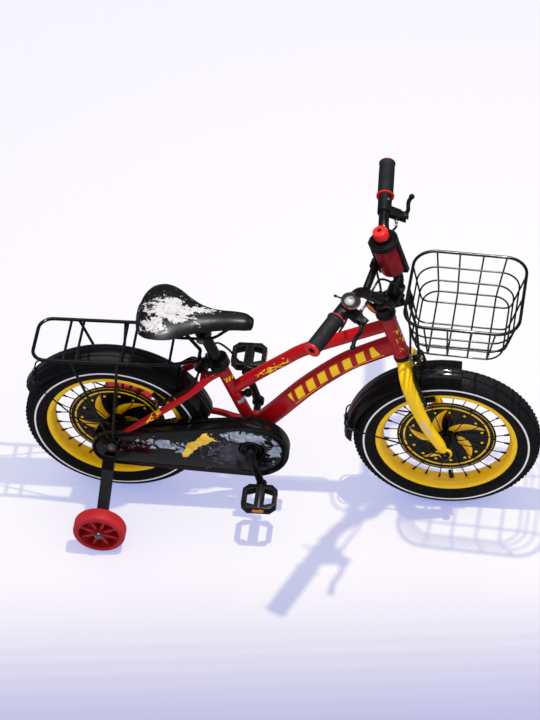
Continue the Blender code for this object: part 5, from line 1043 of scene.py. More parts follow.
def tyre_rubber(name, hub):
    """Tyre rubber with a pale band, fine sidewall rings and a little dust."""
    rubber = chosen("rubber")
    look = Nodes(name, 0.62, Specular_IOR_Level=0.28)
    radius, _ = look.polar(hub)
    _, y, _ = look.parts(look.place)
    side = look.ramp(look.math("ABSOLUTE", y), 0.0225, 0.0235)
    band = look.both(side, look.between(radius, 0.1803, 0.1842, 0.0003))
    base = look.clouded(rubber, 30.0, 0.78, 1.18, 5.0)
    dust = look.both(look.ramp(radius, 0.196, 0.206),
                     look.ramp(look.noise(160.0, 4.0), 0.45, 0.75, 0.0, 0.35))
    base = look.mix(dust, base, linear(52, 51, 52))
    pale = look.mix(look.ramp(look.noise(130.0, 4.0), 0.55, 0.8, 0.0, 0.3),
                    chosen("band"), linear(188, 188, 194))
    look.colour(look.mix(band, base, pale))
    rings = look.math("SINE", look.math("MULTIPLY", radius, 2 * pi / 0.0022))
    face = look.both(side, look.either(look.between(radius, 0.1640, 0.1750),
                                       look.between(radius, 0.1870, 0.1925)))
    look.bump(look.math("MULTIPLY", rings, face), 0.55, 0.0004)
    look.grained(1100.0, 0.18)
    look.worn(90.0, 0.52, 0.74, 3.0)
    return look.material


def disc_print(name, hub, turn):
    """The printed wheel disc: a ring, curved blades and small dots on gloss black."""
    gold = chosen("mark")
    black = chosen("black")
    look = Nodes(name, 0.2, Coat_Weight=0.5, Coat_Roughness=0.04)
    radius, angle = look.polar(hub)
    angle = look.math("ADD", angle, turn)
    ring = look.between(radius, 0.0925, 0.0965)
    rim_line = look.between(radius, 0.1045, 0.1056)
    sweep = look.math("ADD", look.math("MULTIPLY", angle, 5 / (2 * pi)), look.math("MULTIPLY", radius, 5.2))
    share = look.math("FRACT", look.math("ADD", sweep, 20.0))
    width = look.ramp(radius, 0.024, 0.086, 0.62, 0.05)
    blade = look.both(look.ramp(look.math("SUBTRACT", width, share), -0.012, 0.012),
                      look.ramp(share, 0.0, 0.03), look.between(radius, 0.022, 0.087))
    fold = look.both(blade, look.ramp(look.math("SUBTRACT", look.math("MULTIPLY", width, 0.45), share),
                                      -0.012, 0.012))
    place = look.math("SUBTRACT", look.math("FRACT", look.math("ADD", look.math(
        "MULTIPLY", angle, 15 / (2 * pi)), 20.0)), 0.5)
    along = look.math("MULTIPLY", place, 2 * pi * 0.078 / 15)
    out = look.math("SUBTRACT", radius, 0.0800)
    spread = look.math("SQRT", look.math("ADD", look.math("MULTIPLY", along, along),
                                         look.math("MULTIPLY", out, out)))
    dots = look.ramp(spread, 0.0030, 0.0034, 1.0, 0.0)
    dots = look.both(dots, look.math("SUBTRACT", 1.0, blade))
    paint = look.clouded(black, 26.0, 0.5, 0.9)
    paint = look.mix(look.either(ring, rim_line, blade, dots), paint, gold)
    paint = look.mix(fold, paint, (gold[0] * 0.82, gold[1] * 0.62, gold[2] * 0.3))
    look.colour(paint)
    look.worn(70.0, 0.15, 0.28)
    look.grained(500.0, 0.05, 0.0003)
    return look.material


def patch(look, centre, size, scale, threshold, distortion=1.2, lean=0.0, level=False):
    """A ragged splash round a point in the upright plane, or in the level plane."""
    stretch = (size[0], size[1], 1.0) if level else (size[0], 1.0, size[1])
    u, across, up = look.parts(look.mapped(origin=centre, turn=(0.0, -lean, 0.0), size=stretch))
    v = across if level else up
    away = look.math("SQRT", look.math("ADD", look.math("MULTIPLY", u, u), look.math("MULTIPLY", v, v)))
    field = look.noise(scale, 6.0, distortion=distortion, roughness=0.62)
    edge = look.math("SUBTRACT", field, look.ramp(away, 0.0, 1.0, threshold - 0.16, threshold + 0.22))
    return look.both(look.ramp(edge, 0.0, 0.012), look.ramp(away, 1.15, 1.25, 1.0, 0.0))


def case_print(name):
    """The outer chain case: ragged grey and yellow splashes on gloss black."""
    black = chosen("black")
    look = Nodes(name, 0.14, Coat_Weight=0.6, Coat_Roughness=0.03)
    _, y, _ = look.parts(look.place)
    face = look.ramp(y, -0.0655, -0.0645, 1.0, 0.0)
    grey = look.either(
        patch(look, (0.118, 0.0, 0.205), (0.080, 0.030), 40.0, 0.46, lean=radians(-12.0)),
        patch(look, (0.300, 0.0, 0.245), (0.092, 0.034), 36.0, 0.46, lean=radians(-8.0)),
        patch(look, (0.366, 0.0, 0.200), (0.030, 0.062), 42.0, 0.49))
    yellow = look.either(
        patch(look, (0.200, 0.0, 0.222), (0.070, 0.024), 30.0, 0.43, 0.8, lean=radians(38.0)),
        patch(look, (0.168, 0.0, 0.186), (0.044, 0.018), 34.0, 0.45, 0.8, lean=radians(60.0)))
    dusk = patch(look, (0.255, 0.0, 0.190), (0.080, 0.055), 30.0, 0.46, 1.8)
    speck = look.both(look.ramp(look.cells(150.0), 0.16, 0.20, 1.0, 0.0),
                      look.ramp(look.noise(16.0, 2.0), 0.54, 0.60))
    u, _, v = look.parts(look.mapped(origin=(0.0065, 0.0, 0.1880), turn=(0.0, radians(30.0), 0.0)))
    dash = look.both(look.between(look.math("ABSOLUTE", u), 0.009, 0.0150), look.between(v, -0.0022, 0.0022))
    paint = look.clouded(black, 24.0, 0.7, 1.2)
    tone = look.mix(look.ramp(look.noise(60.0, 4.0), 0.4, 0.65), linear(44, 42, 52), linear(78, 72, 88))
    paint = look.mix(look.both(dusk, face), paint, tone)
    pale = look.mix(look.ramp(look.noise(75.0, 5.0), 0.42, 0.62), chosen("splash_grey"),
                    linear(176, 184, 198))
    paint = look.mix(look.both(look.either(grey, look.both(speck, look.math("SUBTRACT", 1.0, yellow))), face),
                     paint, pale)
    gold = look.mix(look.ramp(look.noise(50.0, 4.0), 0.4, 0.6), linear(236, 178, 34), linear(250, 212, 74))
    paint = look.mix(look.both(yellow, face), paint, gold)
    look.colour(look.mix(look.both(dash, face), paint, linear(196, 26, 34)))
    look.worn(60.0, 0.10, 0.22)
    look.grained(420.0, 0.04, 0.0003)
    return look.material


def saddle_cover(name):
    """Satin saddle skin with leather grain and pale ragged splashes."""
    black = chosen("black")
    look = Nodes(name, 0.42, Specular_IOR_Level=0.4, Coat_Weight=0.06, Coat_Roughness=0.3)
    x, _, z = look.parts(look.place)
    main = patch(look, (0.148, -0.004, 0.5800), (0.078, 0.046), 30.0, 0.43, 2.6, level=True)
    low = patch(look, (0.120, -0.052, 0.5800), (0.046, 0.026), 44.0, 0.44, 2.0, level=True)
    tail = patch(look, (0.212, 0.010, 0.5800), (0.056, 0.016), 50.0, 0.47, 2.6, level=True)
    splash = look.both(look.either(main, low, tail), look.ramp(z, 0.5545, 0.5590))
    fleck = look.both(look.ramp(look.cells(120.0), 0.15, 0.19, 1.0, 0.0),
                      look.ramp(look.noise(20.0, 2.0), 0.54, 0.62), look.ramp(x, 0.25, 0.30, 1.0, 0.0),
                      look.ramp(z, 0.5585, 0.5630))
    skin = look.clouded(black, 30.0, 0.9, 1.5)
    pale = look.mix(look.ramp(look.noise(90.0, 5.0), 0.45, 0.62), chosen("splash_white"),
                    linear(168, 166, 170))
    look.colour(look.mix(look.either(splash, fleck), skin, pale))
    look.bump(look.cells(1150.0, feature="DISTANCE_TO_EDGE"), 0.16, 0.0003)
    look.grained(260.0, 0.12, 0.0004, 4.0)
    look.worn(110.0, 0.34, 0.52)
    return look.material


def grip_rubber(name):
    """Soft grip rubber with a fine pebbled surface."""
    rubber = chosen("rubber")
    look = Nodes(name, 0.66, Specular_IOR_Level=0.3)
    look.colour(look.clouded(rubber, 40.0, 0.9, 1.6))
    look.bump(look.cells(1300.0), 0.4, 0.0004)
    look.worn(90.0, 0.56, 0.78, 3.0)
    return look.material


def bottle_metal(name):
    """Metallic red with fine flakes under a clear coat."""
    red = chosen("bottle_red")
    look = Nodes(name, 0.3, Metallic=0.55, Coat_Weight=0.6, Coat_Roughness=0.04)
    flake = look.ramp(look.cells(2600.0), 0.1, 0.5, 1.35, 0.85)
    node = look.tree.nodes.new("ShaderNodeVectorMath")
    node.operation = "SCALE"
    node.inputs[0].default_value = red
    look.put(node.inputs["Scale"], flake)
    look.colour(node.outputs[0])
    look.worn(50.0, 0.24, 0.38)
    look.grained(600.0, 0.04)
    return look.material


def lens(name, colour):
    """A reflector lens of small facets under a bright coat."""
    look = Nodes(name, 0.16, Coat_Weight=0.8, Coat_Roughness=0.03)
    cells = look.cells(420.0)
    look.colour(look.mix(look.ramp(cells, 0.1, 0.6), shaded(colour, 1.25), shaded(colour, 0.62)))
    look.bump(cells, 0.5, 0.0006)
    look.worn(60.0, 0.12, 0.24, 3.0)
    return look.material


def sleeve(name, colour):
    """Cable sleeve with faint wound ridges."""
    look = Nodes(name, 0.38)
    look.colour(look.clouded(colour, 30.0, 0.85, 1.25))
    look.grained(1800.0, 0.14)
    look.worn(80.0, 0.3, 0.48, 3.0)
    return look.material


def black_paint(name):
    """Gloss black paint of rods, tubes and brackets."""
    return painted(name, chosen("black"), 0.22, 0.25)


FINISHES = {
    "red_frame_paint": lambda name: painted(name, chosen("frame_red"), 0.2, 0.6, frame_marks),
    "yellow_fork_paint": lambda name: painted(name, chosen("yellow"), 0.24, 0.5, fork_marks),
    "yellow_rim_paint": rim_paint,
    "black_gloss_paint": black_paint,
    "black_moulding": lambda name: moulded(name, chosen("black"), 0.40),
    "black_gloss_moulding": lambda name: moulded(name, chosen("black"), 0.12, 0.03, 420.0, 0.35),
    "dark_satin_paint": lambda name: moulded(name, linear(34, 35, 39), 0.34, 0.10, 900.0, 0.15),
    "front_tyre_rubber": lambda name: tyre_rubber(name, FRONT_HUB),
    "rear_tyre_rubber": lambda name: tyre_rubber(name, REAR_HUB),
    "pebbled_grip_rubber": grip_rubber,
    "front_disc_print": lambda name: disc_print(name, FRONT_HUB, 0.4),
    "rear_disc_print": lambda name: disc_print(name, REAR_HUB, 1.3),
    "case_face_print": case_print,
    "red_wheel_moulding": lambda name: moulded(name, chosen("plastic_red"), 0.36, 0.12, 900.0, 0.2),
    "red_tread_moulding": lambda name: moulded(
        name, shaded(chosen("plastic_red"), 1.25), 0.55, 0.3, 700.0),
    "red_trim_moulding": lambda name: moulded(name, chosen("trim_red"), 0.32, 0.10, 900.0, 0.2),
    "bottle_metallic": bottle_metal,
    "plated_steel": lambda name: metal(name, linear(196, 197, 202), 0.26),
    "dull_steel": lambda name: metal(name, linear(120, 121, 125), 0.38),
    "polished_plate": lambda name: metal(name, linear(232, 232, 236), 0.07, dark=0.92),
    "splashed_saddle_skin": saddle_cover,
    "amber_lens": lambda name: lens(name, linear(240, 128, 20)),
    "pale_lens": lambda name: lens(name, linear(222, 222, 228)),
    "red_lens": lambda name: lens(name, linear(206, 30, 30)),
    "brake_block_rubber": lambda name: moulded(name, linear(24, 24, 26), 0.7, 0.4, 900.0),
    "cable_sleeve": lambda name: sleeve(name, chosen("black")),
}


def finish(name):
    """The named material, made on its first use."""
    return bpy.data.materials.get(name) or FINISHES[name](name)


class Stud:
    """A brake's stud, with the way outwards along it and the way down to the rim."""

    def __init__(self, root, outward, down, hub, level, cable_side):
        """Keep the frame and work out how far down the brake pad sits."""
        self.cable_side = cable_side
        self.root = Vector(root)
        self.outward = outward
        self.down = down
        self.level = level
        away = self.root + outward * (level + ARM_PITCH) - hub
        along = -away.dot(down)
        across = away.dot(outward)
        self.drop = along - sqrt(BRAKE_PAD_RADIUS ** 2 - across ** 2)

    def point(self, down, out, left):
        """A point by its distance down, out along the stud and to the left."""
        return self.root + self.down * down + self.outward * out + Y_AXIS * left


RADIAL = (BRIDGE - REAR_HUB).normalized()
STUDS = {
    "front": Stud(steer_point(0.250), STEER_FRONT, -STEER_UP, FRONT_HUB, 0.0225, -1),
    "rear": Stud(BRIDGE, Vector((-RADIAL.z, 0.0, RADIAL.x)), -RADIAL, REAR_HUB, 0.0135, 1),
}


def wheel_place(hub):
    """Local Z along a wheel's axle, with the origin at its hub."""
    return direction_matrix(hub, Y_AXIS)


def make_tyre(word, hub, body):
    """A rounded casing with raised tread blocks and fine shoulder ribs."""
    tyre = Piece(word + "_tyre_rubber", word + "_tyre_rubber")
    place = wheel_place(hub)
    depth = sizes().tread_depth
    crown = WHEEL_RADIUS - depth
    bead_y = RIM_HALF_WIDTH - RIM_WALL - 0.0004
    half = [(crown, 0.0), (crown - 0.0005, 0.0075), (crown - 0.0028, 0.0145), (crown - 0.0075, 0.0210),
            (0.1915, 0.0264), (0.1855, 0.0284), (0.1800, 0.0287), (0.1720, 0.0276), (0.1660, 0.0252),
            (RIM_RADIUS + 0.0022, bead_y + 0.0008), (RIM_RADIUS - 0.002, bead_y - 0.0002)]
    outside = smooth_profile(symmetric(half)[::-1], 0.0018)
    inner = [(crown - 0.006, 0.0), (crown - 0.010, 0.012), (0.190, 0.022), (0.180, 0.0247),
             (RIM_RADIUS - 0.002, bead_y - 0.004)]
    tyre.lathe(outside + symmetric(inner), place, 144, closed=True)
    pitch = 2 * pi / sizes().tread_blocks
    blocks = Piece("blocks", word + "_tyre_rubber")
    run = pitch * crown
    for y, lean, shift in ((0.0062, 0.42, 0.0), (-0.0062, -0.42, 0.0), (0.0, 0.0, 0.5)):
        turn = Matrix.Rotation(lean, 4, "X")
        sink = 0.0006 if y else 0.0003
        blocks.block((crown + depth / 2 - sink - 0.001, run * (shift - 0.25), y),
                     (depth + 0.0018, run * 0.62, 0.0052 if y else 0.0034), turn, 0.0004, 1)
    for side in (1, -1):
        lean = Matrix.Rotation(-side * 0.40, 4, "Y") @ Matrix.Rotation(side * 0.5, 4, "X")
        blocks.block((crown - 0.0016, run * 0.15, side * 0.0133), (depth + 0.0014, run * 0.5, 0.0050),
                     lean, 0.0004, 1)
    tyre.repeat(blocks, place, sizes().tread_blocks, angle=pitch)
    ribs = Piece("ribs", word + "_tyre_rubber")
    for side in (1, -1):
        lean = Matrix.Rotation(-side * 0.86, 4, "Y")
        ribs.block((0.1972, 0.0, side * 0.0219), (0.0018, 0.0030, 0.0098), lean, 0.0004, 1)
    tyre.repeat(ribs, place, sizes().side_ribs, angle=2 * pi / sizes().side_ribs)
    tyre.done(body, [word + "_tyre"], angle=34.0)


def make_rim(word, hub, body, valve_angle):
    """A rounded single-wall rim with its valve."""
    rim = Piece(word + "_rim_hoop", "yellow_rim_paint")
    place = wheel_place(hub)
    out = symmetric([
        (RIM_BED_RADIUS + RIM_WALL, 0.0060), (RIM_BED_RADIUS + RIM_WALL + 0.001, 0.0092),
        (RIM_RADIUS - 0.0095, RIM_HALF_WIDTH - 0.0010 - RIM_WALL),
        (RIM_RADIUS - 0.001, RIM_HALF_WIDTH - RIM_WALL),
        (RIM_RADIUS - 0.0002, RIM_HALF_WIDTH - 0.0012), (RIM_RADIUS - 0.0003, RIM_HALF_WIDTH - 0.0004),
        (RIM_RADIUS - 0.0012, RIM_HALF_WIDTH)])
    back = symmetric([
        (RIM_BED_RADIUS, 0.0085), (RIM_BED_RADIUS + 0.0012, 0.0112), (RIM_BED_RADIUS + 0.0042, 0.0160),
        (RIM_RADIUS - 0.0100, RIM_HALF_WIDTH - 0.0012), (RIM_RADIUS - 0.0080, RIM_HALF_WIDTH - 0.0002),
        (RIM_RADIUS - 0.0040, RIM_HALF_WIDTH)])
    rim.lathe(out + back[::-1], place, 144, closed=True)
    rim.done(body, [word + "_rim"], angle=50.0)
    valve = Piece(word + "_valve", "black_moulding")
    way = Vector((cos(valve_angle), 0.0, sin(valve_angle)))
    seat = hub + way * (RIM_BED_RADIUS + 0.001)
    valve.rod(seat, seat - way * 0.011, 0.0034, 20, 0.0030)
    valve.rod(seat - way * 0.010, seat - way * 0.024, 0.0041, 20, 0.0038, 0.001)
    valve.done(body)


def make_hub(word, hub, body, end_y):
    """Hub shell, its flanges, laced-looking spokes and their nipples."""
    shell = Piece(word + "_hub_and_spokes", "black_gloss_paint")
    place = wheel_place(hub)
    inner = FLANGE_HALF_GAP
    outer = FLANGE_HALF_GAP + FLANGE_THICKNESS
    bore = AXLE_BORE
    shell.lathe(symmetric([
        (HUB_RADIUS - 0.001, 0.004), (HUB_RADIUS, inner - 0.002), (FLANGE_RADIUS - 0.0008, inner),
        (FLANGE_RADIUS, inner + 0.0008), (FLANGE_RADIUS, outer - 0.0008), (FLANGE_RADIUS - 0.0008, outer),
        (HUB_RADIUS + 0.001, outer + 0.0004), (HUB_RADIUS, outer + 0.002), (HUB_RADIUS, end_y - 0.0015),
        (HUB_RADIUS - 0.0012, end_y), (bore, end_y)]), place, 48, closed=True)
    wire = sizes().spoke_radius
    step = 2 * pi / sizes().spokes
    pair = Piece("spoke_pair", "black_gloss_paint")
    for i, side in ((0, -1), (1, 1)):
        angle = -step * (i + 0.5)
        way = Vector((cos(angle), sin(angle), 0.0))
        start = way * (FLANGE_RADIUS - 0.004) + Z_AXIS * side * (outer + 0.0008)
        knee = way * (FLANGE_RADIUS + 0.001) + Z_AXIS * side * (outer + 0.0002)
        end = way * (RIM_BED_RADIUS + 0.0008)
        seat = end + (knee - end).normalized() * 0.013
        pair.tube([start, knee, seat], wire, 8)
        pair.lathe([(0.0, 0.0), (0.0021, 0.0), (0.0021, 0.006), (0.0027, 0.0066), (0.0027, 0.0115),
                    (0.0, 0.0115)], direction_matrix(seat, end - seat), 10)
        pair.lathe([(0.0, -0.0009), (0.0019, -0.0009), (0.0021, 0.0), (0.0016, 0.0008), (0.0, 0.0011)],
                   Matrix.Translation(start) @ Matrix.Diagonal((1.0, 1.0, side, 1.0)), 10)
    shell.repeat(pair, place, sizes().spokes // 2, angle=-2 * step)
    shell.done(body, [word + "_hub"])


def make_disc(word, hub, body):
    """The printed disc with a turned-in hem and its clips."""
    disc = Piece(word + "_wheel_disc", word + "_disc_print")
    bore = HUB_RADIUS + SEAT_GAP
    half = 0.001
    disc.lathe(symmetric([
        (bore, half), (0.0880, half), (0.1015, half), (DISC_RADIUS - 0.0022, half * 1.25),
        (DISC_RADIUS - 0.0004, half * 1.1), (DISC_RADIUS, half * 0.4)]), wheel_place(hub), 128, closed=True)
    disc.use("black_moulding")
    clip = Piece("clip", "black_moulding")
    for side in (1, -1):
        clip.block((0.0, 0.0, side * 0.0019), (0.007, 0.0042, 0.0016), edge=0.0004)
    bmesh.ops.translate(clip.mesh, verts=clip.mesh.verts, vec=(0.1040, 0.0, 0.0))
    disc.repeat(clip, wheel_place(hub), 6, angle=2 * pi / 6)
    disc.done(body, [word + "_disc"], angle=30.0)


def toothed(piece, centre, teeth, bore, windows):
    """A chain wheel's plate, with rounded teeth and round windows."""
    tip = teeth * CHAIN_PITCH / (2 * pi) - 0.004 - SEAT_GAP
    root = tip - 0.0026
    outline = []
    for i in range(teeth):
        for share, radius in ((0.0, root), (0.22, root + 0.0004), (0.40, tip - 0.0004), (0.5, tip),
                              (0.60, tip - 0.0004), (0.78, root + 0.0004)):
            angle = 2 * pi * (i + share) / teeth
            outline.append((centre.x + radius * cos(angle), centre.z + radius * sin(angle)))
    holes = [circle((centre.x, centre.z), bore, 32)]
    reach = (bore + root) / 2 + 0.004
    for i in range(windows):
        angle = 2 * pi * i / windows
        holes.append(circle((centre.x + reach * cos(angle), centre.z + reach * sin(angle)),
                            (root - bore) / 3.4, 24))
    place = Matrix.Translation((0.0, -CHAIN_LINE_Y, 0.0)) @ Matrix.Rotation(pi / 2, 4, "X")
    piece.plate(outline, 0.003, place, holes)


def nut(piece, hub, y, way, height=NUT_HEIGHT):
    """A flanged axle nut with its washer, on the axle at this distance out."""
    place = direction_matrix(hub + Y_AXIS * y, Y_AXIS * way)
    inner = AXLE_RADIUS * 0.9
    washer = 0.0009
    piece.lathe(plain_ring(AXLE_RADIUS, NUT_RADIUS * 1.02, 0.0, washer), place, 32, closed=True)
    piece.lathe([(inner, washer), (NUT_RADIUS * 0.98, washer), (NUT_RADIUS, 0.0016),
                 (NUT_RADIUS, height - 0.001), (NUT_RADIUS * 0.9, height), (inner, height)],
                place, 6, closed=True)


def make_axles():
    """Both axles with their nuts and the threaded ends that stand out of them."""
    plate_in = STABILISER_PLATE_Y
    rear_nut = GUARD_EYE_Y + EYE_THICKNESS / 2 + SEAT_GAP
    rear = Piece("rear_axle_and_nuts", "plated_steel")
    rear.rod(REAR_HUB - Y_AXIS * (rear_nut + NUT_HEIGHT + 0.002),
             REAR_HUB + Y_AXIS * (rear_nut + NUT_HEIGHT + 0.002), AXLE_RADIUS, 24, edge=0.0008)
    drop = REAR_DROPOUT_Y + DROPOUT_THICKNESS / 2 + SEAT_GAP
    for side in (1, -1):
        nut(rear, REAR_HUB, side * drop, side, height=plate_in - drop - 0.0004)
        nut(rear, REAR_HUB, side * rear_nut, side)
    rear.done("frame", ["rear_axle"])
    front = Piece("front_axle_and_nuts", "black_gloss_paint")
    front_nut = FRONT_EYE_Y + EYE_THICKNESS / 2 + SEAT_GAP
    front.rod(FRONT_HUB - Y_AXIS * front_nut, FRONT_HUB + Y_AXIS * front_nut, AXLE_RADIUS, 24)
    for side in (1, -1):
        at = FRONT_HUB + Y_AXIS * side * front_nut
        front.lathe([(0.0, 0.0), (NUT_RADIUS * 1.02, 0.0), (NUT_RADIUS * 1.02, 0.0011),
                     (NUT_RADIUS * 0.86, 0.0013), (NUT_RADIUS * 0.84, 0.0060),
                     (NUT_RADIUS * 0.72, NUT_HEIGHT + 0.0008),
                     (NUT_RADIUS * 0.42, NUT_HEIGHT + 0.0026), (0.0, NUT_HEIGHT + 0.003)],
                    direction_matrix(at, Y_AXIS * side), 32)
    front.done("steering", ["front_axle"])


def stay_paths(side):
    """Centre lines of the chain stay and the seat stay of one side."""
    chain_stay = eased([
        (BB.x - 0.008, side * 0.022, BB.z), (0.262, side * 0.0300, BB.z + 0.001),
        (0.225, side * 0.0405, BB.z + 0.002), (0.150, side * 0.0500, BB.z + 0.003),
        (0.075, side * (REAR_DROPOUT_Y - 0.0005), BB.z + 0.003),
        (0.020, side * REAR_DROPOUT_Y, WHEEL_RADIUS)], 0.012)
    top = seat_point(0.199, -0.004)
    seat_stay = eased([
        (top.x, side * 0.010, top.z), (0.222, side * 0.0290, 0.3895),
        (0.185, side * 0.0440, 0.3580), (0.110, side * 0.0535, 0.2985),
        (0.045, side * REAR_DROPOUT_Y, 0.2465), (0.011, side * REAR_DROPOUT_Y, WHEEL_RADIUS + 0.012)], 0.012)
    return chain_stay, seat_stay


def drawn(path):
    """Scales that draw a stay's last stretch down to its flattened end."""
    shares = [i / (len(path) - 1) for i in range(len(path))]
    return [1.0 if share < STAY_DRAWN_FROM else 1.0 + (STAY_END_SCALE - 1.0)
            * (share - STAY_DRAWN_FROM) / (1.0 - STAY_DRAWN_FROM) for share in shares]


def side_plane(y):
    """Local X forward and local Y up, in the upright plane at this y."""
    return Matrix.Translation((0.0, y, 0.0)) @ Matrix.Rotation(pi / 2, 4, "X")


def axle_eye(piece, centre, radius, thickness, y, steps, bore_steps, edge=0.0004):
    """A flat round eye on a wheel's axle, at this distance from the middle."""
    piece.plate(circle(centre, radius, steps), thickness, side_plane(y),
                [circle(centre, AXLE_BORE, bore_steps)], edge)


def bead(piece, centre, axis, radius, width=0.0022, steps=40):
    """A weld bead: a thin ring with a slight ripple round a tube."""
    place = direction_matrix(centre, axis)
    rows = []
    for i in range(steps):
        angle = 2 * pi * i / steps
        ripple = 1.0 + 0.16 * (i % 2)
        rows.append([place @ Vector(((radius + width * 0.5 * sin(turn) * ripple) * cos(angle),
                                     (radius + width * 0.5 * sin(turn) * ripple) * sin(angle),
                                     width * cos(turn))) for turn in (0.0, 1.05, 2.1, pi, 4.2, 5.25)])
    piece.skin(rows, closed=True)


def make_main_frame():
    """The welded frame, with shaped tubes, stays, dropouts and weld beads."""
    frame = Piece("welded_frame", "red_frame_paint")
    low, high = steer_point(HEAD_TUBE_LOW), steer_point(HEAD_TUBE_HIGH)
    flare = HEAD_TUBE_RADIUS
    waist = flare - 0.0005
    bore = STEERER_RADIUS + 0.0002
    frame.lathe([(bore, 0.0), (flare, 0.0), (flare, 0.006), (waist, 0.008),
                 (waist, HEAD_TUBE_LENGTH - 0.008), (flare, HEAD_TUBE_LENGTH - 0.006),
                 (flare, HEAD_TUBE_LENGTH), (bore, HEAD_TUBE_LENGTH)],
                direction_matrix(low, high - low), 48, closed=True)
    path = eased([steer_point(HEAD_TUBE_LOW + 0.032), (0.574, 0.0, 0.467), (0.519, 0.0, 0.431),
                  (0.440, 0.0, 0.3565), (0.368, 0.0, 0.271), (BB.x + 0.006, 0.0, BB.z + 0.008)], 0.010)
    section = []
    corners = ((0.0135, 0.0075), (0.0135, -0.0105), (0.0090, -0.0230), (-0.0090, -0.0230),
               (-0.0135, -0.0105), (-0.0135, 0.0075), (-0.0080, 0.0230), (0.0080, 0.0230))
    for before, corner, after in zip(corners[-1:] + corners[:-1], corners, corners[1:] + corners[:1]):
        for share in (0.0, 0.33, 0.67, 1.0):
            first = Vector(corner).lerp(Vector(before), 0.30)
            last = Vector(corner).lerp(Vector(after), 0.30)
            point = first * (1 - share) ** 2 + Vector(corner) * 2 * share * (1 - share) + last * share ** 2
            section.append((point.x, point.y))
    frame.tube(path, 0.0, section=section, side=Y_AXIS)
    frame.tube(eased([steer_point(HEAD_TUBE_LOW + 0.092), (0.520, 0.0, 0.511), (0.433, 0.0, 0.467),
                      (0.390, 0.0, 0.434), (0.320, 0.0, 0.376), seat_point(0.134)], 0.012),
               TOP_TUBE_RADIUS, 28)
    frame.lathe([(0.0, 0.0), (SEAT_TUBE_RADIUS, 0.0), (SEAT_TUBE_RADIUS, SEAT_TUBE_LENGTH - 0.0006),
                 (SEAT_TUBE_RADIUS - 0.0006, SEAT_TUBE_LENGTH), (POST_RADIUS + 0.0002, SEAT_TUBE_LENGTH),
                 (POST_RADIUS + 0.0002, 0.15), (0.0, 0.15)],
                direction_matrix(BB, SEAT_UP), 40)
    frame.lathe(ring_profile(0.0098, BB_RADIUS, -BB_HALF_WIDTH, BB_HALF_WIDTH, 0.001),
                direction_matrix(BB, Y_AXIS), 48, closed=True)
    for side in (1, -1):
        chain_stay, seat_stay = stay_paths(side)
        frame.tube(chain_stay, CHAIN_STAY_RADIUS, 18, drawn(chain_stay))
        frame.tube(seat_stay, SEAT_STAY_RADIUS, 18, drawn(seat_stay))
        axle_eye(frame, (0.0, WHEEL_RADIUS), 0.0180, DROPOUT_THICKNESS, side * REAR_DROPOUT_Y, 40, 24, 0.0008)
        frame.block((0.022, side * REAR_DROPOUT_Y, WHEEL_RADIUS + 0.003),
                    (0.026, DROPOUT_THICKNESS * 0.96, 0.022), edge=0.0014)
    frame.rod(BRIDGE - Y_AXIS * 0.036, BRIDGE + Y_AXIS * 0.036, 0.006, 24)
    stud = STUDS["rear"]
    bead(frame, steer_point(HEAD_TUBE_LOW + 0.108), STEER_UP, flare - 0.0004)
    bead(frame, steer_point(HEAD_TUBE_LOW + 0.010), STEER_UP, flare - 0.0004)
    bead(frame, seat_point(0.030), SEAT_UP, SEAT_TUBE_RADIUS)
    frame.use("plated_steel")
    frame.rod(stud.root, stud.point(0.0, STUD_LENGTH, 0.0), STUD_RADIUS, 20)
    frame.bolt(stud.point(0.0, STUD_LENGTH - 0.0062, 0.0), stud.outward, 0.0052, 0.0050)
    frame.done("frame", ["main_frame"])


def make_head_fittings():
    """The two headset cups, with their locknut and rings, and the ball on the seat tube."""
    place = direction_matrix(STEER_ORIGIN, STEER_UP)
    bore = 0.0131
    lower = ((bore, 0.0), (0.0186, 0.0), (0.0192, -0.0010), (0.0192, -0.0044), (0.0180, -0.0050),
             (0.0180, -0.0056), (0.0194, -0.0064), (0.0195, -0.0094), (0.0186, -0.0114),
             (bore, -LOWER_CUP_HEIGHT))
    upper = ((bore, 0.0), (0.0178, 0.0), (0.0186, 0.0012), (0.0214, 0.0056), (0.0220, 0.0070),
             (0.0220, 0.0106), (0.0205, 0.0112), (0.0205, 0.0120), (0.0216, 0.0126), (0.0214, 0.0160),
             (0.0196, 0.0172), (0.0192, 0.0208), (bore, UPPER_CUP_HEIGHT))
    for word, profile, seat in (("lower", lower, HEAD_TUBE_LOW - SEAT_GAP),
                                ("upper", upper, HEAD_TUBE_HIGH + SEAT_GAP)):
        cup = Piece(word + "_headset_cup", "black_gloss_paint")
        cup.lathe([(radius, seat + height) for radius, height in profile], place, 48, closed=True)
        cup.done("frame", [word + "_head_cup"])
    foot = SEAT_TUBE_RADIUS + SEAT_GAP
    ball = Piece("frame_ball_plug", "black_gloss_moulding")
    radius = 0.0102
    centre = foot + 0.0023 + radius
    profile = [(0.0, foot), (radius * 0.62, foot), (radius * 0.58, foot + 0.0016)]
    profile += [(radius * cos(radians(angle)), centre + radius * sin(radians(angle)))
                for angle in range(-50, 90, 10)]
    profile.append((0.0, centre + radius))
    ball.lathe(profile, direction_matrix(seat_point(0.1126), SEAT_FRONT), 40)
    ball.done("frame", ["frame_plug"])


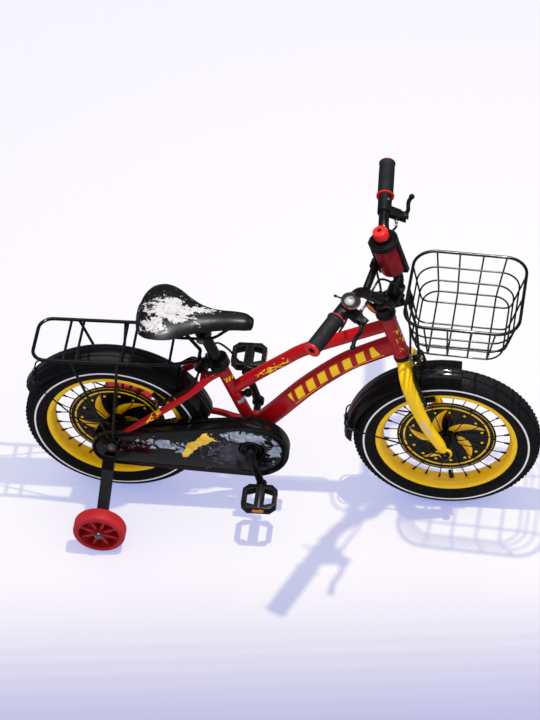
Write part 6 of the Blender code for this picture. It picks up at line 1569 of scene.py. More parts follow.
def make_fork():
    """Crown, curved tapering legs, dropouts and brake stud."""
    fork = Piece("curved_fork", "yellow_fork_paint")
    crown_top = HEAD_TUBE_LOW - LOWER_CUP_HEIGHT - 2 * SEAT_GAP
    low = FORK_CROWN_LOW - 0.006
    fork.lathe([(0.0, low - 0.0006), (0.0150, low), (0.0176, low + 0.0022), (0.0185, low + 0.006),
                (0.0185, crown_top - 0.002), (0.0176, crown_top), (0.0, crown_top)],
               direction_matrix(STEER_ORIGIN, STEER_UP), 48)
    tip = FORK_TIP_RADIUS / FORK_LEG_RADIUS
    for side in (1, -1):
        path = eased([
            steer_point(FORK_CROWN_LOW + 0.006, 0.0, side * 0.004),
            steer_point(FORK_CROWN_LOW + 0.002, 0.001, side * 0.026),
            steer_point(0.222, 0.002, side * 0.0440), steer_point(0.195, 0.004, side * 0.0515),
            steer_point(0.140, 0.006, side * FORK_LEG_Y), steer_point(0.080, 0.012, side * FORK_LEG_Y),
            steer_point(0.030, 0.0215, side * FORK_DROPOUT_Y),
            steer_point(0.0015, 0.0264, side * FORK_DROPOUT_Y)], 0.008)
        scales = []
        for i in range(len(path)):
            share = i / (len(path) - 1)
            scale = 1.0 + (tip - 1.0) * max(0.0, share - 0.3) / 0.7
            scales.append(scale if share < 0.9 else scale + (0.5 - scale) * ((share - 0.9) / 0.1) ** 1.6)
        fork.tube(path, FORK_LEG_RADIUS, 26, scales)
        axle_eye(fork, (FRONT_HUB.x, FRONT_HUB.z), 0.0150, DROPOUT_THICKNESS, side * FORK_DROPOUT_Y,
                 40, 24, 0.0008)
    bead(fork, steer_point(low + 0.0290), STEER_UP, 0.0180)
    fork.use("dull_steel")
    fork.rod(steer_point(crown_top - 0.002), steer_point(HEAD_TUBE_HIGH + 0.020),
             STEERER_RADIUS, 32)
    stud = STUDS["front"]
    fork.rod(stud.point(0.0, 0.010, 0.0), stud.point(0.0, STUD_LENGTH + 0.012, 0.0), STUD_RADIUS, 20)
    fork.use("plated_steel")
    fork.bolt(stud.point(0.0, STUD_LENGTH + 0.0058, 0.0), stud.outward, 0.0054, 0.0052)
    fork.done("steering", ["fork"])


def make_mudguard(word, hub, body, start, end, ribs=0):
    """A curved guard with a raised middle, grooves and a rolled edge."""
    guard = Piece(word + "_mudguard_shell", "black_gloss_moulding")
    inner = WHEEL_RADIUS + GUARD_GAP
    top = inner + GUARD_CROWN + GUARD_THICKNESS
    half = [(top, 0.0), (top, 0.0070), (top - 0.0005, 0.0092), (top - 0.0016, 0.0104),
            (top - 0.0017, 0.0122), (top - 0.0014, 0.0140), (top - 0.0022, 0.0180), (top - 0.0046, 0.0230),
            (top - 0.0082, 0.0275), (top - 0.0120, 0.0310), (inner - 0.0040, 0.0338),
            (inner - 0.0066, 0.0347), (inner - 0.0070, 0.0338)]
    under = [(top - 0.0016, 0.0), (top - 0.0032, 0.0140), (top - 0.0062, 0.0222), (top - 0.0128, 0.0297),
             (inner - 0.0045, 0.0322)]
    section = symmetric(half)[::-1] + symmetric(under)
    place = wheel_place(hub) @ Matrix.Rotation(-end, 4, "Z")
    span = end - start
    guard.lathe(section, place, ceil(span / radians(2.5)), closed=True, span=span)
    if ribs:
        rib = Piece("rib", "black_gloss_moulding")
        rib.block((top + 0.0002, 0.0, 0.0), (0.0014, 0.0026, 0.0185), edge=0.0006)
        front = wheel_place(hub) @ Matrix.Rotation(-start - radians(3.0), 4, "Z")
        guard.repeat(rib, front, ribs, angle=-radians(2.1))
        guard.lathe([(top - 0.0032, -0.0222), (top + 0.0012, -0.0170), (top + 0.0018, 0.0),
                     (top + 0.0012, 0.0170), (top - 0.0032, 0.0222), (top - 0.0060, 0.0215),
                     (top - 0.0020, 0.0), (top - 0.0060, -0.0215)],
                    front @ Matrix.Rotation(-radians(ribs * 2.1), 4, "Z"), 4, closed=True, span=radians(3.4))
    guard.done(body, [word + "_mudguard"], angle=42.0)


def guard_stay(word, hub, body, angle, eye_y):
    """The wire from both axle ends over a mudguard, with flat eyes and a clip on top."""
    wire = 0.0018
    stay = Piece(word + "_mudguard_wire", "black_gloss_paint")
    top = WHEEL_RADIUS + GUARD_GAP + GUARD_CROWN + GUARD_THICKNESS + wire + 0.0006
    half = GUARD_HALF_WIDTH + GUARD_THICKNESS + wire + 0.0006
    way = Vector((cos(angle), 0.0, sin(angle)))
    points = []
    for side in (-1, 1):
        leg = [hub + way * (EYE_RADIUS - 0.002) + Y_AXIS * side * eye_y,
               hub + way * (WHEEL_RADIUS - 0.002) + Y_AXIS * side * half,
               hub + way * (top - 0.008) + Y_AXIS * side * (half - 0.0015),
               hub + way * top + Y_AXIS * side * (half - 0.012)]
        points += leg if side < 0 else leg[::-1]
    stay.tube(bent(points, 0.006, 5), wire, 12)
    for side in (1, -1):
        axle_eye(stay, (hub.x, hub.z), EYE_RADIUS - 0.0005, EYE_THICKNESS, side * eye_y, 32, 20)
    across = Vector((-way.z, 0.0, way.x))
    turn = axes_matrix(across, Y_AXIS, across.cross(Y_AXIS))
    stay.block(hub + way * (top - 0.0002), (0.010, 0.016, 0.0040), turn, 0.0010)
    stay.use("plated_steel")
    stay.bolt(hub + way * (top + 0.0016), way, 0.0034, 0.0022)
    stay.done(body, [word + "_mudguard_stay"])


def make_calliper_arm(word, stud, side, side_word):
    """One calliper arm with its eye, cable horn, pad holder, pad and bolts."""
    layer = (side + 1) / 2
    out = stud.level + layer * ARM_PITCH
    face = RIM_HALF_WIDTH + PAD_GAP
    arm = Piece(word + "_calliper_arm_" + side_word, "black_gloss_paint")
    path = bent([stud.point(0.001, out, side * 0.0068), stud.point(0.004, out, side * 0.026),
                 stud.point(0.024, out, side * ARM_Y), stud.point(stud.drop, out, side * ARM_Y)], 0.014, 6)
    arm.tube(path, ARM_RADIUS, 16, [0.62] * 4 + [1.0] * (len(path) - 4))
    half = ARM_EYE_THICKNESS / 2
    arm.lathe(ring_profile(STUD_BORE, ARM_EYE_RADIUS, -half, half, 0.0006),
              direction_matrix(stud.point(0.0, out, 0.0), stud.outward), 32, closed=True)
    upper = layer if stud.cable_side > 0 else 1 - layer
    horn = stud.point(-0.010 - 0.015 * upper, out, stud.cable_side * 0.024)
    arm.tube([stud.point(-0.005, out, stud.cable_side * 0.0050), horn], ARM_RADIUS * 0.7, 14)
    arm.use("plated_steel")
    arm.lathe([(0.0, -0.0042), (0.0036, -0.0042), (0.0042, -0.0034), (0.0042, 0.0034), (0.0036, 0.0042),
               (0.0, 0.0042)], direction_matrix(horn, stud.outward), 20)
    holder = stud.point(stud.drop, out, side * (ARM_Y - 0.002))
    arm.bolt(holder, Y_AXIS * side, 0.0046, 0.0052)
    arm.rod(stud.point(stud.drop, out, side * (face + 0.007)), holder, 0.0030, 16)
    arm.use("brake_block_rubber")
    turn = axes_matrix(stud.outward, Y_AXIS, stud.outward.cross(Y_AXIS))
    arm.block(stud.point(stud.drop, out, side * (face + 0.0045)), (0.040, 0.009, 0.0085), turn, 0.0012)
    arm.done(word + "_calliper_" + side_word, [word + "_brake_arm_" + side_word])


def make_rack():
    """The rack's rail, cross rods, struts and front stay, with its bolts."""
    rack = Piece("tube_rack", "black_gloss_paint")
    corner = 0.030
    front = Vector((RACK_FRONT_X + 0.053, 0.0165, RACK_Z - 0.029))
    shoulder = Vector((RACK_FRONT_X, RACK_RAIL_Y - 0.004, RACK_Z))
    half = bent([front, shoulder, Vector((RACK_FRONT_X - 0.060, RACK_RAIL_Y, RACK_Z))], 0.018, 6)
    rail = [mirrored(point, -1) for point in half]
    for cx, cy, start in ((RACK_REAR_X + corner, -RACK_RAIL_Y + corner, -pi / 2),
                          (RACK_REAR_X + corner, RACK_RAIL_Y - corner, -pi)):
        rail += [Vector((px, py, RACK_Z)) for px, py in arc((cx, cy), corner, start, start - pi / 2, 8)]
    rack.tube(rail + half[::-1], RACK_RAIL_RADIUS, 18)
    for x in RACK_RODS_X:
        end = RACK_RAIL_Y - (0.0035 if x > RACK_FRONT_X - 0.030 else 0.0)
        rack.rod((x, -end, RACK_Z), (x, end, RACK_Z), RACK_ROD_RADIUS, 18)
    rack.rod(mirrored(front, -1), front, RACK_RAIL_RADIUS, 18)
    for side in (1, -1):
        axle_eye(rack, (0.0, WHEEL_RADIUS), EYE_RADIUS, EYE_THICKNESS, side * RACK_EYE_Y, 36, 20)
        for x in RACK_STRUTS_X:
            top = Vector((x, side * RACK_RAIL_Y, RACK_Z))
            low = REAR_HUB + Y_AXIS * side * RACK_EYE_Y
            out = (top - low).normalized()
            rack.tube([low + out * 0.0095, low + out * 0.014, low + out * 0.032, top],
                      RACK_STRUT_RADIUS, 16, [0.38, 0.42, 1.0, 1.0])
            bead(rack, top - out * RACK_RAIL_RADIUS, out, RACK_STRUT_RADIUS, 0.0012, 24)
    stud = STUDS["rear"]
    out = 0.0088
    rack.lathe(plain_ring(STUD_BORE, 0.0080, -0.0012, 0.0012),
               direction_matrix(stud.point(0.0, out, 0.0), stud.outward), 32, closed=True)
    path = bent([stud.point(-0.0055, out, 0.0), stud.point(-0.0145, out, 0.0),
                 (front.x, 0.0, front.z)], 0.008, 5)
    rack.tube(path, 0.0030, 16, [0.38, 0.42] + [1.0] * (len(path) - 2))
    rack.done("frame", ["rear_rack"])


def case_loop(rear, rear_radius, inset, front_inset, y):
    """The chain case's outline at this y, drawn in by an inset."""
    return [Vector((x, y, z)) for x, z in belt(rear, rear_radius - inset, CASE_FRONT,
                                               CASE_FRONT_RADIUS - front_inset, 48, 84)]


def make_case_half(name, node, rear, radius, face_y, edge_y, holes, print_name):
    """A dished half of the chain case with a raised lip round its printed face."""
    case = Piece(name, "black_gloss_moulding")
    way = 1.0 if edge_y > face_y else -1.0
    wide = 0.0158 if print_name == "case_face_print" else 0.0100
    profile = [(0.0, edge_y), (0.0, face_y + way * 0.0042), (0.0008, face_y + way * 0.0016),
               (0.0030, face_y), (wide * 0.6, face_y), (wide - 0.0008, face_y + way * 0.0004),
               (wide, face_y + way * 0.0015), (wide, face_y + way * 0.0030),
               (0.0052, face_y + way * 0.0030), (CASE_WALL + 0.001, face_y + way * 0.0044),
               (CASE_WALL, edge_y)]
    rows = []
    for inset, y in profile:
        rear_inset = min(inset, 0.0052 + (inset - 0.0052) * 0.45) if inset > 0.0052 else inset
        rows.append(case_loop(rear, radius, rear_inset, inset, y))
    case.skin(rows, closed=True)
    case.use(print_name)
    outline = [(point.x, point.z) for point in case_loop(rear, radius, 0.0072, wide - 0.001, 0.0)]
    case.plate(outline, CASE_WALL, side_plane(face_y + way * (0.0015 + CASE_WALL / 2)), holes)
    case.done("frame", [node], angle=32.0)


def make_chain_drive():
    """The chain, both halves of its case and the two chain wheels."""
    chain = Piece("roller_chain", "dull_steel")
    ring_radius = CHAINRING_TEETH * CHAIN_PITCH / (2 * pi)
    cog_radius = SPROCKET_TEETH * CHAIN_PITCH / (2 * pi)
    loop = belt((REAR_HUB.x, REAR_HUB.z), cog_radius, (BB.x, BB.z), ring_radius, 24, 40)
    path = [(x, -CHAIN_LINE_Y, z) for x, z in loop]
    length = sum((Vector(a) - Vector(b)).length for a, b in zip(path, path[1:] + path[:1]))
    link = Piece("link", "dull_steel")
    half = CHAIN_PITCH / 2
    for side in (1, -1):
        link.tube([(-half - 0.001, side * 0.0019, 0.0), (-half * 0.4, side * 0.0019, 0.0),
                   (half * 0.4, side * 0.0030, 0.0), (half + 0.002, side * 0.0030, 0.0)], 0.0,
                  section=[(0.00045, 0.0024), (-0.00045, 0.0024), (-0.00045, -0.0024), (0.00045, -0.0024)],
                  side=Y_AXIS)
    link.rod((half, -0.0035, 0.0), (half, 0.0035, 0.0), 0.0030, 10)
    chain.follow(link, path, round(length / CHAIN_PITCH))
    chain.done("frame", ["chain"])
    bottom = circle((BB.x, BB.z), BB_RADIUS + 0.0065, 40)
    make_case_half("chain_case_back", "chain_case_inner", CASE_ARCH, CASE_ARCH_RADIUS, -CASE_INNER_Y,
                   -CASE_SPLIT_Y + SEAT_GAP, [bottom, circle((0.0, WHEEL_RADIUS), 0.0155, 32)],
                   "black_gloss_moulding")
    make_case_half("chain_case_front", "chain_case_outer", CASE_REAR, CASE_REAR_RADIUS, -CASE_OUTER_Y,
                   -CASE_SPLIT_Y - SEAT_GAP,
                   [circle((BB.x, BB.z), CRANK_HOLE_RADIUS, 48),
                    circle((0.0, WHEEL_RADIUS), NUT_RADIUS + 0.0012, 32)], "case_face_print")
    ring = Piece("chainring_plate", "black_gloss_paint")
    toothed(ring, BB, CHAINRING_TEETH, 0.0088, 5)
    ring.done("cranks", ["chainring"])
    cog = Piece("sprocket_plate", "dull_steel")
    toothed(cog, REAR_HUB, SPROCKET_TEETH, HUB_RADIUS + SEAT_GAP, 0)
    cog.done("rear_wheel", ["rear_sprocket"])


def make_seat_clamp():
    """The collar with its slot and skewer, and the quick-release lever."""
    low, high = SEAT_CLAMP_LOW, SEAT_CLAMP_HIGH
    collar = Piece("seat_collar", "black_gloss_paint")
    slot = 0.0011 / SEAT_CLAMP_RADIUS
    place = direction_matrix(seat_point(0.0), SEAT_UP)
    collar.lathe([(POST_BORE, SEAT_TUBE_LENGTH + 0.0004), (POST_BORE, high),
                  (SEAT_CLAMP_RADIUS - 0.0010, high), (SEAT_CLAMP_RADIUS, high - 0.0010),
                  (SEAT_CLAMP_RADIUS, low + 0.0010), (SEAT_CLAMP_RADIUS - 0.0010, low),
                  (SEAT_TUBE_RADIUS + 0.0003, low), (SEAT_TUBE_RADIUS + 0.0003, SEAT_TUBE_LENGTH + 0.0004)],
                 place, 60, closed=True, start=pi + slot, span=2 * pi - 2 * slot)
    ear = seat_point((low + high) / 2, -SEAT_CLAMP_RADIUS - 0.0005)
    turn = axes_matrix(SEAT_FRONT, Y_AXIS, SEAT_UP)
    for side in (1, -1):
        collar.block(ear + Y_AXIS * side * 0.0051, (0.012, 0.0078, high - low - 0.004), turn, 0.0012)
    collar.use("plated_steel")
    pin_end = -0.0240
    collar.rod(ear + Y_AXIS * pin_end, ear + Y_AXIS * 0.015, 0.0026, 16)
    collar.lathe([(0.0, 0.0095), (0.0062, 0.0095), (0.0062, 0.0140), (0.0050, 0.0155), (0.0, 0.0155)],
                 direction_matrix(ear, Y_AXIS), 6)
    collar.done("frame", ["seat_clamp"])
    lever = Piece("seat_release_lever", "black_gloss_paint")
    pivot = ear + Y_AXIS * (pin_end - 0.0048)
    lever.rod(pivot - SEAT_UP * 0.006, pivot + SEAT_UP * 0.006, 0.0042, 24)
    lever.tube(bent([pivot, pivot + SEAT_FRONT * 0.020 - Y_AXIS * 0.003,
                     pivot + SEAT_FRONT * 0.046 + Y_AXIS * 0.001], 0.008, 6), 0.0, round_ends=True,
               section=oval(0.0022, 0.0046, 8), side=Y_AXIS)
    lever.done("clamp_lever", ["seat_clamp_lever"])


def saddle_rows():
    """Rings of points round the saddle, at fine even stations."""
    stations = eased([Vector(station) for station in SADDLE_STATIONS], 0.005)
    rows = []
    for x, half, top in stations:
        shoulder = min(SADDLE_SHOULDER, half * 0.6)
        base = top - min(SADDLE_SKIRT, half * 0.5 + 0.016)
        row = []
        for i in range(33):
            share = cos(pi * i / 32)
            bow = abs(share) ** 3.2
            dish = 0.0026 * (1.0 - share * share) ** 2 if x < 0.2 else 0.0
            row.append((x, half * share, top - shoulder * bow - dish))
        side_top = top - shoulder
        for share, drop in ((-1.0, 0.35), (-1.0, 0.7), (-0.975, 0.96), (-0.93, 1.0), (-0.5, 0.98),
                            (0.0, 0.94), (0.5, 0.98), (0.93, 1.0), (0.975, 0.96), (1.0, 0.7), (1.0, 0.35)):
            row.append((x, half * share, side_top + (base - side_top) * drop))
        rows.append(row)
    tail, nose = [[Vector(point) for point in row] for row in (rows[0], rows[-1])]
    for share, shift in ((0.92, 0.0016), (0.70, 0.0032), (0.34, 0.0042)):
        for source, way in ((tail, -1.0), (nose, 1.4)):
            middle = sum(source, Vector()) / len(source)
            ring = [middle + (point - middle) * share + X_AXIS * way * shift for point in source]
            rows.insert(0 if way < 0 else len(rows), ring)
    return rows


def make_saddle():
    """The padded saddle with its skirt."""
    saddle = Piece("padded_saddle", "splashed_saddle_skin")
    made = saddle.skin(saddle_rows())
    saddle.face(made[0][::-1])
    saddle.face(made[-1])
    return saddle.done("seat", ["saddle"], angle=50.0)


def make_seat_post():
    """The seat post, and the saddle's rails with their clamp and bolt."""
    top = (SEAT_CLAMP_Z - BB.z) / SEAT_UP.z
    post = Piece("seat_post_tube", "black_gloss_paint")
    post.rod(seat_point(0.110), seat_point(top + 0.006), POST_RADIUS, 40, edge=0.001)
    post.done("seat", ["seat_post"])
    clamp = Piece("saddle_rail_clamp", "black_gloss_paint")
    centre = seat_point(top)
    outer = POST_RADIUS + 0.0045
    clamp.lathe([(POST_BORE, -0.012), (outer - 0.001, -0.012), (outer, -0.011), (outer, 0.011),
                 (outer - 0.001, 0.012), (0.0, 0.012), (0.0, 0.0064), (POST_BORE, 0.0064)],
                direction_matrix(centre, SEAT_UP), 36)
    reach = Y_AXIS * (RAIL_Y + 0.007)
    clamp.rod(centre - reach, centre + reach, 0.0105, 32, edge=0.0012)
    rear = Vector((0.112, 0.0, 0.5588))
    nose = Vector((0.286, 0.0, 0.5392))
    for side in (1, -1):
        shift = Y_AXIS * side * RAIL_Y
        path = bent([rear + shift * 1.5, Vector((0.150, 0.0, centre.z)) + shift,
                     Vector((0.238, 0.0, centre.z)) + shift, nose + shift * 0.35], 0.018, 8)
        clamp.tube(path, RAIL_RADIUS, 18)
    clamp.rod(nose - Y_AXIS * RAIL_Y * 0.35, nose + Y_AXIS * RAIL_Y * 0.35, RAIL_RADIUS, 18)
    clamp.use("plated_steel")
    for side in (1, -1):
        clamp.bolt(centre + Y_AXIS * side * (RAIL_Y + 0.0065), Y_AXIS * side, 0.0058, 0.0052)
    clamp.done("seat", ["saddle_clamp"])


def pedal_eye(side):
    """The pedal's point on the crank, the right one down and leaning forward."""
    reach = Vector((sin(CRANK_LEAN), 0.0, -cos(CRANK_LEAN))) * CRANK_LENGTH
    return BB + (reach if side < 0 else -reach) + Y_AXIS * side * CRANK_EYE_Y


def make_crank():
    """The one-piece crank, with its bosses, pedal pins and the cover cup in the case's hole."""
    crank = Piece("one_piece_crank", "black_gloss_paint")
    crank.rod(BB - Y_AXIS * CRANK_ROOT_Y, BB + Y_AXIS * CRANK_ROOT_Y, 0.0085, 28)
    for side in (1, -1):
        eye = pedal_eye(side)
        root = BB + Y_AXIS * side * CRANK_ROOT_Y
        reach = (eye - root).normalized()
        path = [root - reach * 0.004, *(root.lerp(eye, share) for share in (0.25, 0.5, 0.75)), eye]
        crank.tube(path, 0.0, scales=[1.0, 0.96, 0.90, 0.86, 0.84], section=oval(0.0078, 0.0102, 10),
                   side=Y_AXIS)
        out = Y_AXIS * side
        crank.lathe([(0.0, -0.0060), (0.0125, -0.0060), (0.0135, -0.0050), (0.0135, 0.0066), (0.0121, 0.0080),
                     (0.0070, 0.0080), (0.0064, 0.0070), (0.0, 0.0070)], direction_matrix(root, out), 40)
        crank.lathe(ring_profile(0.0, 0.0118, -0.0062, 0.0062, 0.001), direction_matrix(eye, out), 40)
        crank.use("plated_steel")
        crank.rod(eye, eye + out * (PEDAL_GAP + PEDAL_WIDTH - 0.006), 0.0045, 20)
        crank.lathe(plain_ring(0.0, 0.0072, 0.0, PEDAL_GAP - 0.0072),
                    direction_matrix(eye + out * 0.006, out), 6)
        crank.lathe([(0.0, 0.0), (0.0052, 0.0), (0.0046, 0.0006), (0.0, 0.0006)],
                    direction_matrix(eye - out * 0.0062, -out), 24)
        crank.use("black_gloss_paint")
    crank.use("black_gloss_moulding")
    crank.lathe([(0.0, 0.0), (0.0250, 0.0), (0.0250, 0.0085), (0.0238, 0.0106), (0.0215, 0.0110),
                 (0.0198, 0.0098), (0.0150, 0.0094), (0.0136, 0.0104), (0.0, 0.0104)],
                direction_matrix(BB - Y_AXIS * 0.058, -Y_AXIS), 56)
    crank.done("cranks", ["crank"])


def make_pedal(side, word):
    """A moulded pedal with two openings, end reflectors and grip ribs."""
    pedal = Piece("block_pedal_" + word, "black_moulding")
    eye = pedal_eye(side)
    out = Y_AXIS * side
    inner = eye + out * PEDAL_GAP
    centre = inner + out * PEDAL_WIDTH / 2
    half_x, half_y = PEDAL_LENGTH / 2, PEDAL_WIDTH / 2
    cut = 0.013
    outline = [(half_x, half_y - cut), (half_x - cut, half_y), (-half_x + cut, half_y),
               (-half_x, half_y - cut), (-half_x, -half_y + cut), (-half_x + cut, -half_y),
               (half_x - cut, -half_y), (half_x, -half_y + cut)]
    window = []
    for edge in (1, -1):
        x0, x1 = edge * PEDAL_RAIL * 0.9, edge * (half_x - PEDAL_RAIL * 0.9)
        y = half_y - PEDAL_RAIL
        window.append([(x0, -y), (x1, -y + 0.006), (x1, y - 0.006), (x0, y)])
    pedal.plate(outline, PEDAL_HEIGHT, Matrix.Translation(centre), window, 0.0012)
    pedal.lathe([(0.0048, 0.0), (0.0098, 0.0), (0.0110, 0.0012), (0.0110, PEDAL_WIDTH - 0.0016),
                 (0.0098, PEDAL_WIDTH), (0.0, PEDAL_WIDTH), (0.0, PEDAL_WIDTH - 0.005),
                 (0.0048, PEDAL_WIDTH - 0.005)], direction_matrix(inner, out), 32)
    for edge in (1, -1):
        rib = Piece("rib", "black_moulding")
        rib.block((0.0, 0.0, 0.0), (0.0070, 0.0022, PEDAL_HEIGHT + 0.0016), edge=0.0005)
        start = centre + X_AXIS * edge * (half_x - 0.0052) - Y_AXIS * 0.0165
        pedal.repeat(rib, direction_matrix(start, Y_AXIS) @ Matrix.Rotation(pi / 2, 4, "X"), 1)
        ribs = Piece("ribs", "black_moulding")
        ribs.block((0.0, 0.0, 0.0), (0.0070, PEDAL_HEIGHT + 0.0016, 0.0022), edge=0.0005)
        pedal.repeat(ribs, axes_matrix_at(start, X_AXIS, -Z_AXIS, Y_AXIS), 7, height=0.0055)
    pedal.use("amber_lens")
    for edge in (1, -1):
        pedal.block(centre + X_AXIS * edge * (half_x - 0.0002), (0.0016, 0.030, 0.0105), edge=0.0005)
    pedal.block(centre + out * (half_y - 0.0002), (0.026, 0.0014, 0.0095), edge=0.0005)
    pedal.done("pedal_" + word + "_body", ["pedal_" + word])


def axes_matrix_at(origin, x_way, y_way, z_way):
    """Local axes pointing these three ways, with the local origin at origin."""
    return Matrix.Translation(origin) @ axes_matrix(x_way, y_way, z_way)


def trainer_point(side, y=TRAINER_Y):
    """The stabiliser wheel's axle at this distance out."""
    return Vector((TRAINER_X, side * y, TRAINER_RADIUS))


def make_stabiliser(side, word):
    """One stabiliser: plate, square arm, bolt and cap, and its spoked wheel."""
    arm = Piece("stabiliser_arm_" + word, "dark_satin_paint")
    thick = STABILISER_PLATE_THICKNESS
    outline = arc((0.0, WHEEL_RADIUS), 0.0125, 0.05 * pi, 0.95 * pi, 20)
    outline += [(-0.0175, WHEEL_RADIUS - 0.036), (0.0045, WHEEL_RADIUS - 0.036)]
    arm.plate(outline, thick, side_plane(side * (STABILISER_PLATE_Y + thick / 2)),
              [circle((0.0, WHEEL_RADIUS), AXLE_BORE, 24)], 0.0008)
    top = Vector((-0.0060, side * 0.0835, 0.1840))
    low = Vector((TRAINER_X, side * 0.1655, TRAINER_RADIUS + 0.003))
    along = (low - top).normalized()
    across = (X_AXIS - along * X_AXIS.dot(along)).normalized()
    turn = axes_matrix(across, along.cross(across), along)
    arm.block((top + low) / 2, (ARM_TUBE, ARM_TUBE, (low - top).length), turn, 0.0028, 3)
    arm.use("black_gloss_paint")
    arm.block(top + along * 0.017, (ARM_TUBE + 0.0024, ARM_TUBE + 0.0024, 0.034), turn, 0.0022, 3)
    inner = TRAINER_Y - TRAINER_HALF_WIDTH - 0.0003
    outer = TRAINER_Y + TRAINER_HALF_WIDTH + 0.0003
    arm.rod(trainer_point(side, 0.160), trainer_point(side, inner), 0.0110, 32)
    arm.use("plated_steel")
    arm.rod(trainer_point(side, 0.160), trainer_point(side, outer + 0.002), TRAINER_BOLT_RADIUS, 24)
    arm.lathe([(0.0, 0.0), (0.0100, 0.0), (0.0100, 0.0024), (0.0088, 0.0044), (0.0052, 0.0058),
               (0.0, 0.0060)],
              direction_matrix(trainer_point(side, outer), Y_AXIS * side), 32)
    arm.done("frame", ["stabiliser_bracket_" + word])
    wheel = Piece("stabiliser_roller_" + word, "red_tread_moulding")
    half = TRAINER_HALF_WIDTH
    tread = TRAINER_RADIUS
    place = wheel_place(trainer_point(side))
    crown = symmetric([(tread, 0.0), (tread, half - 0.0068), (tread - 0.0006, half - 0.0048),
                       (tread - 0.0024, half - 0.0022), (tread - 0.0046, half - 0.0008)])
    wheel.lathe(crown + [(TRAINER_OPENING + 0.004, -half + 0.004), (TRAINER_OPENING + 0.004, half - 0.004)],
                place, 96, closed=True)
    wheel.use("red_wheel_moulding")
    wheel.lathe(symmetric([(tread - 0.0044, half - 0.0012), (tread - 0.0062, half - 0.0002),
                           (TRAINER_OPENING + 0.001, half), (TRAINER_OPENING, half - 0.001)]),
                place, 96, closed=True)
    wheel.lathe(symmetric([(0.0125, half - 0.0008), (0.0118, half), (TRAINER_BOLT_RADIUS + 0.0003, half)]),
                place, 40, closed=True)
    spoke = Piece("spoke", "red_wheel_moulding")
    for reach, width, height in ((0.014, 0.0072, 0.030), (0.031, 0.0060, 0.027)):
        spoke.block((reach + 0.006, 0.0, 0.0), (0.024, width, height * 0.74), edge=0.0009)
    bmesh.ops.rotate(spoke.mesh, verts=spoke.mesh.verts, cent=(0.0, 0.0, 0.0),
                     matrix=Matrix.Rotation(pi / 8, 3, "Z"))
    wheel.repeat(spoke, place, 8, angle=pi / 4)
    wheel.done("stabiliser_" + word, ["stabiliser_wheel_" + word])


def bar_path():
    """The handlebar's centre line from the right end to the left end."""
    low = Vector((BAR_CLAMP_X, BAR_CLAMP_HALF, BAR_CLAMP_Z))
    middle = low.lerp(Vector(BAR_SHOULDER), 0.5)
    half = bent([BAR_END, BAR_SHOULDER, middle], 0.022, 8)[:-1]
    half += bent([middle, low, (BAR_CLAMP_X, 0.0, BAR_CLAMP_Z)], 0.012, 8)[1:-1]
    return [mirrored(point, -1) for point in half] + [mirrored(point, 1) for point in reversed(half)]


def bar_point(y):
    """The point of the straight grip stretch at this y, and its direction outwards."""
    side = 1 if y > 0 else -1
    inner, end = mirrored(BAR_SHOULDER, side), mirrored(BAR_END, side)
    along = (end - inner).normalized()
    return inner + (end - inner) * ((abs(y) - abs(inner.y)) / (abs(end.y) - abs(inner.y))), along


def make_handlebar():
    """The bent bar with the crossbar that braces it."""
    bar = Piece("bent_handlebar", "black_gloss_paint")
    bar.tube(bar_path(), BAR_RADIUS, 24)
    low = Vector((BAR_CLAMP_X, BAR_CLAMP_HALF, BAR_CLAMP_Z))
    brace = low.lerp(Vector(BAR_SHOULDER), CROSSBAR_SHARE)
    bar.rod(mirrored(brace, -1), mirrored(brace, 1), CROSSBAR_RADIUS, 24)
    for side in (1, -1):
        bead(bar, mirrored(brace, side) - Y_AXIS * side * (BAR_RADIUS * 0.8), Y_AXIS, CROSSBAR_RADIUS, 0.0016)
    bar.done("steering", ["handlebar"], place=BAR_PLACE)


def make_stem():
    """The quill stem with its clamp, its ear and bolts."""
    stem = Piece("quill_stem", "black_gloss_paint")
    neck = HEAD_TUBE_HIGH + UPPER_CUP_HEIGHT + 2 * SEAT_GAP
    clamp = Vector((BAR_CLAMP_X, 0.0, BAR_CLAMP_Z))
    head = STEM_TOP
    place = direction_matrix(STEER_ORIGIN, STEER_UP)
    stem.lathe([(0.0, 0.330), (0.0105, 0.330), (0.0105, neck - 0.004), (STEM_RADIUS, neck),
                (STEM_RADIUS, head - 0.0030), (STEM_RADIUS - 0.0012, head - 0.0008),
                (STEM_RADIUS - 0.0034, head), (0.0, head)], place, 44)
    stem.rod(steer_point(head - 0.013), clamp, 0.0135, 36)
    stem.lathe(ring_profile(BAR_BORE, 0.0175, -0.020, 0.020, 0.001),
               direction_matrix(clamp, Y_AXIS), 44, closed=True)
    ear = clamp + Vector((0.010, 0.0, -0.0160))
    stem.block(ear, (0.014, 0.024, 0.012), Matrix.Rotation(radians(35.0), 4, "Y"), 0.0014)
    stem.use("plated_steel")
    stem.bolt(steer_point(head), STEER_UP, 0.0070, 0.0060)
    stem.bolt(clamp + Vector((0.0150, 0.0, 0.0105)), Vector((0.82, 0.0, 0.57)), 0.0046, 0.0044)
    stem.done("steering", ["stem"], place=BAR_PLACE)


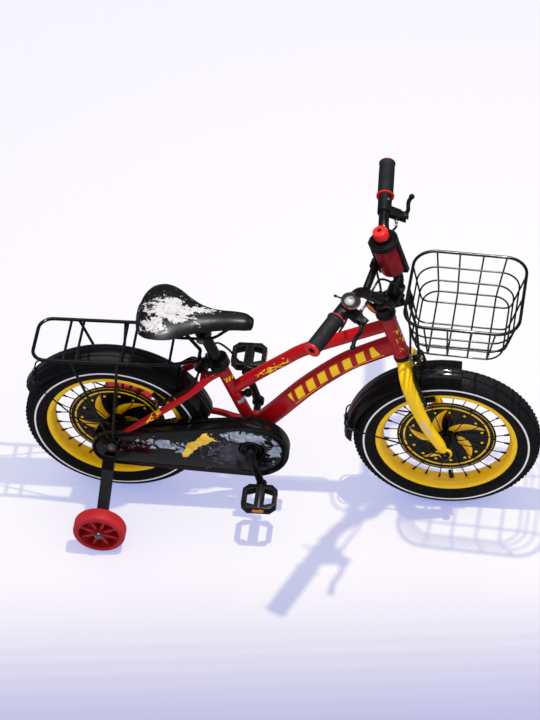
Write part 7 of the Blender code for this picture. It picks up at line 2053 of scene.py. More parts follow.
def make_grip(side, word):
    """A pebbled, ringed grip with red rings at its inner end and round its open end."""
    start, along = bar_point(side * GRIP_INNER_Y)
    length = (mirrored(BAR_END, side) - start).length
    cap = length + SEAT_GAP
    grip = Piece("rubber_grip_" + word, "pebbled_grip_rubber")
    place = direction_matrix(start, along)
    flange = GRIP_FLANGE_RADIUS
    tip = GRIP_TIP_RADIUS
    bore = BAR_BORE
    grip.lathe([(bore, 0.0022), (flange - 0.0004, 0.0022), (flange, 0.0028), (flange, 0.0040),
                (flange - 0.0010, 0.0050), (GRIP_RADIUS, 0.0066), (GRIP_RADIUS - 0.0004, 0.0100),
                (GRIP_RADIUS - 0.0004, cap - 0.0060), (GRIP_RADIUS, cap - 0.0034),
                (tip - 0.0004, cap - 0.0014), (tip, cap), (tip, cap + 0.0022), (bore, cap + 0.0022)],
               place, 48, closed=True)
    ring = Piece("ring", "pebbled_grip_rubber")
    ring.lathe([(GRIP_RADIUS - 0.0010, -0.0011), (GRIP_RADIUS + 0.0001, -0.0007), (GRIP_RADIUS + 0.0003, 0.0),
                (GRIP_RADIUS + 0.0001, 0.0007), (GRIP_RADIUS - 0.0010, 0.0011)],
               Matrix.Identity(4), 48, closed=True)
    count = sizes().grip_ribs
    run = (cap - 0.020) / count
    grip.repeat(ring, place @ Matrix.Translation((0.0, 0.0, 0.0115)), count, height=run)
    grip.use("red_trim_moulding")
    grip.lathe([(bore, 0.0), (flange - 0.0008, 0.0), (flange - 0.0002, 0.0006), (flange - 0.0002, 0.0020),
                (bore, 0.0020)], place, 48, closed=True)
    grip.lathe([(0.0068, cap + 0.0020), (tip - 0.0004, cap + 0.0020), (tip - 0.0006, cap + 0.0038),
                (tip - 0.0020, cap + 0.0050), (0.0078, cap + 0.0050), (0.0068, cap + 0.0042)],
               place, 48, closed=True)
    grip.use("black_moulding")
    grip.lathe(plain_ring(0.0, 0.0072, cap + 0.0012, cap + 0.0026), place, 32)
    grip.done("steering", ["grip_" + word], place=BAR_PLACE)


def lever_frame(side):
    """The clamp's outer end, the ways outwards and forwards, the pivot and its axis."""
    clamp_end, along = bar_point(side * GRIP_INNER_Y)
    clamp_end -= along * SEAT_GAP
    forward = Vector((cos(LEVER_DROOP), 0.0, -sin(LEVER_DROOP)))
    forward = (forward - along * forward.dot(along)).normalized()
    pivot = clamp_end - along * LEVER_PIVOT_INSET + forward * LEVER_REACH
    return clamp_end, along, forward, pivot, forward.cross(along).normalized()


def make_lever(side, word):
    """The brake lever's clamp with its screw and barrel, and the bent blade."""
    clamp_end, along, forward, pivot, axis = lever_frame(side)
    clamp_start = clamp_end - along * LEVER_CLAMP_LENGTH
    turn = axes_matrix(along, forward, axis)
    ear_y = LEVER_EAR_GAP + LEVER_EAR / 2
    bracket = Piece("lever_housing_" + word, "black_moulding")
    bracket.lathe(ring_profile(BAR_BORE, LEVER_CLAMP_RADIUS, 0.0, LEVER_CLAMP_LENGTH, 0.001),
                  direction_matrix(clamp_start, along), 44, closed=True)
    bracket.block(pivot - forward * 0.0220, (0.024, 0.027, 2 * ear_y + LEVER_EAR), turn, 0.0030, 3)
    for edge in (1, -1):
        bracket.block(pivot - forward * 0.003 + axis * edge * ear_y, (0.017, 0.022, LEVER_EAR), turn, 0.0008)
    barrel = pivot - along * 0.0115 - forward * 0.0165
    bracket.rod(barrel, barrel - along * 0.0075, 0.0042, 24)
    bracket.use("plated_steel")
    bracket.rod(barrel - along * 0.0075, barrel - along * 0.0125, 0.0038, 24, 0.0030)
    bracket.lathe([(0.0, -ear_y - 0.0030), (0.0040, -ear_y - 0.0030), (0.0040, -ear_y - 0.0014),
                   (0.0024, -ear_y - 0.0014), (0.0024, ear_y + 0.0014), (0.0040, ear_y + 0.0014),
                   (0.0040, ear_y + 0.0030), (0.0, ear_y + 0.0030)], direction_matrix(pivot, axis), 20)
    top = 1.0 if axis.z > 0 else -1.0
    screw = clamp_start + along * LEVER_CLAMP_LENGTH * 0.62 + axis * top * (LEVER_CLAMP_RADIUS - 0.0016)
    bracket.bolt(screw, axis * top, 0.0044, 0.0036, 20)
    bracket.done("steering", ["lever_bracket_" + word], place=BAR_PLACE)
    blade = Piece("brake_blade_" + word, "black_gloss_moulding")
    half = LEVER_EAR_GAP - SEAT_GAP
    blade.lathe(ring_profile(0.0027, 0.0075, -half, half, 0.0005),
                direction_matrix(pivot, axis), 28, closed=True)
    tip = pivot + along * 0.064 + forward * 0.016
    path = bent([pivot + along * 0.004 - forward * 0.001, pivot + along * 0.020 + forward * 0.010,
                 pivot + along * 0.045 + forward * 0.008, tip], 0.010, 8)
    blade.tube(path, 0.0, section=oval(0.0038, 0.0046, 9), side=axis)
    blade.lathe(ball_profile(0.0062, 0.0062, 10), direction_matrix(tip, along), 28)
    blade.done("lever_" + word, ["brake_lever_" + word], place=BAR_PLACE)


def make_bell():
    """The bell's clamp and base with a red ring, its chrome dome and the thumb lever."""
    point, along = bar_point(-BELL_Y)
    up = (Z_AXIS - along * Z_AXIS.dot(along)).normalized()
    up = Matrix.Rotation(radians(-10.0), 3, along) @ up
    forward = up.cross(along).normalized()
    seat = point + along * BELL_OUTWARD + forward * BELL_FORWARD + up * BELL_LIFT
    pivot = seat - forward * 0.010 - up * 0.0021
    foot = point + along * 0.001 + forward * 0.002
    radius = BELL_RADIUS
    base = Piece("bell_clamp_and_base", "black_gloss_moulding")
    base.lathe(ring_profile(BAR_BORE, 0.0145, -0.006, 0.006, 0.0005),
               direction_matrix(point, along), 40, closed=True)
    base.rod(foot + up * 0.011, foot + up * (BELL_LIFT + 0.002), 0.0055, 28)
    place = direction_matrix(seat, up)
    base.lathe([(0.0, 0.0), (radius - 0.0030, 0.0), (radius - 0.0008, 0.0012), (radius - 0.0008, 0.0022),
                (0.0, 0.0022)], place, 48)
    base.rod(seat + up * (BELL_BASE_HEIGHT - 0.001), seat + up * (BELL_BASE_HEIGHT + 0.0045),
             radius - 0.005, 32)
    base.use("red_trim_moulding")
    base.lathe(plain_ring(0.0, radius - 0.0006, 0.0020, 0.0043), place, 48)
    base.use("plated_steel")
    base.rod(pivot - up * 0.0016, pivot + up * 0.0031, 0.0016, 16)
    base.bolt(foot - up * 0.0040 - forward * 0.0142, -forward, 0.0030, 0.0026, 20)
    base.done("steering", ["bell_base"], place=BAR_PLACE)
    dome = Piece("bell_chrome_dome", "polished_plate")
    low = BELL_BASE_HEIGHT + SEAT_GAP
    top = low + BELL_HEIGHT
    outer = smooth_profile([(radius, low), (radius - 0.0002, low + 0.0024), (radius - 0.0018, low + 0.0052),
                            (0.0142, top - 0.0036), (0.0080, top - 0.0010), (0.0, top)], 0.0010)
    dome.lathe(outer[:-1] + [(0.0040, top), (0.0034, top + 0.0010), (0.0, top + 0.0012)], place, 64)
    dome.lathe([(radius, low), (radius - 0.0010, low), (radius - 0.0022, low + 0.0046),
                (0.0138, top - 0.0048), (0.0, top - 0.0014)], place, 64)
    dome.done("steering", ["bell_dome"], place=BAR_PLACE, fix_normals=False)
    lever = Piece("bell_thumb_lever", "black_gloss_moulding")
    lever.lathe(plain_ring(0.0018, 0.0038, -0.0012, 0.0012), direction_matrix(pivot, up), 24, closed=True)
    lever.tube([pivot - forward * 0.003, pivot - forward * 0.012, pivot - forward * 0.022 + along * 0.002],
               0.0019, 16)
    tip = pivot - forward * 0.0240 + along * 0.0024
    lever.lathe(ball_profile(0.0031, 0.0038, 20), direction_matrix(tip, -forward), 24)
    lever.done("thumb_lever", ["bell_lever"], place=BAR_PLACE)


def crossbar_point(y):
    """The point of the crossbar's centre line at this y."""
    low = Vector((BAR_CLAMP_X, BAR_CLAMP_HALF, BAR_CLAMP_Z))
    brace = low.lerp(Vector(BAR_SHOULDER), CROSSBAR_SHARE)
    return Vector((brace.x, y, brace.z))


def make_bottle():
    """The hollow bottle with its screw cap, and the strap-on cage."""
    place = BAR_PLACE @ direction_matrix(BOTTLE_FOOT, STEER_UP)
    neck = BOTTLE_CAP_RADIUS - 0.0035
    top = BOTTLE_LENGTH
    rim = top + BOTTLE_NECK
    wall = 0.0014
    radius = BOTTLE_RADIUS
    bottle = Piece("metallic_bottle", "bottle_metallic")
    bottle.lathe([(radius - 0.0005, top - 0.0030), (radius, top - 0.0038), (radius, 0.0060),
                  (radius - 0.0012, 0.0026), (radius - 0.0050, 0.0), (0.0, 0.0), (0.0, wall),
                  (radius - 0.0062, wall), (radius - wall, 0.0065), (radius - wall, top - 0.0034)],
                 place, 64, closed=True)
    bottle.use("black_gloss_moulding")
    bottle.lathe([(neck, rim), (neck, top - 0.0010), (neck + 0.0044, top - 0.0016),
                  (radius - 0.0060, top - 0.0002), (radius - 0.0014, top), (radius, top - 0.0012),
                  (radius, top - 0.0036), (radius - wall, top - 0.0036), (neck - wall, top - 0.0030),
                  (neck - wall, rim)], place, 64, closed=True)
    bottle.done("bottle_body", ["bottle"])
    cap = Piece("bottle_screw_cap", "red_trim_moulding")
    low = top + SEAT_GAP
    rise = low + BOTTLE_CAP_HEIGHT
    outer = BOTTLE_CAP_RADIUS
    bore = neck + SEAT_GAP
    cap.lathe([(0.0052, rise), (outer - 0.0030, rise), (outer - 0.0009, rise - 0.0010),
               (outer, rise - 0.0030), (outer, low + 0.0052), (bore, low + 0.0052),
               (bore, rim + SEAT_GAP), (0.0052, rim + SEAT_GAP)], place, 48, closed=True)
    rib = Piece("rib", "red_trim_moulding")
    rib.block((outer + 0.0001, 0.0, low + 0.013), (0.0009, 0.0011, 0.014), edge=0.0003)
    cap.repeat(rib, place, 36, angle=2 * pi / 36)
    cap.use("black_moulding")
    cap.lathe([(outer - 0.0004, low + 0.0050), (outer + 0.0003, low + 0.0046), (outer + 0.0003, low + 0.0004),
               (outer - 0.0004, low), (bore, low), (bore, low + 0.0050)], place, 48, closed=True)
    cap.lathe(plain_ring(0.0, 0.0054, rise - 0.0016, rise - 0.0040), place, 28)
    cap.done("bottle_body", ["bottle_cap"])
    make_cage()


def make_cage():
    """Floor, collar, spine and strap round the bottle, banded to the crossbar."""
    foot = BOTTLE_FOOT
    hold = BOTTLE_RADIUS + CAGE_GAP
    out = hold + CAGE_WALL
    cage = Piece("strap_on_cage", "black_moulding")
    low, high = CAGE_HEIGHT - CAGE_COLLAR, CAGE_HEIGHT
    place = direction_matrix(foot, STEER_UP)
    cage.lathe(ring_profile(hold, out, low, high, 0.0008), place, 64, closed=True)
    cage.rod(foot - STEER_UP * 0.0036, foot - STEER_UP * SEAT_GAP, 0.0160, 36)
    turn = axes_matrix(STEER_FRONT, Y_AXIS, STEER_UP)
    middle = STEER_UP * (CAGE_HEIGHT / 2 - 0.003)
    cage.block(foot - STEER_UP * 0.0028, (2 * hold + 0.005, 0.0112, 0.0034), turn, 0.0006)
    for way, reach, thick, wide in ((-1, 0.0023, 0.0044, 0.016), (1, 0.0021, 0.0040, 0.012)):
        cage.block(foot + STEER_FRONT * way * (hold + reach) + middle, (thick, wide, CAGE_HEIGHT + 0.002),
                   turn, 0.0010)
    brace = crossbar_point(foot.y)
    gap = foot - STEER_FRONT * hold - brace
    cage.lathe([(CROSSBAR_RADIUS + SEAT_GAP, -0.009), (CROSSBAR_RADIUS + 0.0036, -0.009),
                (CROSSBAR_RADIUS + 0.004, -0.0085), (CROSSBAR_RADIUS + 0.004, 0.0085),
                (CROSSBAR_RADIUS + 0.0036, 0.009), (CROSSBAR_RADIUS + SEAT_GAP, 0.009)],
               direction_matrix(brace, Y_AXIS), 40, closed=True)
    start = brace + gap.normalized() * (CROSSBAR_RADIUS + 0.002)
    cage.rod(start, brace + STEER_FRONT * gap.dot(STEER_FRONT), 0.006, 24)
    cage.use("plated_steel")
    cage.bolt(brace + STEER_UP * (CROSSBAR_RADIUS + 0.0034), STEER_UP, 0.0032, 0.0026, 20)
    cage.done("steering", ["bottle_cage"], place=BAR_PLACE)


def make_reflector():
    """The amber reflector in its black housing, clipped to the handlebar."""
    low = BAR_PLACE @ Vector((BAR_CLAMP_X, -BAR_CLAMP_HALF, BAR_CLAMP_Z))
    high = BAR_PLACE @ mirrored(BAR_SHOULDER, -1)
    seat = low.lerp(high, REFLECTOR_SHARE)
    along = (high - low).normalized()
    half = REFLECTOR_FACING * REFLECTOR_THICKNESS / 2
    drop = (REFLECTOR_CENTRE - half - seat).normalized()
    piece = Piece("bar_reflector", "black_gloss_moulding")
    piece.lathe(ring_profile(BAR_BORE, BAR_RADIUS + 0.003, -0.006, 0.006, 0.0004),
                direction_matrix(seat, along), 36, closed=True)
    piece.rod(seat + drop * (BAR_RADIUS + 0.001), REFLECTOR_CENTRE - half * 0.5, 0.0045, 24)
    place = direction_matrix(REFLECTOR_CENTRE, REFLECTOR_FACING)
    outer = REFLECTOR_RADIUS
    piece.lathe([(0.0, -0.004), (outer - 0.003, -0.004), (outer, -0.0015), (outer, 0.0034),
                 (outer - 0.0010, 0.0040), (outer - 0.0022, 0.0034), (outer - 0.0026, 0.0022),
                 (0.0, 0.0022)], place, 48)
    piece.use("amber_lens")
    piece.lathe([(0.0, 0.0020), (outer - 0.0026, 0.0020), (outer - 0.0026, 0.0030), (outer - 0.0050, 0.0036),
                 (0.0, 0.0039)], place, 48)
    piece.done("steering", ["front_reflector"])


def basket_loop(share, slack, steps):
    """A rounded rectangle at a share of the depth, drawn in by the tapers and a slack."""
    z = BASKET_RIM_Z - BASKET_DEPTH * share
    inset = BASKET_TAPER * share + slack
    x0 = BASKET_REAR_X + inset
    x1 = BASKET_FRONT_X - BASKET_FRONT_TAPER * share - slack
    half = BASKET_HALF_WIDTH - inset
    corner = BASKET_CORNER - inset * 0.5
    points = []
    for cx, cy, quarter in ((x1 - corner, half - corner, 0), (x0 + corner, half - corner, 1),
                            (x0 + corner, -half + corner, 2), (x1 - corner, -half + corner, 3)):
        points += [Vector((px, py, z)) for px, py in
                   arc((cx, cy), corner, quarter * pi / 2, (quarter + 1) * pi / 2, steps)]
    return points


def make_basket():
    """The wire basket with its rim, rings, hoops and long wires."""
    basket = Piece("wire_basket", "black_gloss_paint")
    wire = BASKET_WIRE_RADIUS
    low_z = BASKET_RIM_Z - BASKET_DEPTH - wire * 0.9
    middle_x = (BASKET_REAR_X + BASKET_FRONT_X) / 2
    spread = (BASKET_FRONT_X - BASKET_REAR_X - 2 * BASKET_CORNER) / 2
    low_middle = middle_x + (BASKET_TAPER - BASKET_FRONT_TAPER) / 2
    low_spread = spread - (BASKET_TAPER + BASKET_FRONT_TAPER) / 4
    half = BASKET_HALF_WIDTH
    basket.tube(basket_loop(0.0, 0.0, 10), BASKET_RIM_RADIUS, 16, cyclic=True)
    for share in (0.38, 0.72, 1.0):
        basket.tube(basket_loop(share, wire * 0.9, 8), wire, 12, cyclic=True)
    for share in (-1.0, -0.34, 0.34, 1.0):
        x, low_x = middle_x + share * spread, low_middle + share * low_spread
        low_half = half - BASKET_TAPER
        basket.tube(bent([(x, -half, BASKET_RIM_Z), (low_x, -low_half, low_z), (low_x, low_half, low_z),
                          (x, half, BASKET_RIM_Z)], 0.014, 6), wire, 12)
    floor_z = low_z - wire * 1.2
    for y in (-BASKET_LONG_WIRE_Y, 0.0, BASKET_LONG_WIRE_Y):
        basket.tube(bent([(BASKET_REAR_X, y, BASKET_RIM_Z), (BASKET_REAR_X + BASKET_TAPER, y, floor_z),
                          (BASKET_FRONT_X - BASKET_FRONT_TAPER, y, floor_z),
                          (BASKET_FRONT_X, y, BASKET_RIM_Z)], 0.016, 6), wire, 12)
    basket.done("steering", ["basket"], place=BASKET_PLACE)


def make_basket_bracket():
    """The ring on the stem, the ribbed plate behind the basket and the stay to the brake stud."""
    ring_low = HEAD_TUBE_HIGH + UPPER_CUP_HEIGHT + 0.0012
    ring_high = ring_low + BRACKET_RING_HEIGHT
    lean = atan2(BASKET_TAPER, BASKET_DEPTH)
    normal = Vector((-cos(lean), 0.0, -sin(lean)))
    rise = BASKET_RIM_Z - BRACKET_PLATE_Z
    wall = Vector((BASKET_REAR_X + BASKET_TAPER * rise / BASKET_DEPTH, 0.0, BRACKET_PLATE_Z))
    face = wall + normal * (BASKET_WIRE_RADIUS * 1.2 + SEAT_GAP)
    back = face + normal * 0.004
    foot = Vector((BASKET_REAR_X + BASKET_TAPER - 0.004, 0.0, BASKET_RIM_Z - BASKET_DEPTH - 0.016))
    straight = BASKET_PLACE.inverted()
    stud = STUDS["front"]
    eye = straight @ stud.point(0.0, stud.level + ARM_PITCH + 0.0062, 0.0)
    bracket = Piece("basket_support", "black_gloss_paint")
    outer = BRACKET_RING_RADIUS
    bracket.lathe(ring_profile(STEM_RADIUS + 0.0003, outer, ring_low, ring_high, 0.0008),
                  direction_matrix(STEER_ORIGIN, STEER_UP), 48, closed=True)
    bracket.rod(steer_point(ring_low + 0.005, outer - 0.002), back, 0.0050, 24)
    end = eye + (foot - eye).normalized() * 0.0060
    bracket.tube(bent([back + normal * 0.0005 - Z_AXIS * 0.010, foot, end], 0.010, 6), 0.0030, 16)
    bracket.lathe(plain_ring(STUD_BORE, 0.0080, -0.0014, 0.0014),
                  direction_matrix(eye, STEER_FRONT), 32, closed=True)
    bracket.use("black_moulding")
    place = axes_matrix_at((back + face) / 2, Y_AXIS, normal.cross(Y_AXIS), normal)
    bracket.plate(oval(0.0190, 0.0180, 24), 0.0040, place, (), 0.0010)
    rib = Piece("rib", "black_moulding")
    rib.block((0.0, 0.0, 0.0), (0.0012, 0.026, 0.0012), edge=0.0003)
    ribs_start = (back + face) / 2 + normal * 0.0022 - Y_AXIS * 0.0105
    rib_axes = axes_matrix_at(ribs_start, normal, normal.cross(Y_AXIS) * -1, Y_AXIS)
    bracket.repeat(rib, rib_axes, 8, height=0.0030)
    bracket.done("steering", ["basket_bracket"], place=BASKET_PLACE)


def cable_ends(side):
    """Where the cable leaves a brake lever, and its way out."""
    _, along, forward, pivot, _ = lever_frame(side)
    start = BAR_PLACE @ (pivot - along * (0.0240 + SEAT_GAP) - forward * 0.0165)
    return start, (BAR_PLACE.to_3x3() @ -along)


def make_cables():
    """Both brake cables with ferrules at their ends."""
    start, way = cable_ends(-1)
    stud = STUDS["front"]
    end = stud.point(-0.028, stud.level, -0.024)
    routes = [("front", "steering", start, way, end, [
        start + way * 0.014, (0.5960, -0.0860, 0.7560), (0.6080, -0.0595, 0.7520),
        (0.6332, -0.0377, 0.7160), (0.6477, -0.0343, 0.6800), (0.6555, -0.0300, 0.6400),
        (0.6590, -0.0290, 0.6120), (0.6630, -0.0190, 0.5600), end])]
    start, way = cable_ends(1)
    stud = STUDS["rear"]
    end = stud.point(-0.028, stud.level + ARM_PITCH, 0.024)
    routes.append(("rear", "frame", start, way, end, [
        start + way * 0.012, (0.6140, 0.0980, 0.7300), (0.5900, 0.0750, 0.7050),
        (0.5900, 0.0350, 0.6850), (0.6010, -0.0050, 0.6720), (0.6010, -0.0300, 0.6840),
        (0.5860, -0.0477, 0.7000), (0.5687, -0.0510, 0.7000), (0.5581, -0.0497, 0.6900),
        (0.5450, -0.0400, 0.6500), (0.5320, -0.0120, 0.5900), (0.5150, 0.0140, 0.5250),
        (0.4900, 0.0180, 0.4840), (0.4330, 0.0180, 0.4550), (0.3900, 0.0180, 0.4220),
        (0.3300, 0.0200, 0.3780), (0.2900, 0.0260, 0.3850), (0.2620, 0.0340, 0.4200),
        (0.2350, 0.0335, 0.4400), end]))
    for word, body, start, way, end, stops in routes:
        cable = Piece(word + "_cable_housing", "cable_sleeve")
        path = [start] + eased(stops, 0.008)
        cable.tube(path, CABLE_RADIUS, 16)
        cable.use("plated_steel")
        cable.rod(start - way * 0.0002, start + way * 0.0085, CABLE_RADIUS + 0.0005, 20)
        back = (path[-3] - end).normalized()
        cable.rod(end + back * 0.004, end + back * 0.014, CABLE_RADIUS + 0.0005, 20)
        cable.done(body, [word + "_brake_cable"])


def eased_range(tree, value, low, high, start, end):
    """A value mapped smoothly from between two limits to between two others."""
    node = tree.nodes.new("ShaderNodeMapRange")
    node.interpolation_type = "SMOOTHSTEP"
    tree.links.new(value, node.inputs["Value"])
    for name, number in (("From Min", low), ("From Max", high), ("To Min", start), ("To Max", end)):
        node.inputs[name].default_value = number
    return node.outputs[0]


def mixed_shader(tree, share, first, second):
    """Two shaders mixed by a share."""
    node = tree.nodes.new("ShaderNodeMixShader")
    for socket, source in zip(node.inputs, (share, first, second)):
        tree.links.new(source, socket)
    return node.outputs[0]


def diffuse_shader(tree, colour):
    """A matt shader of one colour."""
    node = tree.nodes.new("ShaderNodeBsdfDiffuse")
    node.inputs["Color"].default_value = (*colour, 1.0)
    return node.outputs[0]


def floor_finish():
    """The pale floor: its soft fade and faint stripes near the viewer, and its cool shadows."""
    material = bpy.data.materials.new("pale_floor")
    material.use_nodes = True
    tree = material.node_tree
    tree.nodes.clear()
    link = tree.links.new

    def math(operation, first, second=None):
        node = tree.nodes.new("ShaderNodeMath")
        node.operation = operation
        for socket, value in zip(node.inputs, (first, second)):
            if isinstance(value, (int, float)):
                socket.default_value = value
            elif value is not None:
                link(value, socket)
        return node.outputs[0]

    def tinted(base, extra=(0.0, 0.0, 0.0)):
        near = math("MULTIPLY", fade, band)
        made = tree.nodes.new("ShaderNodeCombineColor")
        for socket, low, part, more in zip(made.inputs, FLOOR_FADE, base, extra):
            span = math("ADD", math("MULTIPLY", near, 1.0 - low), low)
            full = math("ADD", math("MULTIPLY", lost, more), part)
            link(math("MULTIPLY", span, full), socket)
        return made.outputs[0]

    place = tree.nodes.new("ShaderNodeTexCoord")
    parts = tree.nodes.new("ShaderNodeSeparateXYZ")
    link(place.outputs["Object"], parts.inputs[0])
    away = math("ADD", math("MULTIPLY", parts.outputs[0], -0.1138),
                math("MULTIPLY", parts.outputs[1], 0.9935))
    fade = math("MAXIMUM", eased_range(tree, away, -0.79, -0.23, 0.0, 1.0),
                eased_range(tree, away, -1.70, -0.85, 1.0, 0.0))
    wave = math("SINE", math("MULTIPLY", math("ADD", away, 0.4735), 2 * pi / 0.0400))
    strength = eased_range(tree, away, -0.50, -0.43, 0.075, 0.0)
    band = math("ADD", math("MULTIPLY", wave, strength), 1.0)
    aside = math("SUBTRACT", parts.outputs[0], LAMP_PLACE.x)
    beyond = math("SUBTRACT", parts.outputs[1], LAMP_PLACE.y)
    square = math("ADD", math("MULTIPLY", aside, aside), math("MULTIPLY", beyond, beyond))
    share = math("DIVIDE", 1.0, math("ADD", math("MULTIPLY", square, 1.0 / LAMP_PLACE.z ** 2), 1.0))
    lost = math("SUBTRACT", 1.0, math("MULTIPLY", share, share))
    diffuse = tree.nodes.new("ShaderNodeBsdfDiffuse")
    glow = tree.nodes.new("ShaderNodeEmission")
    if bpy.context.scene.bike_stage.shadow_tint:
        link(tinted((0.574, 0.521, 0.268)), diffuse.inputs["Color"])
        link(tinted((0.226, 0.274, 0.650), (0.234, 0.210, 0.105)), glow.inputs["Color"])
    else:
        link(tinted((0.88, 0.86, 0.93)), diffuse.inputs["Color"])
        glow.inputs["Strength"].default_value = 0.0
    seen = tree.nodes.new("ShaderNodeAddShader")
    link(diffuse.outputs[0], seen.inputs[0])
    link(glow.outputs[0], seen.inputs[1])
    rays = tree.nodes.new("ShaderNodeLightPath").outputs
    unseen = mixed_shader(tree, rays["Is Glossy Ray"], diffuse_shader(tree, (0.80, 0.78, 0.84)),
                          diffuse_shader(tree, (0.16, 0.16, 0.18)))
    choice = mixed_shader(tree, rays["Is Camera Ray"], unseen, seen.outputs[0])
    link(choice, tree.nodes.new("ShaderNodeOutputMaterial").inputs["Surface"])
    return material


def make_floor():
    """A broad floor just under the tyres."""
    mesh = bpy.data.meshes.new("floor")
    mesh.from_pydata([(FLOOR_REACH * x, FLOOR_REACH * y, FLOOR_Z)
                      for x, y in ((-1, -1), (1, -1), (1, 1), (-1, 1))], [], [(0, 1, 2, 3)])
    mesh.materials.append(floor_finish())
    floor = bpy.data.objects.new("floor", mesh)
    bpy.context.scene.collection.objects.link(floor)


def make_lamp():
    """One small lamp above the handlebar, and an even surround."""
    stage = bpy.context.scene.bike_stage
    light = bpy.data.lights.new("lamp", "AREA")
    light.shape = "DISK"
    light.size = stage.lamp_size
    light.energy = stage.lamp_power
    light.color = LAMP_COLOUR
    lamp = bpy.data.objects.new("lamp", light)
    lamp.location = LAMP_PLACE
    bpy.context.scene.collection.objects.link(lamp)
    world = bpy.data.worlds.new("surround")
    bpy.context.scene.world = world
    world.use_nodes = True
    tree = world.node_tree
    back = tree.nodes["Background"]
    back.inputs["Color"].default_value = (0.96, 0.965, 1.0, 1.0)
    back.inputs["Strength"].default_value = stage.surround
    way = tree.nodes.new("ShaderNodeSeparateXYZ")
    tree.links.new(tree.nodes.new("ShaderNodeTexCoord").outputs["Generated"], way.inputs[0])
    mirror = tree.nodes.new("ShaderNodeBackground")
    tree.links.new(eased_range(tree, way.outputs[2], 0.70, 0.93, 0.07, 0.95), mirror.inputs["Strength"])
    glossy = tree.nodes.new("ShaderNodeLightPath").outputs["Is Glossy Ray"]
    choice = mixed_shader(tree, glossy, back.outputs[0], mirror.outputs[0])
    tree.links.new(choice, tree.nodes["World Output"].inputs["Surface"])


def make_camera():
    """The camera, high on the right side, with a long lens."""
    camera = bpy.data.cameras.new("camera")
    camera.sensor_fit = "VERTICAL"
    camera.sensor_width = 36.0
    camera.sensor_height = 36.0
    camera.lens = CAMERA_LENS
    camera.shift_x, camera.shift_y = CAMERA_SHIFT
    camera.clip_end = 60.0
    obj = bpy.data.objects.new("camera", camera)
    right = Vector((0.992062, 0.113756, -0.053590))
    up = Vector((-0.046698, 0.728981, 0.682939))
    back = Vector((0.116754, -0.675016, 0.728507))
    obj.matrix_world = axes_matrix_at(CAMERA_PLACE, right, up, back)
    bpy.context.scene.collection.objects.link(obj)
    bpy.context.scene.camera = obj
    bpy.context.scene.view_settings.view_transform = "Standard"


class BuildTyres(Operator):
    """Both tyres, with their tread blocks and shoulder ribs"""

    bl_idname = "bicycle.tyres"
    bl_label = "Tyres"

    def execute(self, context):
        for wheel in WHEELS:
            make_tyre(*wheel)
        return {"FINISHED"}


class BuildRims(Operator):
    """Both rims, with their valves"""

    bl_idname = "bicycle.rims"
    bl_label = "Rims"

    def execute(self, context):
        for wheel, valve_angle in zip(WHEELS, (-86.0, 70.0)):
            make_rim(*wheel, radians(valve_angle))
        return {"FINISHED"}


class BuildHubs(Operator):
    """Both hubs, with their spokes"""

    bl_idname = "bicycle.hubs"
    bl_label = "Hubs and spokes"

    def execute(self, context):
        for wheel, dropout_y in zip(WHEELS, (FORK_DROPOUT_Y, REAR_DROPOUT_Y)):
            make_hub(*wheel, dropout_y - DROPOUT_THICKNESS / 2 - SEAT_GAP)
        return {"FINISHED"}


class BuildDiscs(Operator):
    """Both printed wheel discs"""

    bl_idname = "bicycle.discs"
    bl_label = "Wheel discs"

    def execute(self, context):
        for wheel in WHEELS:
            make_disc(*wheel)
        return {"FINISHED"}


class BuildAxles(Operator):
    """Both axles, with their nuts"""

    bl_idname = "bicycle.axles"
    bl_label = "Axles"

    def execute(self, context):
        make_axles()
        return {"FINISHED"}


class BuildFrame(Operator):
    """The welded frame"""

    bl_idname = "bicycle.main_frame"
    bl_label = "Frame"

    def execute(self, context):
        make_main_frame()
        return {"FINISHED"}


class BuildHeadFittings(Operator):
    """The headset cups and the ball on the seat tube"""

    bl_idname = "bicycle.head_fittings"
    bl_label = "Headset cups"

    def execute(self, context):
        make_head_fittings()
        return {"FINISHED"}


class BuildFork(Operator):
    """The curved fork"""

    bl_idname = "bicycle.fork"
    bl_label = "Fork"

    def execute(self, context):
        make_fork()
        return {"FINISHED"}


class BuildMudguards(Operator):
    """Both mudguards and the wires that carry them"""

    bl_idname = "bicycle.mudguards"
    bl_label = "Mudguards"

    def execute(self, context):
        make_mudguard("rear", REAR_HUB, "frame", radians(14.0), radians(148.0))
        make_mudguard("front", FRONT_HUB, "steering", radians(82.0), radians(178.5), 5)
        guard_stay("rear", REAR_HUB, "frame", radians(139.0), GUARD_EYE_Y)
        guard_stay("front", FRONT_HUB, "steering", radians(167.0), FRONT_EYE_Y)
        return {"FINISHED"}


class BuildRack(Operator):
    """The rear rack"""

    bl_idname = "bicycle.rack"
    bl_label = "Rack"

    def execute(self, context):
        make_rack()
        return {"FINISHED"}


class BuildDrive(Operator):
    """The chain, its wheels and its printed case"""

    bl_idname = "bicycle.drive"
    bl_label = "Chain and case"

    def execute(self, context):
        make_chain_drive()
        return {"FINISHED"}


class BuildCrank(Operator):
    """The one-piece crank"""

    bl_idname = "bicycle.crank"
    bl_label = "Crank"

    def execute(self, context):
        make_crank()
        return {"FINISHED"}


class BuildPedals(Operator):
    """Both pedals"""

    bl_idname = "bicycle.pedals"
    bl_label = "Pedals"

    def execute(self, context):
        for side, word in SIDES:
            make_pedal(side, word)
        return {"FINISHED"}


class BuildStabilisers(Operator):
    """Both stabilisers, arm and wheel"""

    bl_idname = "bicycle.stabilisers"
    bl_label = "Stabilisers"

    def execute(self, context):
        for side, word in SIDES:
            make_stabiliser(side, word)
        return {"FINISHED"}


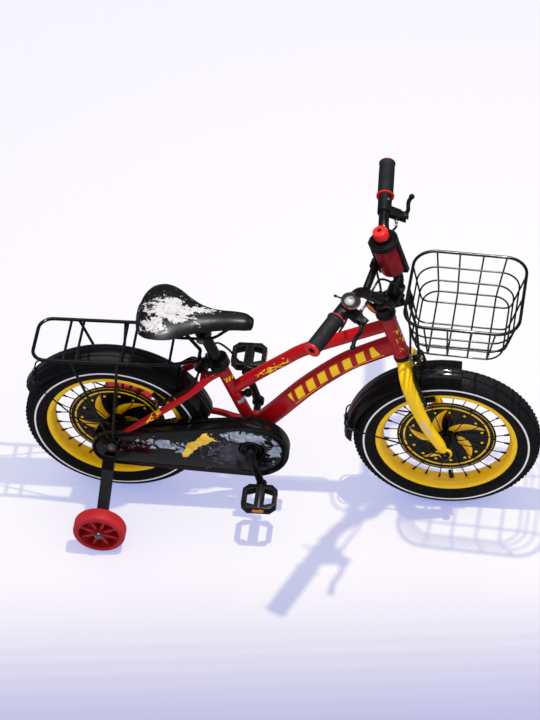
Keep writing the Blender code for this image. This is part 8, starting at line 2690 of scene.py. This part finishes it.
class BuildSeatPost(Operator):
    """The seat post, its collar and lever, and the saddle's rails"""

    bl_idname = "bicycle.seat_post"
    bl_label = "Seat post and rails"

    def execute(self, context):
        make_seat_clamp()
        make_seat_post()
        return {"FINISHED"}


class BuildSaddle(Operator):
    """The padded saddle"""

    bl_idname = "bicycle.saddle"
    bl_label = "Saddle"

    def execute(self, context):
        make_saddle()
        return {"FINISHED"}


class BuildHandlebar(Operator):
    """The handlebar and its stem"""

    bl_idname = "bicycle.handlebar"
    bl_label = "Handlebar and stem"

    def execute(self, context):
        make_handlebar()
        make_stem()
        return {"FINISHED"}


class BuildGrips(Operator):
    """Both grips"""

    bl_idname = "bicycle.grips"
    bl_label = "Grips"

    def execute(self, context):
        for side, word in SIDES:
            make_grip(side, word)
        return {"FINISHED"}


class BuildLevers(Operator):
    """Both brake levers with their housings"""

    bl_idname = "bicycle.levers"
    bl_label = "Brake levers"

    def execute(self, context):
        for side, word in SIDES:
            make_lever(side, word)
        return {"FINISHED"}


class BuildBell(Operator):
    """The bell"""

    bl_idname = "bicycle.bell"
    bl_label = "Bell"

    def execute(self, context):
        make_bell()
        return {"FINISHED"}


class BuildBottle(Operator):
    """The bottle, its cap and its cage"""

    bl_idname = "bicycle.bottle"
    bl_label = "Bottle and cage"

    def execute(self, context):
        make_bottle()
        return {"FINISHED"}


class BuildReflector(Operator):
    """The reflector on the handlebar"""

    bl_idname = "bicycle.reflector"
    bl_label = "Reflector"

    def execute(self, context):
        make_reflector()
        return {"FINISHED"}


class BuildBasket(Operator):
    """The wire basket and its support"""

    bl_idname = "bicycle.basket"
    bl_label = "Basket"

    def execute(self, context):
        make_basket()
        make_basket_bracket()
        return {"FINISHED"}


class BuildBrakes(Operator):
    """The four calliper arms"""

    bl_idname = "bicycle.brakes"
    bl_label = "Brake callipers"

    def execute(self, context):
        for word in ("front", "rear"):
            for side, side_word in SIDES:
                make_calliper_arm(word, STUDS[word], side, side_word)
        return {"FINISHED"}


class BuildCables(Operator):
    """Both brake cables"""

    bl_idname = "bicycle.cables"
    bl_label = "Brake cables"

    def execute(self, context):
        make_cables()
        return {"FINISHED"}


class BuildStage(Operator):
    """The floor, the light and the camera"""

    bl_idname = "bicycle.stage"
    bl_label = "Stage"

    def execute(self, context):
        make_floor()
        make_lamp()
        make_camera()
        return {"FINISHED"}


class BicyclePanel(Panel):
    """Buttons and settings of the bicycle"""

    bl_idname = "VIEW3D_PT_bicycle"
    bl_label = "Bicycle"
    bl_space_type = "VIEW_3D"
    bl_region_type = "UI"
    bl_category = "Bicycle"

    def draw(self, context):
        for kind in OPERATORS:
            self.layout.operator(kind.bl_idname)
        for group in (context.scene.bike_colours, context.scene.bike_sizes, context.scene.bike_stage):
            box = self.layout.box()
            for name in group.__annotations__:
                box.prop(group, name)


OPERATORS = (
    BuildTyres, BuildRims, BuildHubs, BuildDiscs, BuildAxles, BuildFrame, BuildHeadFittings, BuildFork,
    BuildMudguards, BuildRack, BuildDrive, BuildCrank, BuildPedals, BuildStabilisers, BuildSeatPost,
    BuildSaddle, BuildHandlebar, BuildGrips, BuildLevers, BuildBell, BuildBottle, BuildReflector,
    BuildBasket, BuildBrakes, BuildCables, BuildStage)
SETTINGS = (("bike_colours", BikeColours), ("bike_sizes", BikeSizes), ("bike_stage", BikeStage))


def register():
    """Add the settings, the operators and the panel."""
    for name, group in SETTINGS:
        bpy.utils.register_class(group)
        setattr(bpy.types.Scene, name, PointerProperty(type=group))
    for kind in (*OPERATORS, BicyclePanel):
        bpy.utils.register_class(kind)


def unregister():
    """Take away what register added."""
    for kind in reversed((*OPERATORS, BicyclePanel)):
        bpy.utils.unregister_class(kind)
    for name, group in reversed(SETTINGS):
        delattr(bpy.types.Scene, name)
        bpy.utils.unregister_class(group)


def main():
    """Build every piece and the stage."""
    register()
    for kind in OPERATORS:
        getattr(bpy.ops.bicycle, kind.bl_idname.partition(".")[2])()
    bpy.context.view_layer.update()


if __name__ == "__main__":
    main()
